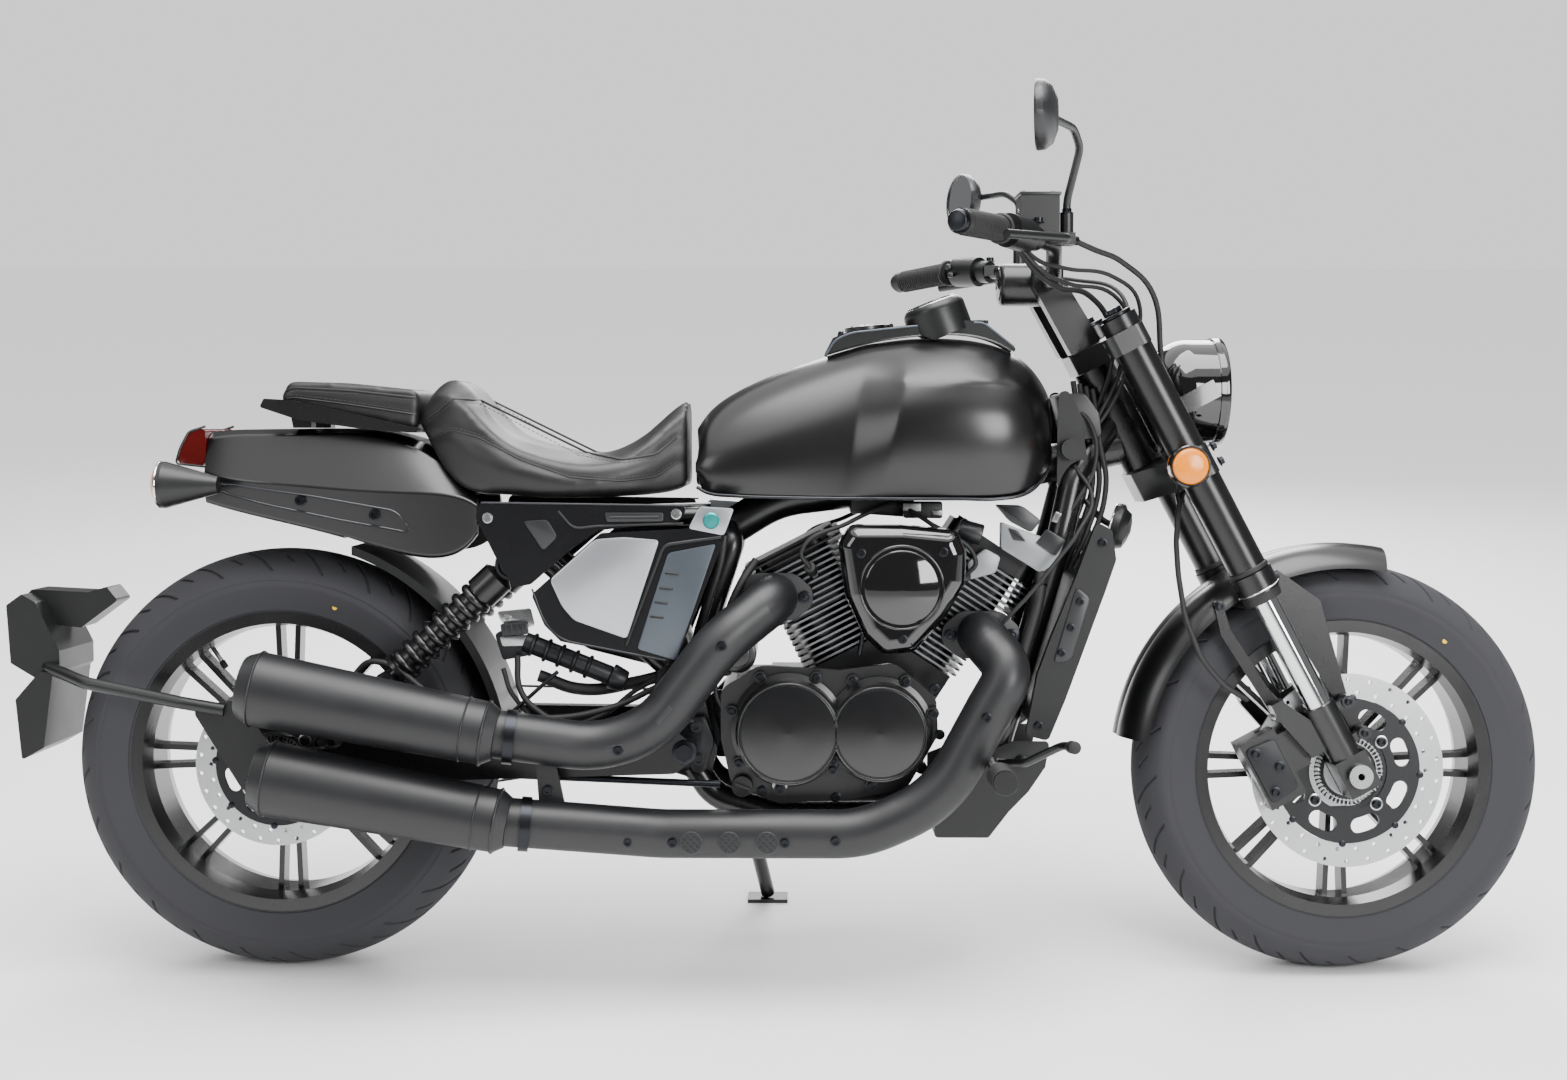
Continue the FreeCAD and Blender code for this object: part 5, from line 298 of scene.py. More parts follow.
# Oiled roller chain.
CHAIN_STEEL = Finish("oiled_chain_steel", "4b4a47", "2b2a28", metallic=1.0, roughness=0.36, spread=0.12,
                     grain_mm=1.0, bump_mm=0.03)
AMBER_LENS = Lens("amber_acrylic", "f28a00", "f79a04", roughness=0.16, spread=0.03, grain_mm=2.2,
                  bump_mm=0.15, ior=1.49, passes=0.25, glow=0.12)
RED_LENS = Lens("red_acrylic", "4a0605", "6a0b09", roughness=0.14, spread=0.03, grain_mm=2.5,
                bump_mm=0.12, ior=1.49, passes=0.3)

# Yellow factory paint on the tyre's light point.
YELLOW_PAINT = Finish("yellow_marking_paint", "d8b21c", "c9a516", roughness=0.5, grain_mm=1.0, bump_mm=0.02)
# Woven cord under the same vinyl, and its polyester thread.
VINYL_CORD = Finish("vinyl_welt", "101011", "1a1a1b", roughness=0.5, grain_mm=0.8, bump_mm=0.05)
THREAD = Finish("polyester_thread", "3a3a3c", "2a2a2b", roughness=0.8, grain_mm=0.3, bump_mm=0.05)
# Lighter grey enamel on thin edges: a painted highlight along the tank's flange, the tail's recess and the
# side covers' edges.
EDGE_HIGHLIGHT_PAINT = Finish("painted_highlight_enamel", "2c2d30", "3b3d40", metallic=0.5, roughness=0.22, spread=0.05,
                   grain_mm=1.0, bump_mm=0.005)
# Screen-printed pale marks.
PALE_MARK = Finish("pale_screen_print", "d9dadb", "cfd0d1", roughness=0.6, grain_mm=0.6, bump_mm=0.004)
# Anodised teal cap.
TEAL_PAINT = Finish("teal_anodised_alloy", "2f9c9a", "2a8583", metallic=0.7, roughness=0.35, grain_mm=0.6,
                    bump_mm=0.01)
# Silver-grey engine enamel of the terminal box.
SILVER_ENAMEL = Finish("silver_grey_enamel", "8d9093", "7b7e81", metallic=0.5, roughness=0.4, grain_mm=0.7,
                       bump_mm=0.02)
# Heat-tinted edge of the pipes' slots and end caps.
EXHAUST_EDGE = Finish("heat_proof_edge", "2b2c2e", "3a3b3d", metallic=0.4, roughness=0.4, grain_mm=0.9,
                      bump_mm=0.02)
# Brazed aluminium core painted thinly black.
RADIATOR_METAL = Finish("thin_painted_alloy_core", "1d1e1f", "2b2c2d", metallic=0.4, roughness=0.5,
                        grain_mm=0.6,
                        bump_mm=0.01)
# Smooth satin ABS of switches and lids.
SATIN_ABS = Finish("satin_abs", "1b1c1e", "242527", roughness=0.36, grain_mm=0.8, bump_mm=0.01)
RED_ABS = Finish("red_moulded_abs", "8e1512", "7a100e", roughness=0.4, grain_mm=0.8, bump_mm=0.01)
# Hard-anodised caliper body.
CALIPER_PAINT = Finish("hard_anodised_caliper", "1a1b1d", "2a2b2e", metallic=0.5, roughness=0.42,
                       grain_mm=0.8,
                       bump_mm=0.02)
# Vapour-coated reflector and silvered mirror glass.
REFLECTOR = Finish("vapour_coated_reflector", "c9ccd0", "b6b9bd", metallic=1.0, roughness=0.12, spread=0.04,
                   grain_mm=6.0, bump_mm=0.05)
MIRROR_GLASS = Finish("silvered_mirror_glass", "dfe3e6", "d9dde0", metallic=1.0, roughness=0.03, spread=0.01,
                      grain_mm=8.0, bump_mm=0.001)
CLEAR_LENS = Lens("clear_polycarbonate", "f4f6f8", "f0f2f4", roughness=0.04, spread=0.02, grain_mm=6.0,
                  bump_mm=0.02, ior=1.58, passes=0.96)


NODE_FINISHES: dict[str, Finish] = {
    "front_tyre": TYRE_RUBBER, "rear_tyre": TYRE_RUBBER,
    "front_rim": WHEEL_PAINT, "rear_rim": WHEEL_PAINT,
    "front_disc": DISC_STEEL, "rear_disc": DISC_STEEL, "rear_sprocket": CHAIN_STEEL,
    "drive_chain": CHAIN_STEEL, "front_axle": ZINC_PLATE, "rear_axle": ZINC_PLATE,
    "main_frame": POWDER_COAT, "rear_subframe": POWDER_COAT, "swingarm": POWDER_COAT,
    "side_stand": POWDER_COAT, "handlebar": POWDER_COAT, "grab_rack": POWDER_COAT,
    "shock_absorbers": POWDER_COAT, "fork_outer_tubes": POWDER_COAT,
    "fork_inner_tubes": HARD_CHROME, "triple_clamps": ENGINE_ENAMEL, "axle_holders": ENGINE_ENAMEL,
    "crankcase": ENGINE_ENAMEL, "engine_covers_right": ENGINE_ENAMEL, "engine_cover_left": ENGINE_ENAMEL,
    "rear_cylinder": ENGINE_ENAMEL, "front_cylinder": ENGINE_ENAMEL, "intake": ENGINE_ENAMEL,
    "air_cleaner_cover": GLOSS_PAINT, "headlamp": GLOSS_PAINT,
    "upper_exhaust": EXHAUST_PAINT, "lower_exhaust": EXHAUST_PAINT,
    "fuel_tank": TANK_PAINT, "front_fender": TANK_PAINT, "tail_fairing": TANK_PAINT,
    "tank_console": GRAINED_ABS, "fuel_cap": ENGINE_ENAMEL, "side_panels": COVER_ABS,
    "rear_hugger": GRAINED_ABS, "plate_holder": GRAINED_ABS, "radiator": GRAINED_ABS,
    "radiator_covers": GRAINED_ABS, "engine_guard": GRAINED_ABS, "foot_controls": ENGINE_ENAMEL,
    "rear_caliper": ENGINE_ENAMEL, "front_caliper": ENGINE_ENAMEL, "fender_brackets": POWDER_COAT,
    "bar_controls": GRAINED_ABS, "mirrors": GRAINED_ABS, "grips": SOFT_RUBBER,
    "front_indicators": AMBER_LENS, "rear_indicators": GRAINED_ABS, "tail_lamp": RED_LENS,
    "rider_seat": SEAT_VINYL, "pillion_seat": SEAT_VINYL, "brake_hose": SOFT_RUBBER,
    "neck_covers": GRAINED_ABS,
}


def dress_nodes() -> None:
    """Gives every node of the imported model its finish."""
    for name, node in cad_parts.items():
        finish = NODE_FINISHES.get(name, GRAINED_ABS)
        node.data.materials.clear()
        node.data.materials.append(finish.build())
        LOG.info("%s: %s", name, finish.name)


# Tools for forming the pieces

def mirrored(place: Point, side: int) -> Vector:
    """Returns a place of the left side on the given side."""
    return Vector((place[0], side * place[1], place[2]))


def rounded(points: Sequence[Point], reach: float, closed: bool = False, steps: int = 5) -> list[Vector]:
    """Rounds the corners of a run of points.

    Args:
        points: The corners.
        reach: How far from a corner its curve starts.
        closed: Whether the run returns to its first point.
        steps: Points on each curve.

    Returns:
        The run with its curves.
    """
    run = [Vector(p) for p in points]
    result = [] if closed else [run[0]]
    for i in range(len(run)) if closed else range(1, len(run) - 1):
        before, here, after = run[i - 1], run[i], run[(i + 1) % len(run)]
        back = min(reach, (before - here).length / 2)
        ahead = min(reach, (after - here).length / 2)
        start = here + (before - here).normalized() * back
        end = here + (after - here).normalized() * ahead
        for step in range(steps + 1):
            t = step / steps
            result.append(start.lerp(here, t).lerp(here.lerp(end, t), t))
    return result if closed else result + [run[-1]]


def turn_to(way: Vector) -> Matrix:
    """Returns the turn that brings the Z axis to a direction."""
    return Vector((0, 0, 1)).rotation_difference(way).to_matrix().to_4x4()


@dataclass(frozen=True)
class Plate:
    """A plate: its outline in X and Z, its two faces in Y, and how far its corners and edges are rounded."""

    outline: Flat
    near: float
    far: float
    corner: float = 0.0
    soft: float = 0.0


@dataclass(frozen=True)
class Cord:
    """A cord or a wire on a route that was chosen along what holds it.

    With a bend, its corners are rounded by that reach. Without one it is a smooth curve.
    """

    route: Run
    radius: float
    bend: float = 0.0


@dataclass
class Form:
    """One piece while it is formed, in the millimetres of its place."""

    name: str
    place: Place
    finish: Finish
    sharp_deg: float = 38.0
    bm: bmesh.types.BMesh = field(default_factory=bmesh.new)

    def soften(self, verts: Iterable[bmesh.types.BMVert], width: float, segments: int = 3) -> None:
        """Rounds the hard edges among the given vertices."""
        if not width:
            return
        edges = {e for v in verts for e in v.link_edges}
        limit = math.radians(self.sharp_deg)
        hard = [e for e in edges if len(e.link_faces) == 2 and e.calc_face_angle(0) > limit]
        bmesh.ops.bevel(self.bm, geom=hard, offset=width, segments=segments, affect="EDGES", profile=0.5,
                        material=-1)

    def block(self, centre: Point, size: Point, tilt_deg: float = 0.0, axis: str = "Y",
              soft: float = 0.0) -> None:
        """Adds a block, turned about one axis."""
        matrix = (Matrix.Translation(centre) @ Matrix.Rotation(math.radians(tilt_deg), 4, axis)
                  @ Matrix.Diagonal((*size, 1)))
        made = bmesh.ops.create_cube(self.bm, size=1.0, matrix=matrix)
        self.soften(made["verts"], soft)

    def rod(self, start: Point, end: Point, radius: float, far: float | None = None, soft: float = 0.0,
            sides: int = 28) -> None:
        """Adds a round bar or a cone between two points."""
        start, end = Vector(start), Vector(end)
        way = end - start
        matrix = Matrix.Translation((start + end) / 2) @ turn_to(way)
        made = bmesh.ops.create_cone(
            self.bm, cap_ends=True, cap_tris=False, segments=sides, radius1=radius,
            radius2=radius if far is None else far, depth=way.length, matrix=matrix)
        self.soften(made["verts"], soft, 2)

    def line(self, points: Sequence[Point], closed: bool = False) -> tuple[list, list]:
        """Adds a bare line of vertices and edges."""
        verts = [bmesh.ops.create_vert(self.bm, co=p)["vert"][0] for p in points]
        pairs = list(zip(verts, verts[1:] + verts[:1]))
        edges = []
        for pair in pairs if closed else pairs[:-1]:
            edges += bmesh.ops.contextual_create(self.bm, geom=list(pair))["edges"]
        return verts, edges

    def turned(self, profile: Sequence[tuple[float, float]], centre: Point, axis: Point, steps: int = 64,
               arc_deg: float = 360.0, start_deg: float = 0.0) -> None:
        """Turns a profile about an axis.

        Args:
            profile: Places along the axis, each with a radius.
            centre: Where the axis starts.
            axis: Its direction.
            steps: Faces round the piece.
            arc_deg: How far it turns.
            start_deg: Where it starts.
        """
        start = Matrix.Rotation(math.radians(start_deg), 4, "Z")
        matrix = Matrix.Translation(centre) @ turn_to(Vector(axis)) @ start
        verts, edges = self.line([matrix @ Vector((radius, 0, along)) for along, radius in profile])
        whole = arc_deg >= 360.0
        bmesh.ops.spin(self.bm, geom=verts + edges, cent=centre, axis=Vector(axis).normalized(),
                       angle=math.radians(arc_deg), steps=steps, use_merge=whole)

    def ring(self, centre: Point, axis: Point, radius: float, wire: float, arc_deg: float = 360.0,
             start_deg: float = 0.0, steps: int = 64) -> None:
        """Adds a round wire bent to a ring or an arc."""
        count = 10
        profile = [(wire * math.sin(math.tau * i / count), radius + wire * math.cos(math.tau * i / count))
                   for i in range(count + 1)]
        self.turned(profile, centre, axis, steps, arc_deg, start_deg)

    def panel(self, outline: Sequence[tuple[float, float]], near: float, far: float, corner: float = 0.0,
              soft: float = 0.0) -> None:
        """Adds a plate from an outline in X and Z, from one Y to another."""
        corners = [Vector((x, near, z)) for x, z in outline]
        if corner:
            corners = rounded(corners, corner, closed=True)
        before = set(self.bm.verts)
        _, edges = self.line(corners, closed=True)
        face = bmesh.ops.edgeloop_fill(self.bm, edges=edges)["faces"]
        moved = bmesh.ops.extrude_face_region(self.bm, geom=face, use_keep_orig=True)["geom"]
        bmesh.ops.translate(self.bm, vec=(0, far - near, 0),
                            verts=[v for v in moved if isinstance(v, bmesh.types.BMVert)])
        fresh = [v for v in self.bm.verts if v not in before]
        self.soften(fresh, soft, 2)

    def pierced(self, outline: Sequence[tuple[float, float]], holes: Sequence[Sequence[tuple[float, float]]],
                near: float, far: float) -> None:
        """Adds a plate with holes right through it, from outlines in X and Z."""
        curve = bpy.data.curves.new("plate", "CURVE")
        curve.dimensions = "2D"
        curve.fill_mode = "BOTH"
        curve.extrude = abs(far - near) / 2
        for ring in (outline, *holes):
            spline = curve.splines.new("POLY")
            spline.points.add(len(ring) - 1)
            for knot, (x, z) in zip(spline.points, ring):
                knot.co = (x, z, 0, 1)
            spline.use_cyclic_u = True
        holder = bpy.data.objects.new("plate", curve)
        bpy.context.scene.collection.objects.link(holder)
        graph = bpy.context.evaluated_depsgraph_get()
        made = bpy.data.meshes.new_from_object(holder.evaluated_get(graph))
        made.transform(Matrix.Translation((0, (near + far) / 2, 0)) @ Matrix.Rotation(math.radians(90), 4,
                                                                                      "X"))
        before = set(self.bm.verts)
        self.bm.from_mesh(made)
        fresh = [v for v in self.bm.verts if v not in before]
        bmesh.ops.remove_doubles(self.bm, verts=fresh, dist=0.001)
        bpy.data.objects.remove(holder)
        bpy.data.curves.remove(curve)
        bpy.data.meshes.remove(made)

    def tube(self, points: Sequence[Point], radius: float, bend: float = 0.0, smooth: bool = False,
             sides: int = 3) -> None:
        """Adds a tube along a run, either with rounded corners or as one smooth curve."""
        run = [Vector(p) for p in points] if smooth or not bend else rounded(points, bend)
        curve = bpy.data.curves.new("run", "CURVE")
        curve.dimensions = "3D"
        curve.bevel_depth = radius
        curve.bevel_resolution = sides
        curve.use_fill_caps = True
        spline = curve.splines.new("BEZIER" if smooth else "POLY")
        if smooth:
            curve.resolution_u = 8
            spline.bezier_points.add(len(run) - 1)
            for knot, place in zip(spline.bezier_points, run):
                knot.co = place
                knot.handle_left_type = knot.handle_right_type = "AUTO"
        else:
            spline.points.add(len(run) - 1)
            for knot, place in zip(spline.points, run):
                knot.co = (*place, 1)
        holder = bpy.data.objects.new("run", curve)
        mesh = bpy.data.meshes.new_from_object(holder)
        self.bm.from_mesh(mesh)
        bpy.data.objects.remove(holder)
        bpy.data.curves.remove(curve)
        bpy.data.meshes.remove(mesh)

    def bolt(self, place: Point, way: Point, radius: float, socket: bool = True) -> None:
        """Adds a bolt head with its socket, or a plain hexagon, on a washer."""
        place, way = Vector(place), Vector(way).normalized()
        self.rod(place, place + way * radius * 0.22, radius * 1.35, soft=radius * 0.08, sides=24)
        high = place + way * radius * (1.15 if socket else 0.95)
        base = place + way * radius * 0.2
        matrix = Matrix.Translation((base + high) / 2) @ turn_to(way)
        made = bmesh.ops.create_cone(
            self.bm, cap_ends=True, cap_tris=False, segments=24 if socket else 6,
            radius1=radius, radius2=radius,
            depth=(high - base).length, matrix=matrix)
        tops = [f for f in {f for v in made["verts"] for f in v.link_faces} if f.normal.dot(way) > 0.9]
        if socket:
            bmesh.ops.inset_region(self.bm, faces=tops, thickness=radius * 0.14, depth=0)
            bmesh.ops.inset_region(self.bm, faces=tops, thickness=radius * 0.3, depth=0)
            bmesh.ops.inset_region(self.bm, faces=tops, thickness=radius * 0.02, depth=-radius * 0.5)

    def bolts(self, spots: Iterable[tuple[float, float]], y: float, radius: float) -> "Form":
        """Adds bolt heads that face outwards at one Y."""
        for x, z in spots:
            self.bolt((x, y, z), (0, math.copysign(1, y), 0), radius)
        return self

    def plates(self, plates: Iterable[Plate]) -> "Form":
        """Adds plates, one after another."""
        for plate in plates:
            self.panel(plate.outline, plate.near, plate.far, plate.corner, plate.soft)
        return self

    def cords(self, cords: Iterable[Cord]) -> "Form":
        """Adds cords, one after another. A cord of two points with no bend is straight."""
        for cord in cords:
            smooth = not cord.bend and len(cord.route) > 2
            self.tube(cord.route, cord.radius, bend=cord.bend, smooth=smooth)
        return self

    def both_sides(self) -> "Form":
        """Repeats what has been formed so far on the machine's other side."""
        whole = self.bm.verts[:] + self.bm.edges[:] + self.bm.faces[:]
        copy = bmesh.ops.duplicate(self.bm, geom=whole)["geom"]
        verts = [v for v in copy if isinstance(v, bmesh.types.BMVert)]
        bmesh.ops.scale(self.bm, vec=(1, -1, 1), verts=verts)
        bmesh.ops.reverse_faces(self.bm, faces=[f for f in copy if isinstance(f, bmesh.types.BMFace)])
        return self

    def made(self, sharp: bool = True) -> bpy.types.Object:
        """Moves the piece to the world and gives it its finish.

        Args:
            sharp: Whether edges past the piece's limit are shaded hard.

        Returns:
            The new object.
        """
        bmesh.ops.transform(self.bm, matrix=self.place.matrix(), verts=self.bm.verts)
        bmesh.ops.recalc_face_normals(self.bm, faces=self.bm.faces)
        mesh = bpy.data.meshes.new(self.name)
        self.bm.to_mesh(mesh)
        self.bm.free()
        mesh.shade_smooth()
        if sharp:
            mesh.set_sharp_from_angle(angle=math.radians(self.sharp_deg))
        mesh.materials.append(self.finish.build())
        piece = bpy.data.objects.new(self.name, mesh)
        bpy.context.scene.collection.objects.link(piece)
        return piece

    def leave(self, body: str) -> bpy.types.Object:
        """Makes the piece and hands it to a body."""
        piece = self.made()
        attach(piece, body)
        LOG.info("%s: %d faces on %s", self.name, len(piece.data.polygons), body)
        return piece


@dataclass
class Skin:
    """The surface of one node, felt from outside in the millimetres of a place."""

    node: str
    place: Place = Place.MACHINE

    def at(self, start: Point, way: Point) -> Vector | None:
        """Returns the first point met from a start along a direction, or nothing."""
        matrix = self.place.matrix()
        source = matrix @ Vector(start)
        heading = (matrix.to_3x3() @ Vector(way)).normalized()
        found, place, _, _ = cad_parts[self.node].ray_cast(source, heading)
        return matrix.inverted() @ place if found else None

    def side(self, x: float, z: float, side: int, reach: float = 500.0) -> float | None:
        """Returns the Y of the surface seen from one side."""
        met = self.at((x, side * reach, z), (0, -side, 0))
        return met.y if met else None

    def trace(self, run: Sequence[tuple[float, float]], side: int, lift: float = 0.0) -> list[Vector]:
        """Lays a line of (x, z) points on one side of the surface."""
        laid = []
        for x, z in run:
            y = self.side(x, z, side)
            if y is not None:
                laid.append(Vector((x, y + side * lift, z)))
        return laid


def spaced(points: Sequence[Point], step: float) -> list[Vector]:
    """Returns points at equal steps along a run."""
    run = [Vector(p) for p in points]
    result, left = [run[0]], step
    for a, b in zip(run, run[1:]):
        long = (b - a).length
        while left <= long:
            result.append(a.lerp(b, left / long))
            left += step
        left -= long
    return result


# Wheels

@dataclass
class TreadedTyre:
    """A tyre with a grooved tread, a rib on its shoulder and a bead in its rim."""

    name: str
    place: Place
    body: str
    radius: float
    width: float
    crown: float
    lip: float
    steps: int = 216
    bands: int = 16
    pitch: int = 9
    groove_deep: float = 3.2
    sweep_deg: float = 13.0

    def profile(self) -> list[tuple[float, float]]:
        """Returns the half section from the bead up to the crown, as (y, radius)."""
        half, deep = self.width / 2, self.radius - self.lip
        wall = [(half * 0.82, self.lip - 8), (half * 0.86, self.lip + 2), (half * 0.9, self.lip + 3),
                (half * 0.955, self.lip + deep * 0.26), (half * 0.99, self.lip + deep * 0.4),
                (half * 0.998, self.lip + deep * 0.47), (half * 0.985, self.lip + deep * 0.485),
                (half * 0.985, self.lip + deep * 0.52), (half * 0.99, self.lip + deep * 0.535)]
        crown = []
        for i in range(self.bands + 1):
            y = half * 0.94 * (1 - i / self.bands)
            crown.append((y, self.radius - self.crown + math.sqrt(self.crown ** 2 - y ** 2)))
        return wall + crown

    def build(self) -> bpy.types.Object:
        """Spins the section, cuts the grooves and sweeps them back."""
        form = Form(self.name, self.place, TYRE_RUBBER, sharp_deg=42)
        half = self.profile()
        section = half + [(-y, r) for y, r in reversed(half[:-1])]
        form.turned(section, (0, 0, 0), (0, 1, 0), self.steps)
        bm, tread = form.bm, self.width / 2 * 0.94
        band = tread / self.bands
        cut = []
        for face in bm.faces:
            middle = face.calc_center_median()
            row = abs(middle.y) / band
            if math.hypot(middle.x, middle.z) < self.radius - self.crown * 0.5:
                continue
            step = int(math.degrees(math.atan2(middle.x, middle.z)) % 360 / 360 * self.steps)
            if middle.y > 0:
                step += self.pitch // 2
            if 2.0 < row < 3.0 and step % self.pitch in (1, 2, 3, 4, 5):
                cut.append(face)
            elif 4.0 < row < self.bands - 0.6 and step % self.pitch == 0:
                cut.append(face)
            elif 7.0 < row < 12.0 and step % self.pitch == 5:
                cut.append(face)
        bmesh.ops.recalc_face_normals(bm, faces=bm.faces)
        bmesh.ops.inset_region(bm, faces=cut, thickness=0.8, depth=0, use_even_offset=True)
        bmesh.ops.inset_region(bm, faces=cut, thickness=0.3, depth=-self.groove_deep, use_even_offset=True)
        for vert in bm.verts:
            lean = math.radians(self.sweep_deg) * min(abs(vert.co.y) / tread, 1.0)
            vert.co.rotate(Matrix.Rotation(lean, 3, "Y"))
        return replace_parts(form.leave(self.body), self.name.replace("treaded_", ""))


def circle(radius: float, steps: int, x: float = 0.0, z: float = 0.0) -> list[tuple[float, float]]:
    """Returns a circle's points in X and Z."""
    turns = (2 * math.pi * i / steps for i in range(steps))
    return [(x + radius * math.cos(turn), z + radius * math.sin(turn)) for turn in turns]


def arc_slot(near: float, far: float, middle_deg: float, wide_deg: float,
             steps: int = 7) -> list[tuple[float, float]]:
    """Returns a rounded slot that follows a circle, in X and Z."""
    spread = [math.radians(middle_deg + wide_deg * (i / (steps - 1) - 0.5)) for i in range(steps)]
    centre, half = (near + far) / 2, (far - near) / 2
    ring = [(far * math.cos(a), far * math.sin(a)) for a in spread]
    for end, flip in ((spread[-1], 1), (spread[0], -1)):
        hub = Vector((centre * math.cos(end), centre * math.sin(end)))
        for i in range(1, steps):
            turn = end + flip * (math.pi * i / steps if flip == 1 else -math.pi * (1 + i / steps))
            ring.append((hub.x + half * math.cos(turn), hub.y + half * math.sin(turn)))
        if flip == 1:
            ring += [(near * math.cos(a), near * math.sin(a)) for a in reversed(spread)]
    return ring


@dataclass
class BrakeDisc:
    """A drilled steel ring on a black slotted carrier, with the wheel sensor's toothed ring on its face."""

    prefix: str
    place: Place
    body: str
    radius: float
    side: float
    hub_half: float
    thick: float = 4.0
    turn_deg: float = 19.0

    def build(self) -> None:
        """Adds the ring, the carrier and the sensor's ring."""
        low, high = -self.side - self.thick / 2, -self.side + self.thick / 2
        band = self.radius * 0.757
        holes = []
        for i in range(26):
            for row, share in enumerate((0.24, 0.76)):
                turn = math.radians((i + row / 2) * 360 / 26)
                out = band + (self.radius - band) * share
                holes.append(circle(3.1, 14, out * math.cos(turn), out * math.sin(turn)))
        ring = Form(f"{self.prefix}_disc_ring", self.place, DISC_STEEL)
        ring.pierced(circle(self.radius, 120), [circle(band, 96)] + holes, low, high)
        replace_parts(ring.leave(self.body), f"{self.prefix}_disc")
        slots = [arc_slot(self.radius * 0.5, self.radius * 0.665, self.turn_deg + 45 * i,
                          14) for i in range(8)]
        carrier = Form(f"{self.prefix}_disc_carrier", self.place, CARRIER_ANODISE)
        carrier.pierced(circle(band - 0.6, 96), [circle(26, 48)] + slots, low - 1.2, high + 0.6)
        carrier.turned([(-self.side + 1.6, 42), (-self.hub_half - 0.5, 42), (-self.hub_half - 0.5, 27),
                        (-self.side + 1.6, 27), (-self.side + 1.6, 42)], (0, 0, 0), (0, 1, 0), 56)
        carrier.leave(self.body)
        teeth = [arc_slot(self.radius * 0.29, self.radius * 0.36, 7.5 * i, 1.6, 3) for i in range(48)]
        sensor = Form(f"{self.prefix}_sensor_ring", self.place, ZINC_PLATE)
        sensor.pierced(circle(self.radius * 0.406, 80), [circle(self.radius * 0.257, 64)] + teeth,
                       low - 3.4, low - 1.2)
        buttons = Form(f"{self.prefix}_disc_buttons", self.place, BLACK_OXIDE)
        for i in range(4):
            turn = math.radians(41 + 90 * i)
            x, z = self.radius * 0.455 * math.cos(turn), self.radius * 0.455 * math.sin(turn)
            sensor.rod((x, low - 3.4, z), (x, low - 1.2, z), 9.5, soft=0.4)
            buttons.bolt((x, low - 3.2, z), (0, -1, 0), 5.5)
        sensor.leave(self.body)
        for i in range(8):
            turn = math.radians(self.turn_deg + 22.5 + 45 * i)
            x, z = band * math.cos(turn), band * math.sin(turn)
            buttons.rod((x, low - 2.0, z), (x, high + 1.4, z), 5.0, soft=0.6)
        buttons.leave(self.body)


@dataclass
class WheelTrim:
    """What is fitted to one wheel: the valve with its cap, a balance weight and the sidewall's paint spot."""

    prefix: str
    place: Place
    body: str
    radius: float
    lip: float
    half: float
    wheel_turn_deg: float

    def around(self, radius: float, turn_deg: float, y: float) -> Vector:
        """Returns a point on a circle about the axle."""
        turn = math.radians(turn_deg)
        return Vector((radius * math.cos(turn), y, radius * math.sin(turn)))

    def build(self) -> None:
        """Adds every piece of the trim."""
        valve = Form(f"{self.prefix}_valve", self.place, ZINC_PLATE)
        foot = self.around(self.lip - 22, self.wheel_turn_deg + 96, 0)
        way = Vector((-foot.x, -30, -foot.z)).normalized()
        valve.rod(foot, foot + way * 26, 3.4, soft=0.5)
        valve.leave(self.body)
        cap = Form(f"{self.prefix}_valve_cap", self.place, SOFT_RUBBER)
        cap.rod(foot + way * 24, foot + way * 36, 4.6, soft=1.0)
        cap.leave(self.body)
        spot = Form(f"{self.prefix}_light_spot", self.place, YELLOW_PAINT)
        deep = self.radius - self.lip
        place = self.around(self.lip + deep * 0.24, self.wheel_turn_deg + 40, -self.half * 0.94)
        spot.rod(place + Vector((0, 2.0, 0)), place - Vector((0, 0.9, 0)), 3.6, sides=20)
        spot.leave(self.body)
        weight = Form(f"{self.prefix}_balance_weight", self.place, ZINC_PLATE)
        weight.turned([(-3, self.lip - 14), (3, self.lip - 14), (3, self.lip - 17), (-3, self.lip - 17),
                       (-3, self.lip - 14)],
                      (0, -self.half * 0.55, 0), (0, 1, 0), 8, 9.0, self.wheel_turn_deg + 210)
        weight.leave(self.body)


# Soft pieces

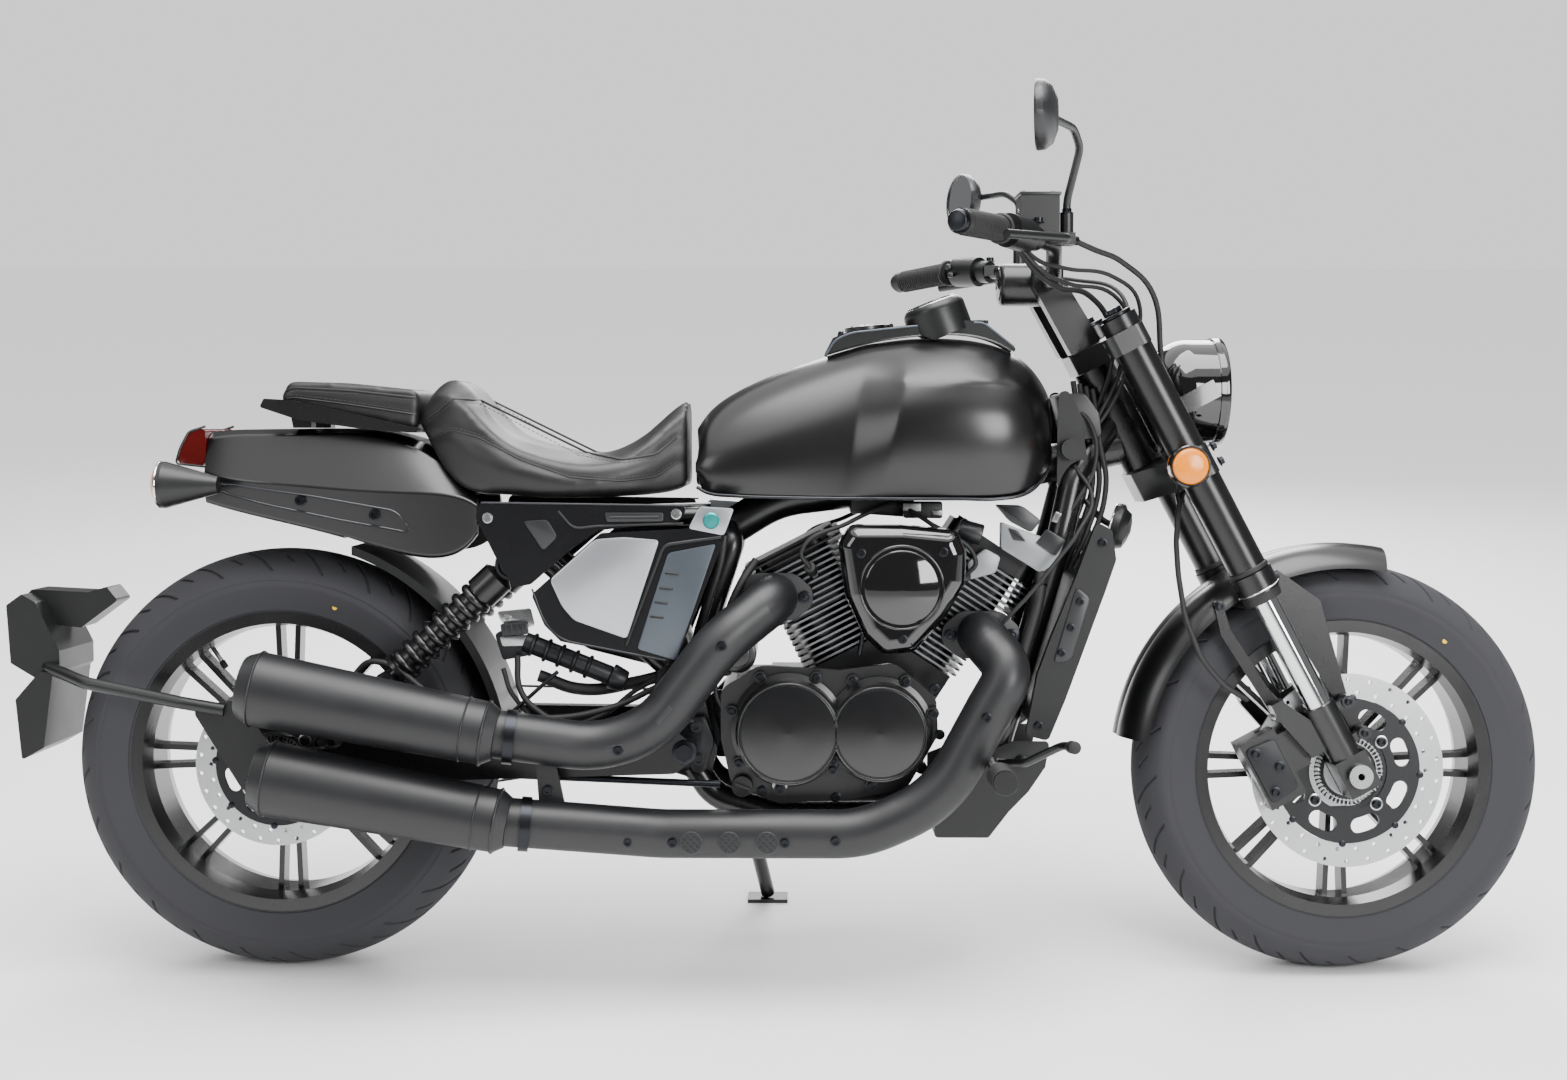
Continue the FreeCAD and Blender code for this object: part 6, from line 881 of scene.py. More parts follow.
@dataclass
class Cushion:
    """A foam pad under stitched vinyl, made from its plain solid."""

    node: str
    name: str
    welt: list[tuple[float, float]]
    low_welt: list[tuple[float, float]]
    cell_mm: float = 5.0
    pull_mm: float = 2.4
    reach_mm: float = 7.0
    puff_mm: float = 1.2

    def swollen(self) -> bpy.types.Object:
        """Returns a finer, rounder copy of the plain solid."""
        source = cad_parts[self.node]
        mesh = source.data.copy()
        bm = bmesh.new()
        bm.from_mesh(mesh)
        bmesh.ops.remove_doubles(bm, verts=bm.verts, dist=MILLIMETRE * 0.1)
        bm.to_mesh(mesh)
        bm.free()
        holder = bpy.data.objects.new(self.name, mesh)
        bpy.context.scene.collection.objects.link(holder)
        grid = holder.modifiers.new("grid", "REMESH")
        grid.mode = "VOXEL"
        grid.voxel_size = self.cell_mm * MILLIMETRE
        ease = holder.modifiers.new("ease", "SMOOTH")
        ease.factor = 0.5
        ease.iterations = 9
        graph = bpy.context.evaluated_depsgraph_get()
        fine = bpy.data.meshes.new_from_object(holder.evaluated_get(graph))
        holder.modifiers.clear()
        holder.data = fine
        fine.name = self.name
        return holder

    def height_of(self, run: Sequence[tuple[float, float]], x: float) -> float:
        """Returns the height of a run at one X."""
        ordered = sorted(run)
        for (x0, z0), (x1, z1) in zip(ordered, ordered[1:]):
            if x <= x1:
                share = max(0.0, (x - x0) / (x1 - x0))
                return z0 + (z1 - z0) * share
        return ordered[-1][1]

    def stitch_in(self, piece: bpy.types.Object) -> None:
        """Pulls the cover in along its seams and lets it swell between them."""
        matrix = Place.MACHINE.matrix()
        inverse = matrix.inverted()
        turn = matrix.to_3x3() @ Matrix.Scale(1 / MILLIMETRE, 3)
        normals = [v.normal.copy() for v in piece.data.vertices]
        for vert, normal in zip(piece.data.vertices, normals):
            here = inverse @ vert.co
            way = turn.inverted() @ normal
            steep = abs(way.normalized().y)
            shift = self.puff_mm
            for run, share in ((self.welt, 1.0), (self.low_welt, 0.8)):
                gap = abs(here.z - self.height_of(run, here.x))
                shift -= self.pull_mm * share * math.exp(-(gap / self.reach_mm) ** 2) * min(1.0, steep * 1.6)
            grain = noise.noise(here / 42) * 0.5 + noise.noise(here / 17) * 0.2
            vert.co += normal * (shift + grain) * MILLIMETRE

    def build(self) -> None:
        """Adds the cushion with its seams."""
        piece = self.swollen()
        self.stitch_in(piece)
        piece.data.materials.clear()
        piece.data.materials.append(SEAT_VINYL.build())
        piece.data.shade_smooth()
        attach(piece, "chassis")
        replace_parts(piece, self.node)
        self.seams(piece)

    def seams(self, piece: bpy.types.Object) -> None:
        """Adds the welt cord and the stitches along the seams, on both sides."""
        matrix = Place.MACHINE.matrix()
        inverse = matrix.inverted()
        cord = Form(f"{self.name}_welt", Place.MACHINE, VINYL_CORD)
        thread = Form(f"{self.name}_stitches", Place.MACHINE, THREAD)
        for run, wire, rows in ((self.welt, 1.7, (-4.5,)), (self.low_welt, 1.3, (4.0,))):
            for side in SIDES:
                laid = {}
                for row in (0.0,) + rows:
                    line = []
                    low, high = min(run)[0], max(run)[0]
                    count = int((high - low) / 8)
                    for i in range(count + 1):
                        x = low + (high - low) * i / count
                        start = matrix @ Vector((x, side * 400, self.height_of(run, x) + row))
                        way = (matrix.to_3x3() @ Vector((0, -side, 0))).normalized()
                        found, place, _, _ = piece.ray_cast(start, way)
                        if found:
                            line.append(inverse @ place)
                    laid[row] = line
                cord.tube(laid[0.0], wire, sides=2)
                for row in rows:
                    marks = spaced(laid[row], 7.0)
                    for a, b in zip(marks, marks[1:]):
                        middle = a.lerp(b, 0.5) + Vector((0, side * 0.2, 0))
                        half = (b - a) * 0.3
                        thread.rod(middle - half, middle + half, 0.55, sides=6)
        cord.leave("chassis")
        thread.leave("chassis")


# Tank, tail and panels

@dataclass(frozen=True)
class TankSection:
    """One section of the tank's left half: its middle, then five points from the shoulder to the foot."""

    top: Point
    points: tuple

    def ring(self) -> list[Vector]:
        """Returns the closed section over both sides, with a tunnel for the frame underneath."""
        _, foot_y, foot_z = self.points[-1]
        x = self.points[-1][0]
        half = [Vector(p) for p in self.points] + [Vector((x, foot_y - 14, foot_z - 1)),
                                                   Vector((x, foot_y - 18, foot_z + 24))]
        roof = Vector((x, 0, foot_z + 58))
        right = [Vector((p.x, -p.y, p.z)) for p in reversed(half)]
        return [Vector(self.top)] + half + [roof] + right


@dataclass
class TankShell:
    """The pressed tank: a knee recess behind, a boxed bulge in front, and the sharp facet between them."""

    levels: int = 3
    sections: tuple = (
        TankSection((604, 0, 796),
                    ((604, 44, 792), (604, 74, 774), (604, 92, 750), (604, 94, 726), (604, 88, 710))),
        TankSection((622, 0, 824),
                    ((622, 44, 818), (622, 80, 790), (622, 102, 754), (622, 104, 724), (622, 95, 701))),
        TankSection((660, 0, 850),
                    ((660, 46, 844), (660, 88, 804), (660, 108, 762), (660, 110, 722), (660, 100, 697))),
        TankSection((730, 0, 882),
                    ((730, 48, 874), (730, 92, 826), (730, 112, 778), (730, 114, 730), (730, 104, 695))),
        TankSection((838, 0, 917),
                    ((842, 54, 906), (834, 96, 856), (820, 113, 796), (812, 116, 740), (804, 108, 694))),
        TankSection((850, 0, 920),
                    ((854, 56, 908), (846, 99, 858), (832, 114, 797), (824, 117, 741), (816, 109, 694))),
        TankSection((896, 0, 928),
                    ((902, 64, 911), (899, 120, 861), (892, 138, 815), (876, 138, 748), (862, 116, 694))),
        TankSection((912, 0, 930),
                    ((918, 66, 912), (914, 123, 861), (908, 141, 815), (892, 141, 748), (878, 117, 694))),
        TankSection((975, 0, 932),
                    ((975, 68, 913), (975, 125, 861), (975, 142, 815), (975, 141, 750), (975, 117, 694))),
        TankSection((1040, 0, 922),
                    ((1040, 60, 905), (1040, 114, 860), (1040, 136, 812), (1040, 134, 748),
                     (1036, 111, 694))),
        TankSection((1084, 0, 896),
                    ((1084, 50, 880), (1084, 92, 846), (1086, 112, 804), (1084, 110, 752), (1074, 96, 701))),
        TankSection((1108, 0, 862),
                    ((1108, 34, 850), (1108, 66, 826), (1108, 80, 796), (1106, 80, 758), (1098, 72, 718))),
        TankSection((1118, 0, 838),
                    ((1118, 22, 830), (1118, 42, 814), (1119, 50, 794), (1118, 50, 766), (1114, 44, 738))),
    )

    def creases(self, bm: bmesh.types.BMesh, rings: list[list]) -> None:
        """Marks the sharp lines: the shoulder, the facet's two sides and the foot."""
        layer = bm.edges.layers.float.new("crease_edge")
        count = len(rings[0])

        def mark(a: bmesh.types.BMVert, b: bmesh.types.BMVert, amount: float) -> None:
            """Sets the crease of the edge between two corners."""
            edge = bm.edges.get((a, b))
            if edge:
                edge[layer] = amount
        for row, ring in enumerate(rings):
            for i in (5, count - 5):
                if row + 1 < len(rings):
                    mark(ring[i], rings[row + 1][i], 0.85)
            for i in (2, count - 2):
                if 6 <= row < len(rings) - 3:
                    mark(ring[i], rings[row + 1][i], 0.5)
        for row, amount in ((5, 0.3), (6, 0.45)):
            ring = rings[row]
            for i in range(1, 5):
                mark(ring[i], ring[i + 1], amount)
                mark(ring[-i], ring[-i - 1], amount)

    def build(self) -> None:
        """Joins the sections and refines the shell."""
        form = Form("pressed_tank", Place.MACHINE, TANK_PAINT)
        rings = [form.line(section.ring(), closed=True)[0] for section in self.sections]
        for near, far in zip(rings, rings[1:]):
            for i in range(len(near)):
                j = (i + 1) % len(near)
                bmesh.ops.contextual_create(form.bm, geom=[near[i], near[j], far[j], far[i]])
        for ring in (rings[0], rings[-1]):
            bmesh.ops.contextual_create(form.bm, geom=ring)
        self.creases(form.bm, rings)
        bmesh.ops.recalc_face_normals(form.bm, faces=form.bm.faces)
        mesh = bpy.data.meshes.new("pressed_tank")
        form.bm.to_mesh(mesh)
        form.bm.free()
        holder = bpy.data.objects.new("tank_form", mesh)
        bpy.context.scene.collection.objects.link(holder)
        finer = holder.modifiers.new("finer", "SUBSURF")
        finer.levels = finer.render_levels = self.levels
        graph = bpy.context.evaluated_depsgraph_get()
        fine = bpy.data.meshes.new_from_object(holder.evaluated_get(graph))
        bpy.data.objects.remove(holder)
        shell = Form("pressed_tank_shell", Place.MACHINE, TANK_PAINT, sharp_deg=60)
        shell.bm.from_mesh(fine)
        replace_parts(shell.leave("chassis"), "fuel_tank")


@dataclass
class TankTrim:
    """The flange, the instrument pod, the console's strip and the filler."""

    flange_run: Run = ((606, 88, 709), (622, 95, 701), (660, 100.5, 697), (730, 104.5, 695),
                       (804, 108.5, 694),
                       (840, 111.5, 694), (870, 117, 694), (975, 118, 694), (1036, 111.5, 694), (1074, 96.5,
                                                                                                 701),
                       (1098, 72.5, 718), (1112, 46, 736))
    flange_wire: float = 2.6
    pod_centre: Point = (962, 0, 928)
    pod_way: Point = (-0.35, 0, 0.94)
    pod_high: float = 52.0
    pod_ring: float = 38.0
    pod_face: Flat = ((0.4, 36.5), (1.4, 35.5), (2.6, 20), (3.0, 0))
    mark_count: int = 25
    mark_sweep_deg: float = 250.0
    mark_radius: float = 32.0
    long_mark: float = 5.0
    short_mark: float = 2.6
    strip_side: float = 31.5
    strip_wire: float = 1.8
    strip_behind: Flat = ((790, 899), (803, 921), (827, 931.5), (905, 939.5), (930, 942))
    strip_ahead: Flat = ((1004, 946), (1018, 946), (1062, 911))
    screw_side: float = 20.0
    screw_places: Flat = ((812, 929.2), (1022, 945.5))
    lid_centre: Point = (848, 0, 936.2)
    lid_rise: float = 14.0
    lid_run: float = 142.0
    lid_ring: float = 26.5
    lid_screws: int = 6
    lid_screw_circle: float = 21.0
    flap_radius: float = 9.5

    def flange(self) -> None:
        """Adds the welded flange along the tank's foot, in the lighter grey edge enamel that paints its
        highlight.
        """
        form = Form("tank_flange", Place.MACHINE, EDGE_HIGHLIGHT_PAINT)
        for side in SIDES:
            form.tube([(x, side * y, z) for x, y, z in self.flange_run], self.flange_wire, smooth=True)
        form.leave("chassis")

    def pod(self) -> None:
        """Adds the instrument's glass, its ring and its marks."""
        way = Vector(self.pod_way).normalized()
        top = Vector(self.pod_centre) + way * self.pod_high
        ring = Form("instrument_ring", Place.MACHINE, HARD_CHROME)
        ring.ring(top - way * 3.5, way, self.pod_ring, 2.2)
        ring.leave("chassis")
        face = Form("instrument_face", Place.MACHINE, GLOSS_PAINT)
        face.turned(self.pod_face, top - way * 0.6, way, 48)
        face.leave("chassis")
        marks = Form("instrument_marks", Place.MACHINE, PALE_MARK)
        turn = turn_to(way)
        for i in range(self.mark_count):
            angle = math.radians(-self.mark_sweep_deg / 2 + i * self.mark_sweep_deg / (self.mark_count - 1))
            long = self.long_mark if i % 4 == 0 else self.short_mark
            out = turn @ Vector((math.cos(angle), math.sin(angle), 0))
            root = top + out * (self.mark_radius - long) + way * 2.3
            marks.rod(root, top + out * self.mark_radius + way * 1.9, 0.55, sides=8)
        marks.leave("chassis")

    def console(self) -> None:
        """Adds the strip's raised rim and its screws."""
        strip = Form("console_rim", Place.MACHINE, GUNMETAL_ABS)
        for side in SIDES:
            for run, bend in ((self.strip_behind, 10), (self.strip_ahead, 8)):
                strip.tube([(x, side * self.strip_side, z) for x, z in run], self.strip_wire, bend=bend)
        strip.leave("chassis")
        screws = Form("console_screws", Place.MACHINE, BLACK_OXIDE)
        for x, z in self.screw_places:
            for side in SIDES:
                screws.bolt((x, side * self.screw_side, z), (0, 0, 1), 4)
        screws.leave("chassis")

    def filler(self) -> None:
        """Adds the lid's rim, its key flap and its screws."""
        slope = math.radians(-math.degrees(math.atan2(self.lid_rise, self.lid_run)))
        turn = Matrix.Translation(self.lid_centre) @ Matrix.Rotation(slope, 4, "Y")
        up = (turn.to_3x3() @ Vector((0, 0, 1))).normalized()
        ring = Form("filler_lid_ring", Place.MACHINE, ZINC_PLATE)
        ring.ring(turn @ Vector((0, 0, 4.8)), up, self.lid_ring, 1.4)
        out = self.lid_screw_circle
        for i in range(self.lid_screws):
            turned = math.radians(360 / self.lid_screws * i + 30)
            ring.bolt(turn @ Vector((out * math.cos(turned), out * math.sin(turned), 5.2)), up, 2.3)
        ring.leave("fuel_cap")
        flap = Form("filler_key_flap", Place.MACHINE, HARD_CHROME)
        flap.rod(turn @ Vector((-1, 0, 5.2)), turn @ Vector((-1, 0, 8.0)), self.flap_radius, soft=1.0)
        flap.leave("fuel_cap")

    def build(self) -> None:
        """Adds everything on the tank."""
        self.flange()
        self.pod()
        self.console()
        self.filler()


@dataclass
class TailTrim:
    """Painted highlight lines round the tail's recess, its bolts, and the lamps behind."""

    recess: Flat = ((-84, 710), (-60, 712), (60, 696), (182, 675), (203, 644), (100, 662), (-8, 684),
                    (-70, 700))
    recess_corner: float = 14.0
    recess_step: float = 9.0
    bolt_places: Flat = ((44, 690), (150, 670))
    lamp_outline: Flat = ((-101, 794.5), (-125, 787), (-137.5, 764), (-144.5, 741), (-101, 736.5))
    lamp_side: float = 72.0
    lens_face: float = -149.2
    lens_side: float = 128.0
    lens_up: float = 712.0
    lens_profile: Flat = ((0, 29), (3, 28.5), (7.5, 20), (9.5, 9), (10, 0))

    def recess_lines(self) -> None:
        """Adds the painted highlight lines round the recess and the two bolts in it."""
        skin = Skin("tail_fairing")
        lines = Form("tail_recess_highlight_lines", Place.MACHINE, EDGE_HIGHLIGHT_PAINT)
        for side in SIDES:
            corners = rounded([Vector((x, 0, z)) for x, z in self.recess], self.recess_corner, closed=True)
            run = [(p.x, p.z) for p in spaced(corners + corners[:1], self.recess_step)]
            lines.tube(skin.trace(run, side, 0.3), 1.7, smooth=True, sides=2)
        lines.leave("chassis")
        bolts = Form("tail_bolts", Place.MACHINE, BLACK_OXIDE)
        for x, z in self.bolt_places:
            for side in SIDES:
                y = skin.side(x, z, side)
                if y is not None:
                    bolts.bolt((x, y, z), (0, side, 0), 6.5)
        bolts.leave("chassis")

    def lamps(self) -> None:
        """Adds the tail lamp's rims and the indicators' lenses with their rings."""
        rim = Form("tail_lamp_rim", Place.MACHINE, GLOSS_PAINT)
        for side in SIDES:
            rim.tube([(x, side * self.lamp_side, z) for x, z in self.lamp_outline], 1.8, bend=6)
        rim.leave("chassis")
        for side, word in ((1, "left"), (-1, "right")):
            centre = (self.lens_face, side * self.lens_side, self.lens_up)
            lens = Form(f"rear_indicator_lens_{word}", Place.MACHINE, AMBER_LENS)
            lens.turned(self.lens_profile, centre, (-1, 0, 0), 40)
            lens.leave("chassis")
            ring = Form(f"rear_indicator_ring_{word}", Place.MACHINE, HARD_CHROME)
            ring.ring((self.lens_face + 1, side * self.lens_side, self.lens_up), (1, 0, 0), 31.2, 2.3)
            ring.leave("chassis")

    def build(self) -> None:
        """Adds everything on the tail."""
        self.recess_lines()
        self.lamps()


@dataclass
class SidePanelTrim:
    """The side covers' raised fields, slits, bolts and coloured cap."""

    face: float = 152.0
    upper: float = 149.0
    silver_fields: tuple[Plate, ...] = (
        Plate(((403, 581), (467, 638), (506, 641), (557, 637), (511, 498), (437, 524), (420, 544)),
              -face + SUNK, -face - 4.0, 7, 2.2),
        Plate(((613, 684), (661, 681), (647, 643), (597, 653)), -upper + 6, -face - 1.5, 5, 1.4))
    vent: Plate = Plate(((569, 619), (636, 632), (580, 468), (525, 484)), -face + SUNK, -face - 2.6, 6, 1.2)
    rib_places: Flat = ((574, 590), (566, 569), (559, 549), (553, 529))
    rib_size: Point = (19, 2.4, 3.4)
    rib_edge: Cord = Cord(((643, -face, 641), (563, -face - 1, 630), (510, -face - 1, 489)), 2.6, 10)
    # Thin cords on the covers' edges in the lighter grey edge enamel: a painted highlight.
    painted_highlight_edges: tuple[Cord, ...] = (
        Cord(((378, -151, 568), (396, -151.2, 519), (419, -151.2, 496), (565, -151.2, 468)), 1.5, 16),
        Cord(((307, -149, 688.5), (596, -149, 684.8)), 1.4))
    reliefs: tuple[Plate, ...] = (
        Plate(((366, 663), (400, 665), (414, 641), (394, 621)), -upper + SUNK, -upper - 2.4, 6, 1.0),
        Plate(((480, 675), (562, 675), (562, 663), (483, 662)), -upper + SUNK, -upper - 2.6, 3, 1.0))
    grooves: tuple[Cord, ...] = (
        Cord(((415, -149.2, 677), (436, -149.2, 652), (466, -149.2, 656), (590, -149.2, 660)), 1.8, 12),
        Cord(((488, -151.8, 668.5), (556, -151.8, 669)), 2.2))
    bolt_places: Flat = ((316, 667), (580, 673))
    boss_centre: Point = (345, 0, 600)
    boss_profile: Flat = ((-128, 0), (-131, 6), (-131, 15), (-134, 17), (-134, 21), (-126, 23))
    cap_centre: Point = (629, -face - 1, 664)
    cap_profile: Flat = ((0, 11.5), (4, 11.5), (6, 9.6), (6.6, 0))

    def build(self) -> None:
        """Adds everything on both side covers."""
        light = Form("side_cover_field", Place.MACHINE, SILVER_ABS)
        light.plates(self.silver_fields).both_sides().leave("chassis")
        vent = Form("side_cover_vent", Place.MACHINE, GUNMETAL_ABS)
        vent.plates([self.vent]).both_sides().leave("chassis")
        dark = Form("side_cover_ribs", Place.MACHINE, GRAINED_ABS)
        for x, z in self.rib_places:
            dark.block((x, -self.face - 2.6, z), self.rib_size, 6, "Y", 1.1)
        dark.cords([self.rib_edge]).both_sides().leave("chassis")
        # The covers' edge lines are a painted highlight.
        lines = Form("side_cover_painted_highlight_edge", Place.MACHINE, EDGE_HIGHLIGHT_PAINT)
        lines.cords(self.painted_highlight_edges).both_sides().leave("chassis")
        top = Form("upper_cover_relief", Place.MACHINE, SATIN_ABS)
        top.plates(self.reliefs).both_sides().leave("chassis")
        groove = Form("upper_cover_lines", Place.MACHINE, SOFT_RUBBER)
        groove.cords(self.grooves).both_sides().leave("chassis")
        bolts = Form("side_cover_bolts", Place.MACHINE, ZINC_PLATE)
        bolts.bolts(self.bolt_places, -self.upper, 5.5)
        bolts.both_sides().leave("chassis")
        seat = Form("shock_boss_rings", Place.MACHINE, GRAINED_ABS)
        seat.turned(self.boss_profile, self.boss_centre, (0, 1, 0), 40)
        seat.both_sides().leave("chassis")
        cap = Form("breather_cap", Place.MACHINE, TEAL_PAINT)
        cap.turned(self.cap_profile, self.cap_centre, (0, -1, 0), 40)
        cap.leave("chassis")


@dataclass
class RearBrakeTrim:
    """The rear brake's cylinder, its clamp, rods and hoses, in the gap under the side cover."""

    cylinder_foot: Point = (362, -112, 490)
    cylinder_head: Point = (484, -110, 441)
    cylinder_radius: float = 14.0
    rib_shares: tuple[float, ...] = (0.1, 0.26, 0.42, 0.58, 0.74)
    reservoir: Plate = Plate(((318, 500), (352, 516), (372, 470), (330, 462)), -96, -108, 6, 2)
    bracket: tuple[Plate, ...] = (
        Plate(((322, 532), (370, 537), (376, 512), (360, 508), (356, 516), (332, 514), (326, 520)), -104,
              -108, 4, 1),
        Plate(((326, 496), (372, 500), (374, 484), (330, 482)), -108, -111, 3, 1))
    bracket_bolts: Flat = ((338, 524), (366, 492))
    plug_centre: Point = (348, -113, 508)
    plug_size: Point = (38, 14, 18)
    plug_ribs: int = 4
    rods: tuple = (((345, -122, 390), (410, -120, 448), 3), ((300, -128, 303), (640, -112, 286), 5))
    hose_runs: tuple[Cord, ...] = (
        Cord(((352, -116, 470), (358, -124, 420), (392, -128, 386), (430, -126, 370), (480, -120, 376),
              (540, -104, 400)), 4.5),
        Cord(((330, -104, 450), (346, -114, 412), (400, -120, 372), (470, -112, 384), (520, -104, 420),
              (560, -96, 440)), 3.6),
        Cord(((566, -92, 470), (552, -98, 430), (560, -100, 396), (600, -92, 372)), 6),
        Cord(((644, -112, 392), (634, -118, 420), (640, -112, 452), (664, -104, 470)), 3),
        Cord(((380, -100, 440), (440, -96, 420), (520, -92, 430), (600, -88, 452)), 9))
    hanger: Plate = Plate(((588, 378), (618, 380), (632, 344), (616, 298), (600, 300), (584, 338)), -80,
                          -94, 8, 2.5)
    hanger_bolts: Flat = ((604, 366), (608, 318))
    battery: Plate = Plate(((396, 560), (560, 600), (596, 470), (560, 446), (440, 476)), -70, 70, 14, 4)
    starter_ahead: float = 664.0
    starter_up: float = 470.0

    def cylinder(self) -> None:
        """Adds the ribbed cylinder with its reservoir and its bracket."""
        body = Form("rear_brake_cylinder", Place.MACHINE, CALIPER_PAINT)
        foot, head = Vector(self.cylinder_foot), Vector(self.cylinder_head)
        body.rod(foot, head, self.cylinder_radius, soft=2)
        way = (head - foot).normalized()
        for share in self.rib_shares:
            body.ring(foot.lerp(head, share), way, self.cylinder_radius + 0.6, 3.0, steps=32)
        body.rod(head, head + way * 24, 19, 15, soft=3)
        body.plates([self.reservoir]).leave("chassis")
        clamp = Form("rear_brake_bracket", Place.MACHINE, ZINC_PLATE)
        clamp.plates(self.bracket).bolts(self.bracket_bolts, -111, 4)
        clamp.leave("chassis")

    def wiring(self) -> None:
        """Adds the ribbed plug, the brake's rods and the hoses."""
        plug = Form("rear_wire_connector", Place.MACHINE, SATIN_ABS)
        plug.block(self.plug_centre, self.plug_size, -6, "Y", 2)
        for i in range(self.plug_ribs):
            plug.block((336 + i * 8, -120.4, 508 - i * 0.8), (3, 2, 15), -6, "Y", 0.6)
        plug.leave("chassis")
        rods = Form("rear_brake_rods", Place.MACHINE, BLACK_OXIDE)
        for start, end, radius in self.rods:
            rods.rod(start, end, radius)
        rods.leave("chassis")
        Form("rear_hoses", Place.MACHINE, SOFT_RUBBER).cords(self.hose_runs).leave("chassis")

    def behind(self) -> None:
        """Adds what stands further in: the footrest's hanger, the battery box and the starter."""
        plate = Form("footrest_hanger", Place.MACHINE, CALIPER_PAINT)
        plate.plates([self.hanger]).bolts(self.hanger_bolts, -94, 7)
        plate.leave("chassis")
        Form("battery_box", Place.MACHINE, GRAINED_ABS).plates([self.battery]).leave("chassis")
        motor = Form("starter_motor", Place.MACHINE, ENGINE_ENAMEL)
        for low, high, radius, soft in ((-96, 30, 27, 4), (-104, -96, 18, 2)):
            motor.rod((self.starter_ahead, low, self.starter_up), (self.starter_ahead, high, self.starter_up),
                      radius, soft=soft)
        motor.leave("chassis")

    def build(self) -> None:
        """Adds everything in the gap."""
        self.cylinder()
        self.wiring()
        self.behind()


# Engine

@dataclass
class Bank:
    """One cylinder's own frame: upright over the crank, then leaned."""

    name: str
    lean_deg: float
    top: float
    crank: Point = (866, 0, 366)

    def matrix(self) -> Matrix:
        """Returns the matrix from the cylinder's frame to the machine's."""
        return Matrix.Translation(self.crank) @ Matrix.Rotation(math.radians(self.lean_deg), 4, "Y")

    def at(self, ahead: float, left: float, high: float) -> Vector:
        """Returns a place in the machine's frame."""
        return self.matrix() @ Vector((ahead, left, high))


REAR_BANK = Bank("rear_cylinder", -27.0, 292.0)
FRONT_BANK = Bank("front_cylinder", 33.0, 312.0)


@dataclass
class CylinderTrim:
    """The machined fin edges, bolts, plugs and leads of the two cylinders."""

    fin_half: float = 60.0
    largest_rim_face: float = 0.0012
    bolt_ahead: float = 52.0
    bolt_left: float = 48.0
    rear_step: float = 19.0
    plug_ahead: float = 16.0
    plug_root: tuple[float, float] = (73, 236)
    cap_end: tuple[float, float] = (101, 250)
    lead_bend: tuple[float, float] = (108, 275)
    coil: Point = (890, 46, 688)
    coil_centre: Point = (872, 0, 684)
    coil_size: Point = (92, 78, 34)

    def edges(self, bank: Bank) -> None:
        """Gives the fins' rims their bare machined metal."""
        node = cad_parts[bank.name]
        inverse = (Place.MACHINE.matrix() @ bank.matrix()).inverted()
        node.data.materials.append(FIN_METAL.build())
        for face in node.data.polygons:
            middle = inverse @ face.center
            normal = inverse.to_3x3() @ face.normal
            upright = abs(normal.normalized().z)
            reach = max(abs(middle.x), abs(middle.y))
            on_rim = upright < 0.2 and reach > self.fin_half * 0.93 and middle.z < bank.top - 24
            if on_rim and face.area < self.largest_rim_face:
                face.material_index = 1

    def build(self) -> None:
        """Adds everything on the cylinders."""
        bolts = Form("head_bolts", Place.MACHINE, BLACK_OXIDE)
        caps = Form("plug_caps", Place.MACHINE, SOFT_RUBBER)
        leads = Form("plug_leads", Place.MACHINE, SOFT_RUBBER)
        plugs = Form("spark_plugs", Place.MACHINE, ZINC_PLATE)
        for bank in (REAR_BANK, FRONT_BANK):
            self.edges(bank)
            up = bank.matrix().to_3x3() @ Vector((0, 0, 1))
            step = self.rear_step if bank is REAR_BANK else 0
            for ahead in (-self.bolt_ahead, self.bolt_ahead):
                for left in (-self.bolt_left, self.bolt_left):
                    bolts.bolt(bank.at(ahead, left, bank.top - step - 0.5), up, 6)
            ahead = -self.plug_ahead if bank is FRONT_BANK else self.plug_ahead
            for side in SIDES:
                root, end, bend = [bank.at(ahead, side * left, high)
                                   for left, high in (self.plug_root, self.cap_end, self.lead_bend)]
                plugs.rod(root, root.lerp(end, 0.55), 7, soft=0.6, sides=6)
                caps.rod(root.lerp(end, 0.4), end, 8.5, soft=2.0)
                coil = Vector((self.coil[0], side * self.coil[1], self.coil[2]))
                over = bend.lerp(coil, 0.5) + Vector((0, side * 18, 6))
                leads.tube([end, bend, over, coil], 3.4, smooth=True)
        for form in (bolts, caps, leads, plugs):
            form.leave("chassis")
        box = Form("coil_box", Place.MACHINE, ENGINE_ENAMEL)
        box.block(self.coil_centre, self.coil_size, 4, "Y", 4)
        box.leave("chassis")


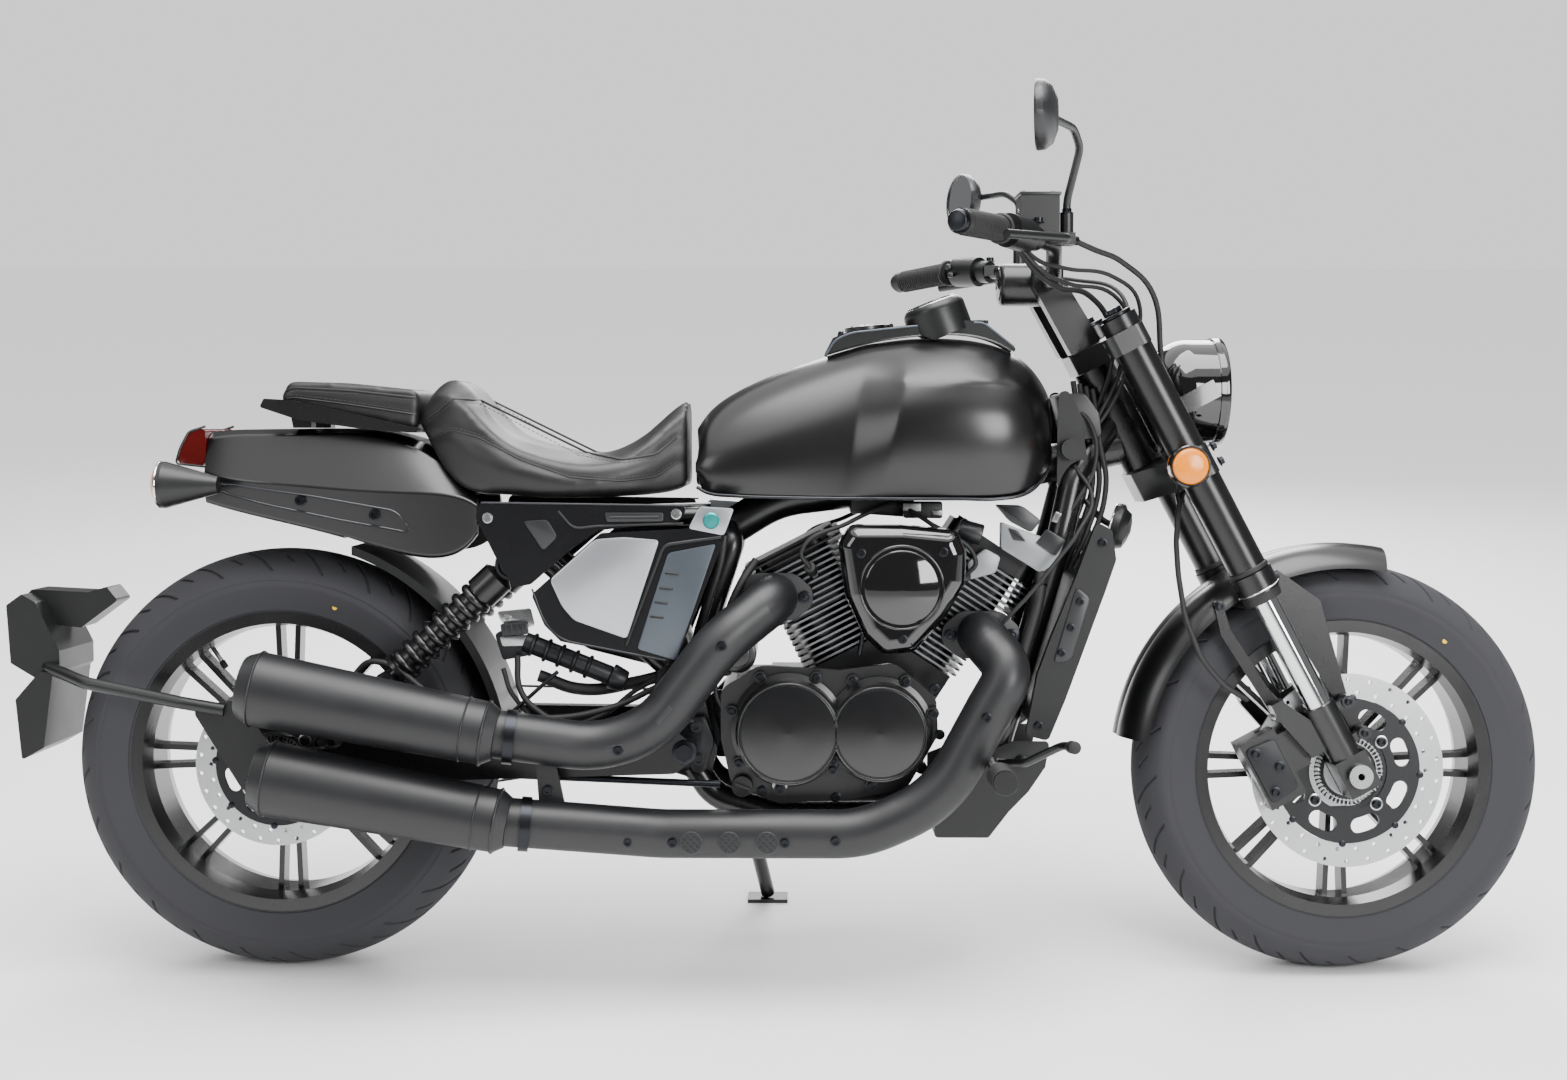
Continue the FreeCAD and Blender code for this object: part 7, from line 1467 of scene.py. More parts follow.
@dataclass
class EngineTrim:
    """Cover rings, bolts, oil filler, a silver plug, hoses and the silver terminal box."""

    face: float = 160.0
    cover_up: float = 366.0
    covers_at: tuple[tuple[float, float], ...] = ((737, 74), (866, 69))
    flange_bolts_deg: tuple[float, ...] = (18, 62, 118, 162, 214, 262, 318)
    flange_bolt_out: float = 10.8
    case_bolts: Flat = ((679, 327), (826, 425), (944, 425), (952, 359), (700, 278), (805, 269))
    hanger_bolts: tuple = ((1071, 315, 88.3), (592, 385, 74.3), (612, 306, 74.3))
    filler_at: tuple[float, float] = (672, 286)
    plug_at: tuple[float, float] = (725, 287)
    housing: tuple[Plate, ...] = (
        Plate(((1040, 660), (1066, 650), (1130, 628), (1119, 602), (1098, 586), (1040, 622)), -60, -84, 5, 2),
        Plate(((992, 601), (1018, 622), (1040, 610), (1033, 587), (995, 577)), -66, -88, 5, 2))
    housing_lids: tuple[Plate, ...] = (
        Plate(((1033, 684), (1071, 683), (1098, 662), (1084, 644), (1054, 660)), -50, -80, 6, 2),
        Plate(((1106, 650), (1133, 634), (1118, 611), (1090, 630)), -80, -88, 3, 1),
        Plate(((1050, 652), (1064, 648), (1076, 632), (1058, 634)), -80, -86.5, 3, 1))
    terminals: tuple = (((1126, -70, 664), (20, 10, 16), 20, 2), ((914, -66, 680), (26, 4, 12), 0, 1),
                        ((950, -66, 672), (14, 4, 8), 0, 1))
    lower_cables: tuple[Cord, ...] = (
        Cord(((1148, -60, 740), (1170, -84, 694), (1149, -104, 649), (1115, -108, 603), (1080, -108, 559),
              (1046, -104, 522), (1016, -88, 486)), 3.2),
        Cord(((1140, -40, 830), (1170, -60, 800), (1176, -66, 740), (1150, -72, 690), (1118, -66, 640)), 3.0))
    shroud: Plate = Plate(((1124, 843), (1163, 845), (1184, 816), (1188, 782), (1160, 776), (1136, 784)),
                          -54, 54, 6, 3)
    loom_count: int = 4
    loom_wire: float = 4.2
    hose_runs: tuple[Cord, ...] = (
        Cord(((1100, -70, 604), (1096, -84, 560), (1080, -92, 500), (1058, -96, 440), (1030, -92, 404)), 9),
        Cord(((690, -70, 604), (668, -86, 570), (648, -92, 520), (640, -90, 470), (650, -84, 440)), 6),
        Cord(((646, -96, 640), (640, -104, 600), (622, -104, 540), (606, -100, 470), (604, -96, 410)), 5))
    oil_line: Cord = Cord(((838, -96, 470), (846, -100, 520), (856, -92, 560), (852, -78, 604)), 3.5, 20)
    clips: tuple = (((1097, -81, 570), (0.1, 0.2, 1)), ((1034, -93, 412), (0.6, 0.0, 0.8)))
    cleaner_at: tuple[float, float] = (895, 572)
    cleaner_screws: Flat = ((838, 620), (952, 622), (896, 500))

    def covers(self) -> None:
        """Adds the raised rings and hub plates on the round covers."""
        rings = Form("cover_rings", Place.MACHINE, COVER_ENAMEL)
        for x, radius in self.covers_at:
            profile = [(0, radius - 7), (1.2, radius - 8), (1.8, radius - 14), (3.4, radius * 0.62), (4.2, 0)]
            rings.turned(profile, (x, -self.face + SUNK, self.cover_up), (0, -1, 0), 72)
            rings.ring((x, -self.face + 0.6, self.cover_up), (0, 1, 0), radius - 4, 1.5)
        rings.leave("chassis")

    def bolts(self) -> None:
        """Adds the bolts of the covers and of the engine's hangers, and the two plugs below."""
        covers = Form("cover_bolts", Place.MACHINE, BLACK_OXIDE)
        for x, radius in self.covers_at:
            out = radius + self.flange_bolt_out
            for turn_deg in self.flange_bolts_deg:
                turn = math.radians(turn_deg)
                place = (x + out * math.cos(turn), -126.9, self.cover_up + out * math.sin(turn))
                covers.bolt(place, (0, -1, 0), 5.0)
        covers.bolts(self.case_bolts, -117.3, 5.5).leave("chassis")
        hangers = Form("hanger_bolts", Place.MACHINE, BLACK_OXIDE)
        for x, z, out in self.hanger_bolts:
            for side in SIDES:
                hangers.bolt((x, side * out, z), (0, side, 0), 8, socket=False)
        hangers.leave("chassis")
        x, z = self.filler_at
        filler = Form("oil_filler_cap", Place.MACHINE, SOFT_RUBBER)
        filler.rod((x, -112, z), (x, -131, z), 15, soft=2)
        filler.block((x, -134, z), (24, 6, 6), 20, "Y", 1.5)
        filler.leave("chassis")
        x, z = self.plug_at
        plug = Form("silver_plug", Place.MACHINE, ZINC_PLATE)
        plug.rod((x, -116, z), (x, -124, z), 11, soft=1)
        plug.leave("chassis")

    def electrics(self) -> None:
        """Adds the terminal box, its lids and its terminals."""
        Form("coil_housing", Place.MACHINE, SILVER_ENAMEL).plates(self.housing).leave("chassis")
        lid = Form("coil_lid", Place.MACHINE, SATIN_ABS).plates(self.housing_lids)
        lid.rod((980, -78, 650), (1014, -82, 641), 15, soft=3)
        lid.block((930, -52, 676), (56, 26, 24), 0, "Y", 3)
        lid.leave("chassis")
        plug = Form("coil_terminals", Place.MACHINE, ZINC_PLATE)
        for centre, size, tilt_deg, soft in self.terminals:
            plug.block(centre, size, tilt_deg, "Y", soft)
        plug.leave("chassis")

    def lines(self) -> None:
        """Adds the lower cables, the neck's shroud and loom, and the engine's hoses."""
        Form("throttle_cable", Place.MACHINE, SOFT_RUBBER).cords(self.lower_cables).leave("chassis")
        Form("neck_shroud", Place.MACHINE, GRAINED_ABS).plates([self.shroud]).leave("chassis")
        loom = Form("neck_loom", Place.MACHINE, SOFT_RUBBER)
        for i in range(self.loom_count):
            loom.tube([(1176 - i * 9, -34 + i * 3, 850 + i * 4), (1186 - i * 8, -46 + i * 4, 770),
                       (1196 - i * 9, -40 + i * 6, 714), (1178 - i * 10, -44 + i * 8, 640),
                       (1150 - i * 6, -50 + i * 10, 590)], self.loom_wire, smooth=True)
        loom.leave("chassis")
        Form("engine_hoses", Place.MACHINE, SOFT_RUBBER).cords(self.hose_runs).leave("chassis")
        Form("oil_lines", Place.MACHINE, BLACK_OXIDE).cords([self.oil_line]).leave("chassis")
        bands = Form("hose_clips", Place.MACHINE, BLACK_OXIDE)
        for place, way in self.clips:
            bands.ring(place, way, 9.8, 1.4, steps=32)
        bands.leave("chassis")

    def cleaner(self) -> None:
        """Adds the pressed circle, the seam and the screws of the air cleaner."""
        skin = Skin("air_cleaner_cover")
        x, z = self.cleaner_at
        arc = Form("cleaner_pressing", Place.MACHINE, GLOSS_PAINT)
        arc.ring((x, -167.2, z), (0, 1, 0), 58, 1.8)
        arc.turned([(0, 52), (1.4, 50), (1.8, 0)], (x, -167.9, z), (0, -1, 0), 64)
        arc.leave("chassis")
        screws = Form("cleaner_screws", Place.MACHINE, BLACK_OXIDE)
        for x, z in self.cleaner_screws:
            y = skin.side(x, z, -1)
            if y is not None:
                screws.bolt((x, y, z), (0, -1, 0), 5)
        screws.leave("chassis")

    def build(self) -> None:
        """Adds everything on the engine."""
        self.covers()
        self.bolts()
        self.electrics()
        self.lines()
        self.cleaner()


@dataclass
class ExhaustTrim:
    """Clamps, flanges, shields with slots, and the mufflers' ends."""

    mufflers: tuple = (((334, -201, 369), (-14, -201, 436)), ((350, -201, 247), (2, -201, 311)))
    seam_steps: tuple = ((16, 44.3, 2.2), (44, 44.9, 1.4))
    outer_end: Flat = ((0.4, 43), (2.6, 42), (3.0, 24), (0.4, 21.5))
    inner_end: Flat = ((0.8, 20.6), (3.4, 19.5), (-36, 17), (-36, 0))
    clamps: tuple = (((352, -196, 366), (-0.98, -0.1, 0.12)), ((372, -193, 244), (-0.98, -0.13, 0.1)))
    clamp_radius: float = 36.0
    vent_places: tuple[float, ...] = (603, 656, 708)
    vent_up: float = 221.0
    vent_radius: float = 14.0
    mesh_shifts: tuple[float, ...] = (-6.5, 0, 6.5)
    slots: tuple = ((566, 398, 50), (548, 376, 44), (496, 352, 8), (460, 348, 4))
    shield_bolts: Flat = ((578, 221), (733, 221), (516, 222), (803, 224), (503, 349), (646, 494), (1010, 396))
    stay_bolts: Flat = ((402, 288), (398, 330))
    ports: Flat = ((716, 552), (1012, 498))
    stud_out: float = 44.0
    port_corners: Flat = ((-56, -12), (-30, -34), (30, -34), (56, -12), (56, 12), (30, 34), (-30, 34),
                          (-56, 12))

    def ends(self, bolts: Form) -> tuple[Form, Form]:
        """Forms the mufflers' seams and end caps, and bolts the caps.

        Args:
            bolts: The exhaust's bolts, to which the caps' are added.

        Returns:
            The seams and the end caps.
        """
        seams = Form("muffler_seams", Place.MACHINE, EXHAUST_PAINT)
        caps = Form("muffler_end_caps", Place.MACHINE, EXHAUST_EDGE)
        for start, end in self.mufflers:
            start, end = Vector(start), Vector(end)
            way = (end - start).normalized()
            for along, radius, wire in self.seam_steps:
                seams.ring(start + way * along, way, radius, wire)
            seams.ring(end - way * 18, way, 52.2, 1.8)
            caps.turned(self.outer_end, end, way, 56)
            caps.turned(self.inner_end, end, way, 40)
            side = way.cross(Vector((0, 1, 0))).normalized()
            for i in range(3):
                turned = math.radians(120 * i + 30)
                out = side * math.cos(turned) + Vector((0, 1, 0)) * math.sin(turned)
                bolts.bolt(end + out * 34 + way * 2.6, way, 3.6)
        return seams, caps

    def collars(self) -> None:
        """Adds the clamps where the pipes enter the mufflers."""
        radius = self.clamp_radius
        clamps = Form("exhaust_clamps", Place.MACHINE, BLACK_OXIDE)
        for place, way in self.clamps:
            band = [(-7, radius), (-7, radius + 2), (7, radius + 2), (7, radius), (-7, radius)]
            clamps.turned(band, place, Vector(way).normalized(), 56)
        clamps.leave("chassis")

    def vents(self) -> None:
        """Adds the round vents with their mesh, and the shield's slots."""
        mesh = Form("vent_mesh", Place.MACHINE, EXHAUST_EDGE)
        wells = Form("vent_wells", Place.MACHINE, SOFT_RUBBER)
        for x in self.vent_places:
            wells.turned([(0, 14.5), (1.2, 14.0), (1.3, 0)], (x, -205.3, self.vent_up), (0, -1, 0), 40)
            mesh.ring((x, -206.0, self.vent_up), (0, 1, 0), 14.8, 1.3, steps=40)
            for tilt_deg in (45, -45):
                for shift in self.mesh_shifts:
                    long = 2 * math.sqrt(self.vent_radius ** 2 - shift ** 2)
                    tilt = math.radians(tilt_deg)
                    off = Vector((shift * math.sin(tilt), 0, shift * math.cos(tilt)))
                    mesh.block(Vector((x, -207.0, self.vent_up)) + off, (long, 1.2, 1.6), tilt_deg, "Y", 0.4)
        wells.leave("chassis")
        mesh.leave("chassis")
        slots = Form("shield_slots", Place.MACHINE, EXHAUST_EDGE)
        for x, z, tilt_deg in self.slots:
            slots.block((x, -205.6, z), (30, 1.6, 8), -tilt_deg, "Y", 0.7)
        slots.leave("chassis")

    def fasten(self, bolts: Form) -> None:
        """Adds the bolts of the shields, the stays and the ports."""
        bolts.bolts(self.shield_bolts, -205.8, 5.5)
        bolts.bolts(self.stay_bolts, -176.2, 6)
        for x, z in self.ports:
            for shift in (-self.stud_out, self.stud_out):
                bolts.rod((x + shift, -76, z), (x + shift, -96, z), 4, soft=0.5)
                bolts.bolt((x + shift, -88, z), (0, -1, 0), 7, socket=False)
        bolts.leave("chassis")

    def build(self) -> None:
        """Adds everything on the exhausts."""
        bolts = Form("exhaust_bolts", Place.MACHINE, BLACK_OXIDE)
        seams, caps = self.ends(bolts)
        self.collars()
        self.vents()
        self.fasten(bolts)
        flanges = Form("port_flanges", Place.MACHINE, EXHAUST_PAINT)
        for x, z in self.ports:
            flanges.panel([(x + ahead, z + up) for ahead, up in self.port_corners], -78, -87, 10, 1.5)
        flanges.leave("chassis")
        seams.leave("chassis")
        caps.leave("chassis")


@dataclass
class CoolingTrim:
    """The radiator's tubes and fins, its hoses, and the side covers' plates."""

    foot: Point = (1101, 0, 372)
    head: Point = (1173, 0, 606)
    half: float = 94.0
    tubes: int = 25
    fins: int = 48
    fin_half: float = 92.0
    cover_plate: Plate = Plate(((1144, 570), (1164, 554), (1137, 466), (1112, 462)), -116.6, -119.4, 8, 1.0)
    plate_bolts: Flat = ((1149, 549), (1136, 512), (1123, 476))
    cover_bolts: Flat = ((1180, 632), (1092, 372))
    hose_runs: tuple[Cord, ...] = (
        Cord(((1160, 70, 588), (1128, 84, 586), (1096, 84, 560), (1070, 60, 520)), 12),
        Cord(((1098, 70, 384), (1072, 80, 372), (1046, 74, 366), (1010, 70, 376)), 12))

    def core(self) -> None:
        """Adds the core's tubes and the fins across them."""
        foot, head = Vector(self.foot), Vector(self.head)
        up = (head - foot).normalized()
        ahead = Vector((up.z, 0, -up.x))
        rows = Form("radiator_tubes", Place.MACHINE, RADIATOR_METAL)
        for i in range(self.tubes):
            middle = foot.lerp(head, (i + 0.5) / self.tubes) + ahead * 12.6
            rows.rod(middle - Vector((0, self.half, 0)), middle + Vector((0, self.half, 0)), 1.5, sides=8)
        rows.leave("chassis")
        fins = Form("radiator_fins", Place.MACHINE, RADIATOR_METAL)
        tilt_deg = math.degrees(math.atan2(up.x, up.z))
        for i in range(self.fins):
            across = Vector((0, -self.fin_half + i * 2 * self.fin_half / (self.fins - 1), 0))
            fins.block(foot.lerp(head, 0.5) + ahead * 12.4 + across, (1.2, 0.7, (head - foot).length * 0.96),
                       tilt_deg, "Y")
        fins.leave("chassis")

    def build(self) -> None:
        """Adds everything about the radiator."""
        self.core()
        plates = Form("radiator_cover_plates", Place.MACHINE, SATIN_ABS)
        plates.plates([self.cover_plate]).both_sides().leave("chassis")
        bolts = Form("radiator_cover_bolts", Place.MACHINE, BLACK_OXIDE)
        bolts.bolts(self.plate_bolts, -119.2, 4.5).bolts(self.cover_bolts, -117.2, 5.0)
        bolts.both_sides().leave("chassis")
        Form("radiator_hoses", Place.MACHINE, SOFT_RUBBER).cords(self.hose_runs).leave("chassis")


@dataclass
class HornTrim:
    """The horn and its bracket, behind the fork."""

    centre: Point = (1205, -30, 652)
    way: Point = (0.94, -0.2, -0.3)
    profile: Flat = ((0, 0), (0, 34), (4, 36), (12, 36), (16, 30), (24, 26), (28, 14), (30, 0))
    strap: Cord = Cord(((1212, -32, 650), (1190, -30, 662), (1168, -26, 690)), 5, 8)

    def build(self) -> None:
        """Adds the horn on its strap."""
        horn = Form("horn", Place.MACHINE, GRAINED_ABS)
        horn.turned(self.profile, self.centre, self.way, 40)
        horn.leave("chassis")
        face = Form("horn_rim", Place.MACHINE, HARD_CHROME)
        face.ring(self.centre, self.way, 34, 1.8)
        face.leave("chassis")
        Form("horn_bracket", Place.MACHINE, POWDER_COAT).cords([self.strap]).leave("chassis")


# Front end and controls

@dataclass
class ForkTrim:
    """Fork caps, seals, clamp bolts, the stem nut and the caliper's bolts."""

    half: float = 100.0
    cap_up: float = 735.0
    low_seal: Flat = ((282, 19), (282, 27), (289, 28.5), (297, 28.5), (297, 19))
    high_seal: Flat = ((326.5, 27.2), (328, 29), (333, 29), (334.5, 27.2))
    ring_up: float = 299.5
    ring_radius: float = 31.2
    bolt_side: float = 118.0
    upper_bolts_up: tuple[float, float] = (692, 708)
    lower_bolts_up: tuple[float, float] = (488, 512)
    holder_bolts: Flat = ((38, 98), (38, 47))
    stem_ahead: float = -44.0
    caliper_plate: Plate = Plate(((-124, 16), (-78, 20), (-78, 100), (-124, 104)), -98.3, -101.5, 10, 1.4)
    caliper_bolts: Flat = ((-112, 30), (-112, 92), (-90, 60))
    fender_bolts: Flat = ((34, 300), (-56, 300))

    def legs(self) -> None:
        """Adds what sits on the two legs, and the stem's nut."""
        caps = Form("fork_caps", Place.FORK, BLACK_OXIDE)
        seals = Form("fork_seals", Place.FORK, SOFT_RUBBER)
        rings = Form("fork_rings", Place.FORK, HARD_CHROME)
        bolts = Form("clamp_bolts", Place.FORK, BLACK_OXIDE)
        for side in SIDES:
            y = side * self.half
            caps.rod((0, y, self.cap_up), (0, y, self.cap_up + 6), 22, soft=1.5)
            caps.rod((0, y, self.cap_up + 5), (0, y, self.cap_up + 14), 12, soft=1.0, sides=6)
            for seal in (self.low_seal, self.high_seal):
                seals.turned(seal, (0, y, 0), (0, 0, 1), 48)
            rings.ring((0, y, self.ring_up), (0, 0, 1), self.ring_radius, 1.3)
            for high in self.upper_bolts_up:
                bolts.bolt((-34.2, side * self.bolt_side, high), (-1, 0, 0), 5)
            for high in self.lower_bolts_up:
                bolts.bolt((-34.2, side * self.bolt_side, high), (-1, 0, 0), 5.5)
                bolts.bolt((30.2, side * self.bolt_side, high), (1, 0, 0), 5.5)
            bolts.bolts(self.holder_bolts, side * 111.2, 4.5)
        caps.rod((self.stem_ahead, 0, 715.4), (self.stem_ahead, 0, 727), 17, soft=1.5, sides=6)
        caps.rod((self.stem_ahead, 0, 726), (self.stem_ahead, 0, 731), 11, soft=1.2)
        for form in (caps, seals, rings, bolts):
            form.leave("steering")

    def build(self) -> None:
        """Adds everything on the fork."""
        self.legs()
        Form("caliper_trim", Place.FORK, CALIPER_PAINT).plates([self.caliper_plate]).leave("steering")
        Form("caliper_bolts", Place.FORK, BLACK_OXIDE).bolts(self.caliper_bolts, -101.2, 6).leave("steering")
        fender = Form("fender_bolts", Place.FORK, BLACK_OXIDE)
        for side in SIDES:
            fender.bolts(self.fender_bolts, side * 80.4, 5)
        fender.leave("steering")


@dataclass
class LampTrim:
    """The headlamp's reflector, bulb shield, lens and bezel, and the rims of the side lamps."""

    centre: Point = (1361, 0, 846)
    bowl: Flat = ((0.6, 74), (0.9, 60), (1.0, 34), (1.4, 0))
    inner_lamp: Flat = ((1, 27), (5, 29), (6, 26), (2.4, 14), (2, 0))
    inner_lamp_up: float = 30.0
    divider_size: Point = (4, 132, 6)
    glass: Flat = ((1.5, 75.5), (5, 74), (8, 60), (10, 36), (10.8, 0))
    bezel: Flat = ((-2, 80.2), (3, 80.4), (5, 79), (5.4, 76.6), (3, 75.4), (0.2, 75.2))
    side_ahead: float = -18.0
    side_tip: float = 134.8 + 26
    side_up: float = 506.0
    side_rim: Flat = ((-12, 27.3), (-12, 29.4), (0.5, 29.4), (2.2, 28), (2.2, 25.8), (0.2, 25.2))
    side_dome: Flat = ((0.3, 25.4), (2.6, 23.5), (4.6, 15), (5.2, 0))

    def headlamp(self) -> None:
        """Adds what is behind the headlamp's glass, the glass and its bezel."""
        front = Vector(self.centre)
        bowl = Form("headlamp_reflector", Place.FRONT_END, REFLECTOR)
        bowl.turned(self.bowl, front, (1, 0, 0), 64)
        bowl.leave("steering")
        ribs = Form("headlamp_inner_lamps", Place.FRONT_END, HARD_CHROME)
        for up in (-self.inner_lamp_up, self.inner_lamp_up):
            ribs.turned(self.inner_lamp, front + Vector((0, 0, up)), (1, 0, 0), 40)
        ribs.leave("steering")
        bar = Form("headlamp_divider", Place.FRONT_END, GLOSS_PAINT)
        bar.block(front + Vector((3.0, 0, 0)), self.divider_size, soft=1.2)
        bar.leave("steering")
        glass = Form("headlamp_lens", Place.FRONT_END, CLEAR_LENS)
        glass.turned(self.glass, front, (1, 0, 0), 72)
        glass.leave("steering")
        bezel = Form("headlamp_bezel", Place.FRONT_END, GLOSS_PAINT)
        bezel.turned(self.bezel, front, (1, 0, 0), 72)
        bezel.leave("steering")

    def build(self) -> None:
        """Adds everything on the front lamps."""
        self.headlamp()
        rims = Form("side_lamp_rims", Place.FORK, GLOSS_PAINT)
        domes = Form("side_lamp_lenses", Place.FORK, AMBER_LENS)
        for side in SIDES:
            tip = (self.side_ahead, side * self.side_tip, self.side_up)
            rims.turned(self.side_rim, tip, (0, side, 0), 56)
            domes.turned(self.side_dome, tip, (0, side, 0), 48)
        rims.leave("steering")
        domes.leave("steering")


@dataclass
class BarTrim:
    """Grip ribs, bar-end weights, switches, the reservoir, mirrors' glass and the risers' clamps."""

    root: Point = (1012, 270, 1049)
    end: Point = (937, 392, 1044)
    rib_count: int = 22
    rib_first: float = 0.2
    rib_share: float = 0.72
    collar_share: float = 0.13
    switch_box: Point = (1020, 250, 1049)
    button_ahead: float = -22.0
    low_button_ahead: float = -19.5
    perch_pin: Point = (1062, 232, 1063)
    left_perch_drop: float = 2.0
    mirror_foot: Point = (1104, 209, 1078.5)
    reservoir: Point = (1066, -201, 1104)
    mirror_centre: Point = (1034, 392, 1178)
    mirror_turn_deg: float = 12.0
    mirror_width: float = 64 / 44
    mirror_shell: Flat = ((1.5, 40.5), (-1.5, 41.5), (-2.5, 43), (0, 44), (9, 43), (19, 35.5), (25, 20),
                          (26, 0))
    mirror_glass: Flat = ((1.4, 41), (0.2, 40), (0, 0))
    mirror_stem: Run = ((1104, 209, 1078.3), (1104, 209, 1096), (1112, 262, 1158), (1096, 300, 1178),
                        (1052, 372, 1180))
    riser_ahead: float = 1106.0
    riser_side: float = 42.0
    riser_up: float = 1000.0
    riser_band: Flat = ((-12.6, 12), (-12.6, 20), (-10.6, 22), (10.6, 22), (12.6, 20), (12.6, 12))
    riser_bolt_ahead: float = 17.0

    def along(self, side: int, share: float) -> Vector:
        """Returns a place on one grip's centreline."""
        return mirrored(self.root, side).lerp(mirrored(self.end, side), share)

    def grips(self) -> None:
        """Adds the ribs and the weights."""
        ribs = Form("grip_ribs", Place.FRONT_END, SOFT_RUBBER)
        weights = Form("bar_end_weights", Place.FRONT_END, BLACK_OXIDE)
        for side in SIDES:
            way = (self.along(side, 1) - self.along(side, 0)).normalized()
            for i in range(self.rib_count):
                share = self.rib_first + self.rib_share * i / (self.rib_count - 1)
                ribs.ring(self.along(side, share), way, 16.5, 1.1, steps=28)
            ribs.ring(self.along(side, self.collar_share), way, 17.5, 3.2, steps=36)
            tip = self.along(side, 1) + way * 4.4
            weights.rod(tip, tip + way * 9, 15.5, 13, soft=1.8)
        ribs.leave("steering")
        weights.leave("steering")

    def controls(self) -> None:
        """Adds the switches, lever pins, the reservoir's lid and window."""
        keys = Form("switch_buttons", Place.FRONT_END, SATIN_ABS)
        red = Form("stop_switch", Place.FRONT_END, RED_ABS)
        pins = Form("lever_pins", Place.FRONT_END, BLACK_OXIDE)
        for side in SIDES:
            housing = mirrored(self.switch_box, side)
            keys.block(housing + Vector((self.button_ahead, side * 2, 6)), (8, 14, 8), 0, "Y", 1.6)
            keys.block(housing + Vector((self.low_button_ahead, side * -8.5, -8)), (8, 10, 7), 0, "Y", 1.6)
            drop = 0 if side < 0 else self.left_perch_drop
            pins.bolt(mirrored(self.perch_pin, side) - Vector((0, 0, drop)), (0, 0, 1), 6)
            pins.bolt(mirrored(self.mirror_foot, side), (0, 0, 1), 7, socket=False)
        red.block((1000, -252, 1066), (10, 12, 8), 0, "Y", 2.0)
        for form in (keys, red, pins):
            form.leave("steering")
        x, y, z = self.reservoir
        lid = Form("reservoir_lid", Place.FRONT_END, SATIN_ABS)
        lid.block(self.reservoir, (56, 50, 5), 0, "Y", 1.4)
        lid.leave("steering")
        screws = Form("reservoir_screws", Place.FRONT_END, BLACK_OXIDE)
        for shift in (-20, 20):
            screws.bolt((x + shift, y, z + 2.4), (0, 0, 1), 3.2)
        screws.leave("steering")
        window = Form("reservoir_window", Place.FRONT_END, CLEAR_LENS)
        window.turned([(0, 8), (1.6, 7.4), (2.2, 0)], (x - 26.2, y, z - 26), (-1, 0, 0), 32)
        window.leave("steering")

    def mirrors(self) -> None:
        """Builds the mirrors: a dished shell, its glass towards the rider, and the stem."""
        shells = Form("mirror_shells", Place.FRONT_END, SATIN_ABS)
        glass = Form("mirror_glass", Place.FRONT_END, MIRROR_GLASS)
        for side in SIDES:
            turn = Matrix.Rotation(math.radians(side * self.mirror_turn_deg), 4, "Z")
            stand = (Matrix.Translation(mirrored(self.mirror_centre, side)) @ turn
                     @ Matrix.Diagonal((1, self.mirror_width, 1, 1)))
            for form, section in ((shells, self.mirror_shell), (glass, self.mirror_glass)):
                before = set(form.bm.verts)
                form.turned(section, (0, 0, 0), (1, 0, 0), 72)
                for vert in form.bm.verts:
                    if vert not in before:
                        vert.co = stand @ vert.co
            shells.tube([mirrored(place, side) for place in self.mirror_stem], 5.5, bend=14)
        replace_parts(shells.leave("steering"), "mirrors")
        glass.leave("steering")

    def risers(self) -> None:
        """Adds the clamps and bolts over the bar, and the meter's ring."""
        clamps = Form("riser_clamps", Place.FRONT_END, ENGINE_ENAMEL)
        bolts = Form("riser_bolts", Place.FRONT_END, BLACK_OXIDE)
        up = self.riser_up
        for side in SIDES:
            y = side * self.riser_side
            clamps.turned(self.riser_band, (self.riser_ahead, y, up), (0, 1, 0), 48)
            for shift in (-self.riser_bolt_ahead, self.riser_bolt_ahead):
                x = self.riser_ahead + shift
                bolts.rod((x, y, up + 6), (x, y, up + 21), 6.5, soft=1)
                bolts.bolt((x, y, up + 20), (0, 0, 1), 4.6)
        clamps.leave("steering")
        bolts.leave("steering")
        ring = Form("meter_ring", Place.FRONT_END, HARD_CHROME)
        ring.ring((1119, 0, up + 2), (1, 0, 0), 30.4, 2.0)
        ring.leave("steering")
        face = Form("meter_face", Place.FRONT_END, GLOSS_PAINT)
        face.turned([(0, 25), (1.4, 24), (2.2, 0)], (1042, 0, up + 2), (-1, 0, 0), 48)
        face.leave("steering")

    def build(self) -> None:
        """Adds everything on the bar."""
        self.grips()
        self.controls()
        self.mirrors()
        self.risers()


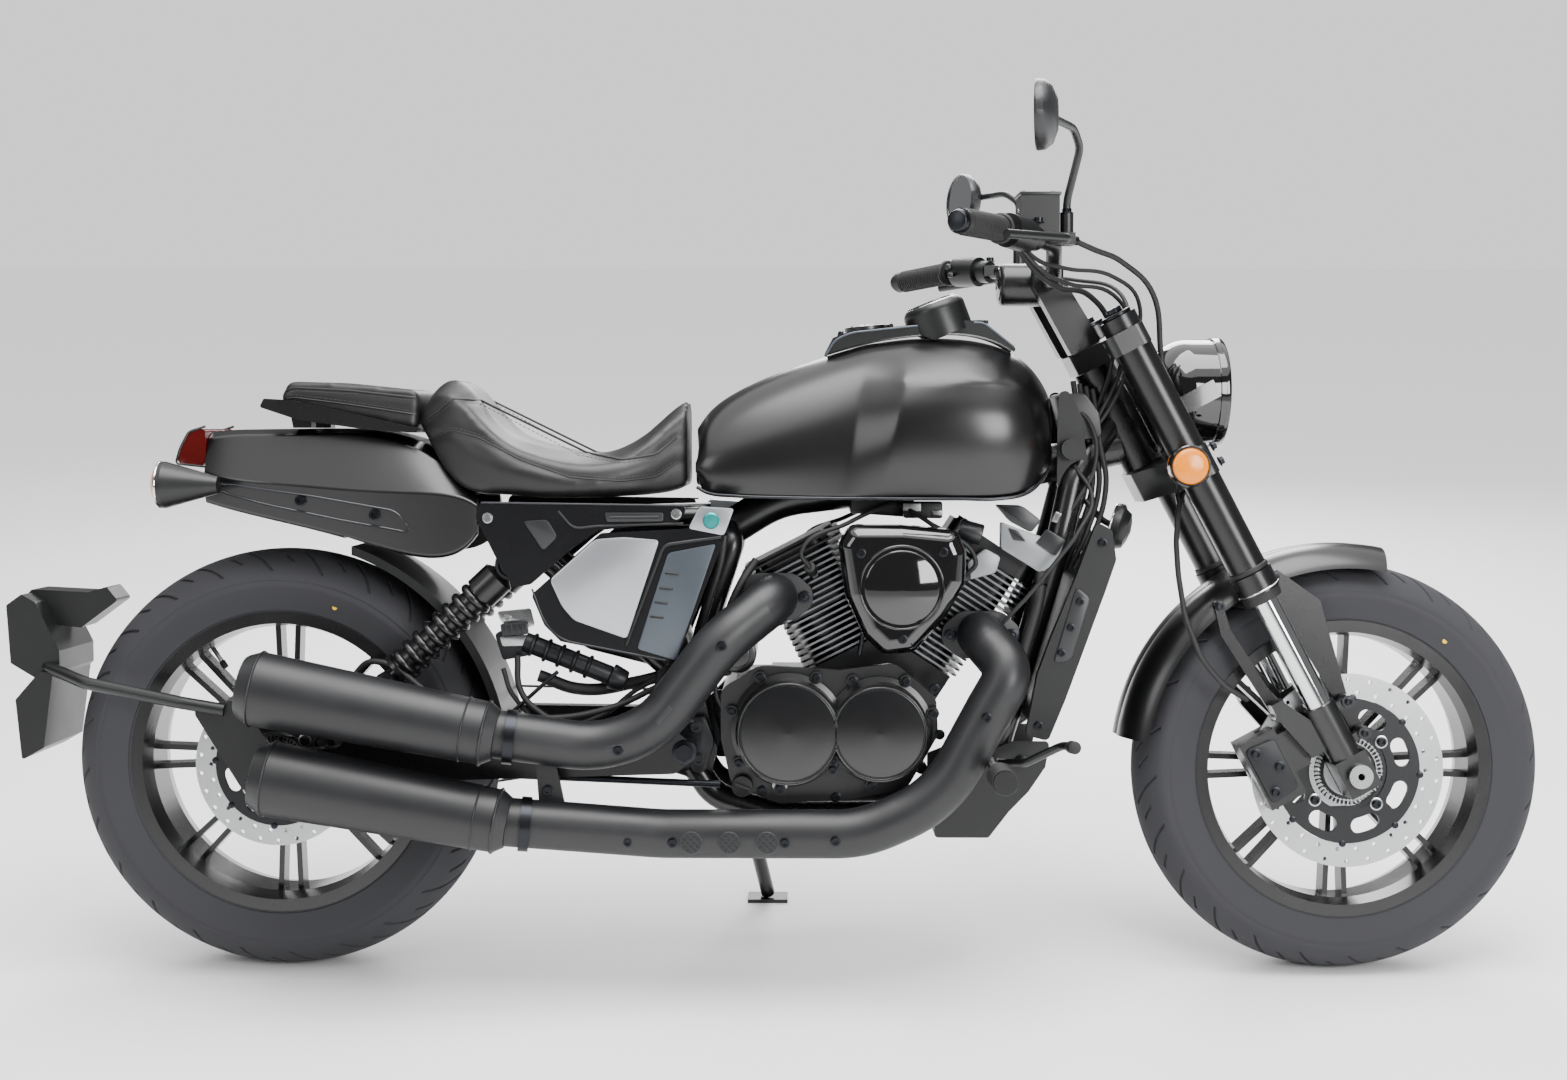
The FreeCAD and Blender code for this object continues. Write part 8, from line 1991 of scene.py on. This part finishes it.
@dataclass
class Cables:
    """The throttle and clutch cables, the bar's wires and the brake's upper hose."""

    throttle: Cord = Cord(((1034, -238, 1040), (1060, -214, 1018), (1112, -160, 1010), (1190, -104, 1004),
                           (1232, -74, 972), (1226, -60, 900), (1196, -52, 822), (1164, -44, 778)), 3.0)
    idle: Cord = Cord(((1034, -244, 1030), (1066, -216, 1004), (1118, -150, 990), (1192, -92, 980),
                       (1220, -64, 944), (1212, -52, 880), (1182, -46, 812), (1158, -40, 772)), 3.0)
    clutch: Cord = Cord(((1062, 214, 1036), (1110, 184, 1030), (1176, 120, 1022), (1236, 70, 996),
                         (1240, 44, 930), (1214, 34, 850), (1180, 40, 790), (1160, 44, 766)), 3.2)
    wires: Cord = Cord(((1032, -240, 1028), (1070, -190, 998), (1110, -130, 986), (1160, -80, 980),
                        (1196, -50, 940), (1200, -34, 880), (1180, -30, 820), (1156, -34, 770)), 4.2)
    hose: Cord = Cord(((1112, -206, 1044), (1142, -190, 1034), (1196, -140, 1020), (1246, -104, 980),
                       (1262, -84, 900), (1276, -66, 800), (1286, -62, 720), (1296, -62, 690)), 4.0)
    hose_ends: tuple[Run, ...] = (((1104, -209, 1042), (1120, -203, 1043)),
                                  ((1295, -62, 700), (1298, -62, 684)))
    bend_start: Point = (1226, 0, 960)
    bend_end: Point = (1160, 0, 775)

    def build(self) -> None:
        """Adds the cables, drawn in the turned front end's frame and left on no body, and the brake's upper
        hose with its ends.
        """
        start = Place.FRONT_END.matrix() @ Vector(self.bend_start)
        end = Place.MACHINE.matrix() @ Vector(self.bend_end)
        for name, cord in (("throttle_cable", self.throttle), ("idle_cable", self.idle),
                           ("clutch_cable", self.clutch), ("bar_wires", self.wires)):
            piece = Form(name, Place.FRONT_END, SOFT_RUBBER).cords([cord]).made(sharp=False)
            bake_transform(piece)
        Form("upper_brake_hose", Place.FRONT_END, SOFT_RUBBER).cords([self.hose]).leave("steering")
        ends = Form("hose_ends", Place.FRONT_END, BLACK_OXIDE)
        for near, far in self.hose_ends:
            ends.rod(near, far, 6.5, soft=1)
        ends.leave("steering")


@dataclass
class RunningGearTrim:
    """Foot pegs, pedals, the swing arm's bolts and the rear brake's hose."""

    peg_root: Point = (1028, 216, 318)
    peg_tip: Point = (1028, 292, 321)
    peg_ribs: int = 8
    pedal_tip: Point = (1128, 200, 356)
    pivot: Point = (590, 132.8, 335)
    arm_bolts: tuple[Point, ...] = ((345, 126.5, 600), (165, 126.5, 432))
    hose: Cord = Cord(((110, -98, 434), (150, -122, 462), (250, -136, 408), (380, -136, 384),
                       (480, -128, 396),
                       (560, -112, 430)), 4.5)

    def build(self) -> None:
        """Adds everything about the running gear."""
        pegs = Form("peg_rubbers", Place.MACHINE, SOFT_RUBBER)
        pedals = Form("pedal_pads", Place.MACHINE, SOFT_RUBBER)
        for side in SIDES:
            root, tip = mirrored(self.peg_root, side), mirrored(self.peg_tip, side)
            way = (tip - root).normalized()
            for i in range(self.peg_ribs):
                pegs.ring(root.lerp(tip, (i + 0.5) / self.peg_ribs), way, 16.4, 2.2, steps=28)
            toe = mirrored(self.pedal_tip, side)
            pedals.rod(toe - Vector((0, side * 6, 2)), toe + Vector((0, side * 34, 3)), 9, soft=3)
        pegs.leave("chassis")
        pedals.leave("chassis")
        pins = Form("swingarm_bolts", Place.MACHINE, BLACK_OXIDE)
        for side in SIDES:
            pins.bolt(mirrored(self.pivot, side), (0, side, 0), 13, socket=False)
            for place in self.arm_bolts:
                pins.bolt(mirrored(place, side), (0, side, 0), 9)
        pins.leave("chassis")
        Form("rear_brake_hose", Place.MACHINE, SOFT_RUBBER).cords([self.hose]).leave("chassis")


@dataclass
class PlateLampTrim:
    """The lens of the lamp over the number plate."""

    centre: Point = (-380.5, 0, 544.9)
    size: Point = (16, 40, 4)
    tilt_deg: float = -40.0

    def build(self) -> None:
        """Adds the lens."""
        lens = Form("plate_lamp_lens", Place.MACHINE, CLEAR_LENS)
        lens.block(self.centre, self.size, self.tilt_deg, "Y", 1)
        lens.leave("chassis")


# Studio

@dataclass
class Studio:
    """The pale floor, the soft lights and the camera."""

    eye: Point = (0.0306, -2.9606, 1.142)
    yaw: float = -0.009
    dip: float = 0.177
    lens_mm: float = 45.85
    floor_half: float = 24.0
    sky: float = 3.4
    surround: float = 0.2
    backdrop: float = 1.15

    def floor(self) -> None:
        """Lays the floor."""
        mesh = bpy.data.meshes.new("floor")
        bm = bmesh.new()
        bmesh.ops.create_grid(bm, x_segments=1, y_segments=1, size=self.floor_half)
        bm.to_mesh(mesh)
        bm.free()
        floor = bpy.data.objects.new("floor", mesh)
        bpy.context.scene.collection.objects.link(floor)
        paper = Finish("matt_paper", "f2f2f2", "eeeeee", roughness=0.9, grain_mm=4.0, bump_mm=0.01)
        mesh.materials.append(paper.build())

    def lamp(self, name: str, at: Point, aim: Point, size: float, watts: float) -> None:
        """Hangs one soft square light."""
        data = bpy.data.lights.new(name, "AREA")
        data.shape = "SQUARE"
        data.size = size
        data.energy = watts
        lamp = bpy.data.objects.new(name, data)
        lamp.location = at
        lamp.rotation_euler = (Vector(aim) - Vector(at)).to_track_quat("-Z", "Y").to_euler()
        bpy.context.scene.collection.objects.link(lamp)

    def lights(self) -> None:
        """Hangs the lights and sets the soft surround."""
        self.lamp("overhead", (0.3, -0.6, 3.6), (0, 0, 0.5), 2.6, 210)
        self.lamp("rear_quarter", (-3.0, -3.0, 2.4), (-0.4, 0, 0.5), 1.6, 38)
        self.lamp("front_quarter", (2.6, -3.8, 2.0), (0.3, 0, 0.6), 1.8, 165)
        self.lamp("behind", (0.5, 3.6, 2.6), (0, 0, 0.6), 2.2, 170)
        sky = bpy.data.lights.new("sky_panel", "SUN")
        sky.energy = self.sky
        sky.angle = math.radians(100)
        bpy.context.scene.collection.objects.link(bpy.data.objects.new("sky_panel", sky))
        world = bpy.data.worlds.new("soft_surround")
        world.use_nodes = True
        tree = world.node_tree
        back = tree.nodes["Background"]
        back.inputs["Color"].default_value = (1, 1, 1, 1)
        seen = add_node(tree, "ShaderNodeLightPath").outputs["Is Camera Ray"]
        glow = add_node(tree, "ShaderNodeMapRange",
                        {"Value": seen, "To Min": self.surround, "To Max": self.backdrop})
        tree.links.new(glow.outputs["Result"], back.inputs["Strength"])
        bpy.context.scene.world = world

    def camera(self) -> None:
        """Sets the camera where the photograph was taken from."""
        data = bpy.data.cameras.new("camera")
        data.lens = self.lens_mm
        data.sensor_width = 36.0
        data.clip_end = 60.0
        camera = bpy.data.objects.new("camera", data)
        camera.location = self.eye
        ahead = Vector((math.sin(self.yaw) * math.cos(self.dip), math.cos(self.yaw) * math.cos(self.dip),
                        -math.sin(self.dip)))
        camera.rotation_euler = ahead.to_track_quat("-Z", "Y").to_euler()
        bpy.context.scene.collection.objects.link(camera)
        bpy.context.scene.camera = camera

    def build(self) -> None:
        """Builds the whole studio."""
        self.floor()
        self.lights()
        self.camera()


def build_machine() -> None:
    """Builds every piece of the machine."""
    TreadedTyre("treaded_front_tyre", Place.FRONT_WHEEL, "front_wheel", 299, 120, 68, 216).build()
    TreadedTyre("treaded_rear_tyre", Place.REAR_WHEEL, "rear_wheel", 308, 150, 88, 219).build()
    WheelTrim("front", Place.FRONT_WHEEL, "front_wheel", 299, 216, 60, 12).build()
    WheelTrim("rear", Place.REAR_WHEEL, "rear_wheel", 308, 219, 75, 30).build()
    BrakeDisc("front", Place.FRONT_WHEEL, "front_wheel", 140, 68, 52).build()
    BrakeDisc("rear", Place.REAR_WHEEL, "rear_wheel", 118, 82, 64).build()
    Cushion("rider_seat", "seat_cushion",
            [(222, 806), (262, 834), (300, 832), (360, 800), (430, 760), (500, 748), (548, 756), (576, 780)],
            [(226, 778), (262, 790), (300, 780), (360, 748), (430, 724), (500, 718), (548, 724),
             (576, 744)]).build()
    Cushion("pillion_seat", "pillion_cushion",
            [(10, 842), (30, 850), (110, 846), (204, 836)], [(12, 832), (30, 836), (110, 826),
                                                             (204, 812)]).build()
    for trim in (TankShell, TankTrim, TailTrim, SidePanelTrim, RearBrakeTrim, CylinderTrim, EngineTrim,
                 ExhaustTrim, CoolingTrim, HornTrim, ForkTrim, LampTrim, BarTrim, Cables, RunningGearTrim,
                 PlateLampTrim):
        trim().build()


def main() -> None:
    """Builds the studio and every piece."""
    logging.basicConfig(level=logging.INFO, format="%(name)s: %(message)s")
    Studio().build()
    dress_nodes()
    build_machine()


if __name__ == "__main__":
    main()
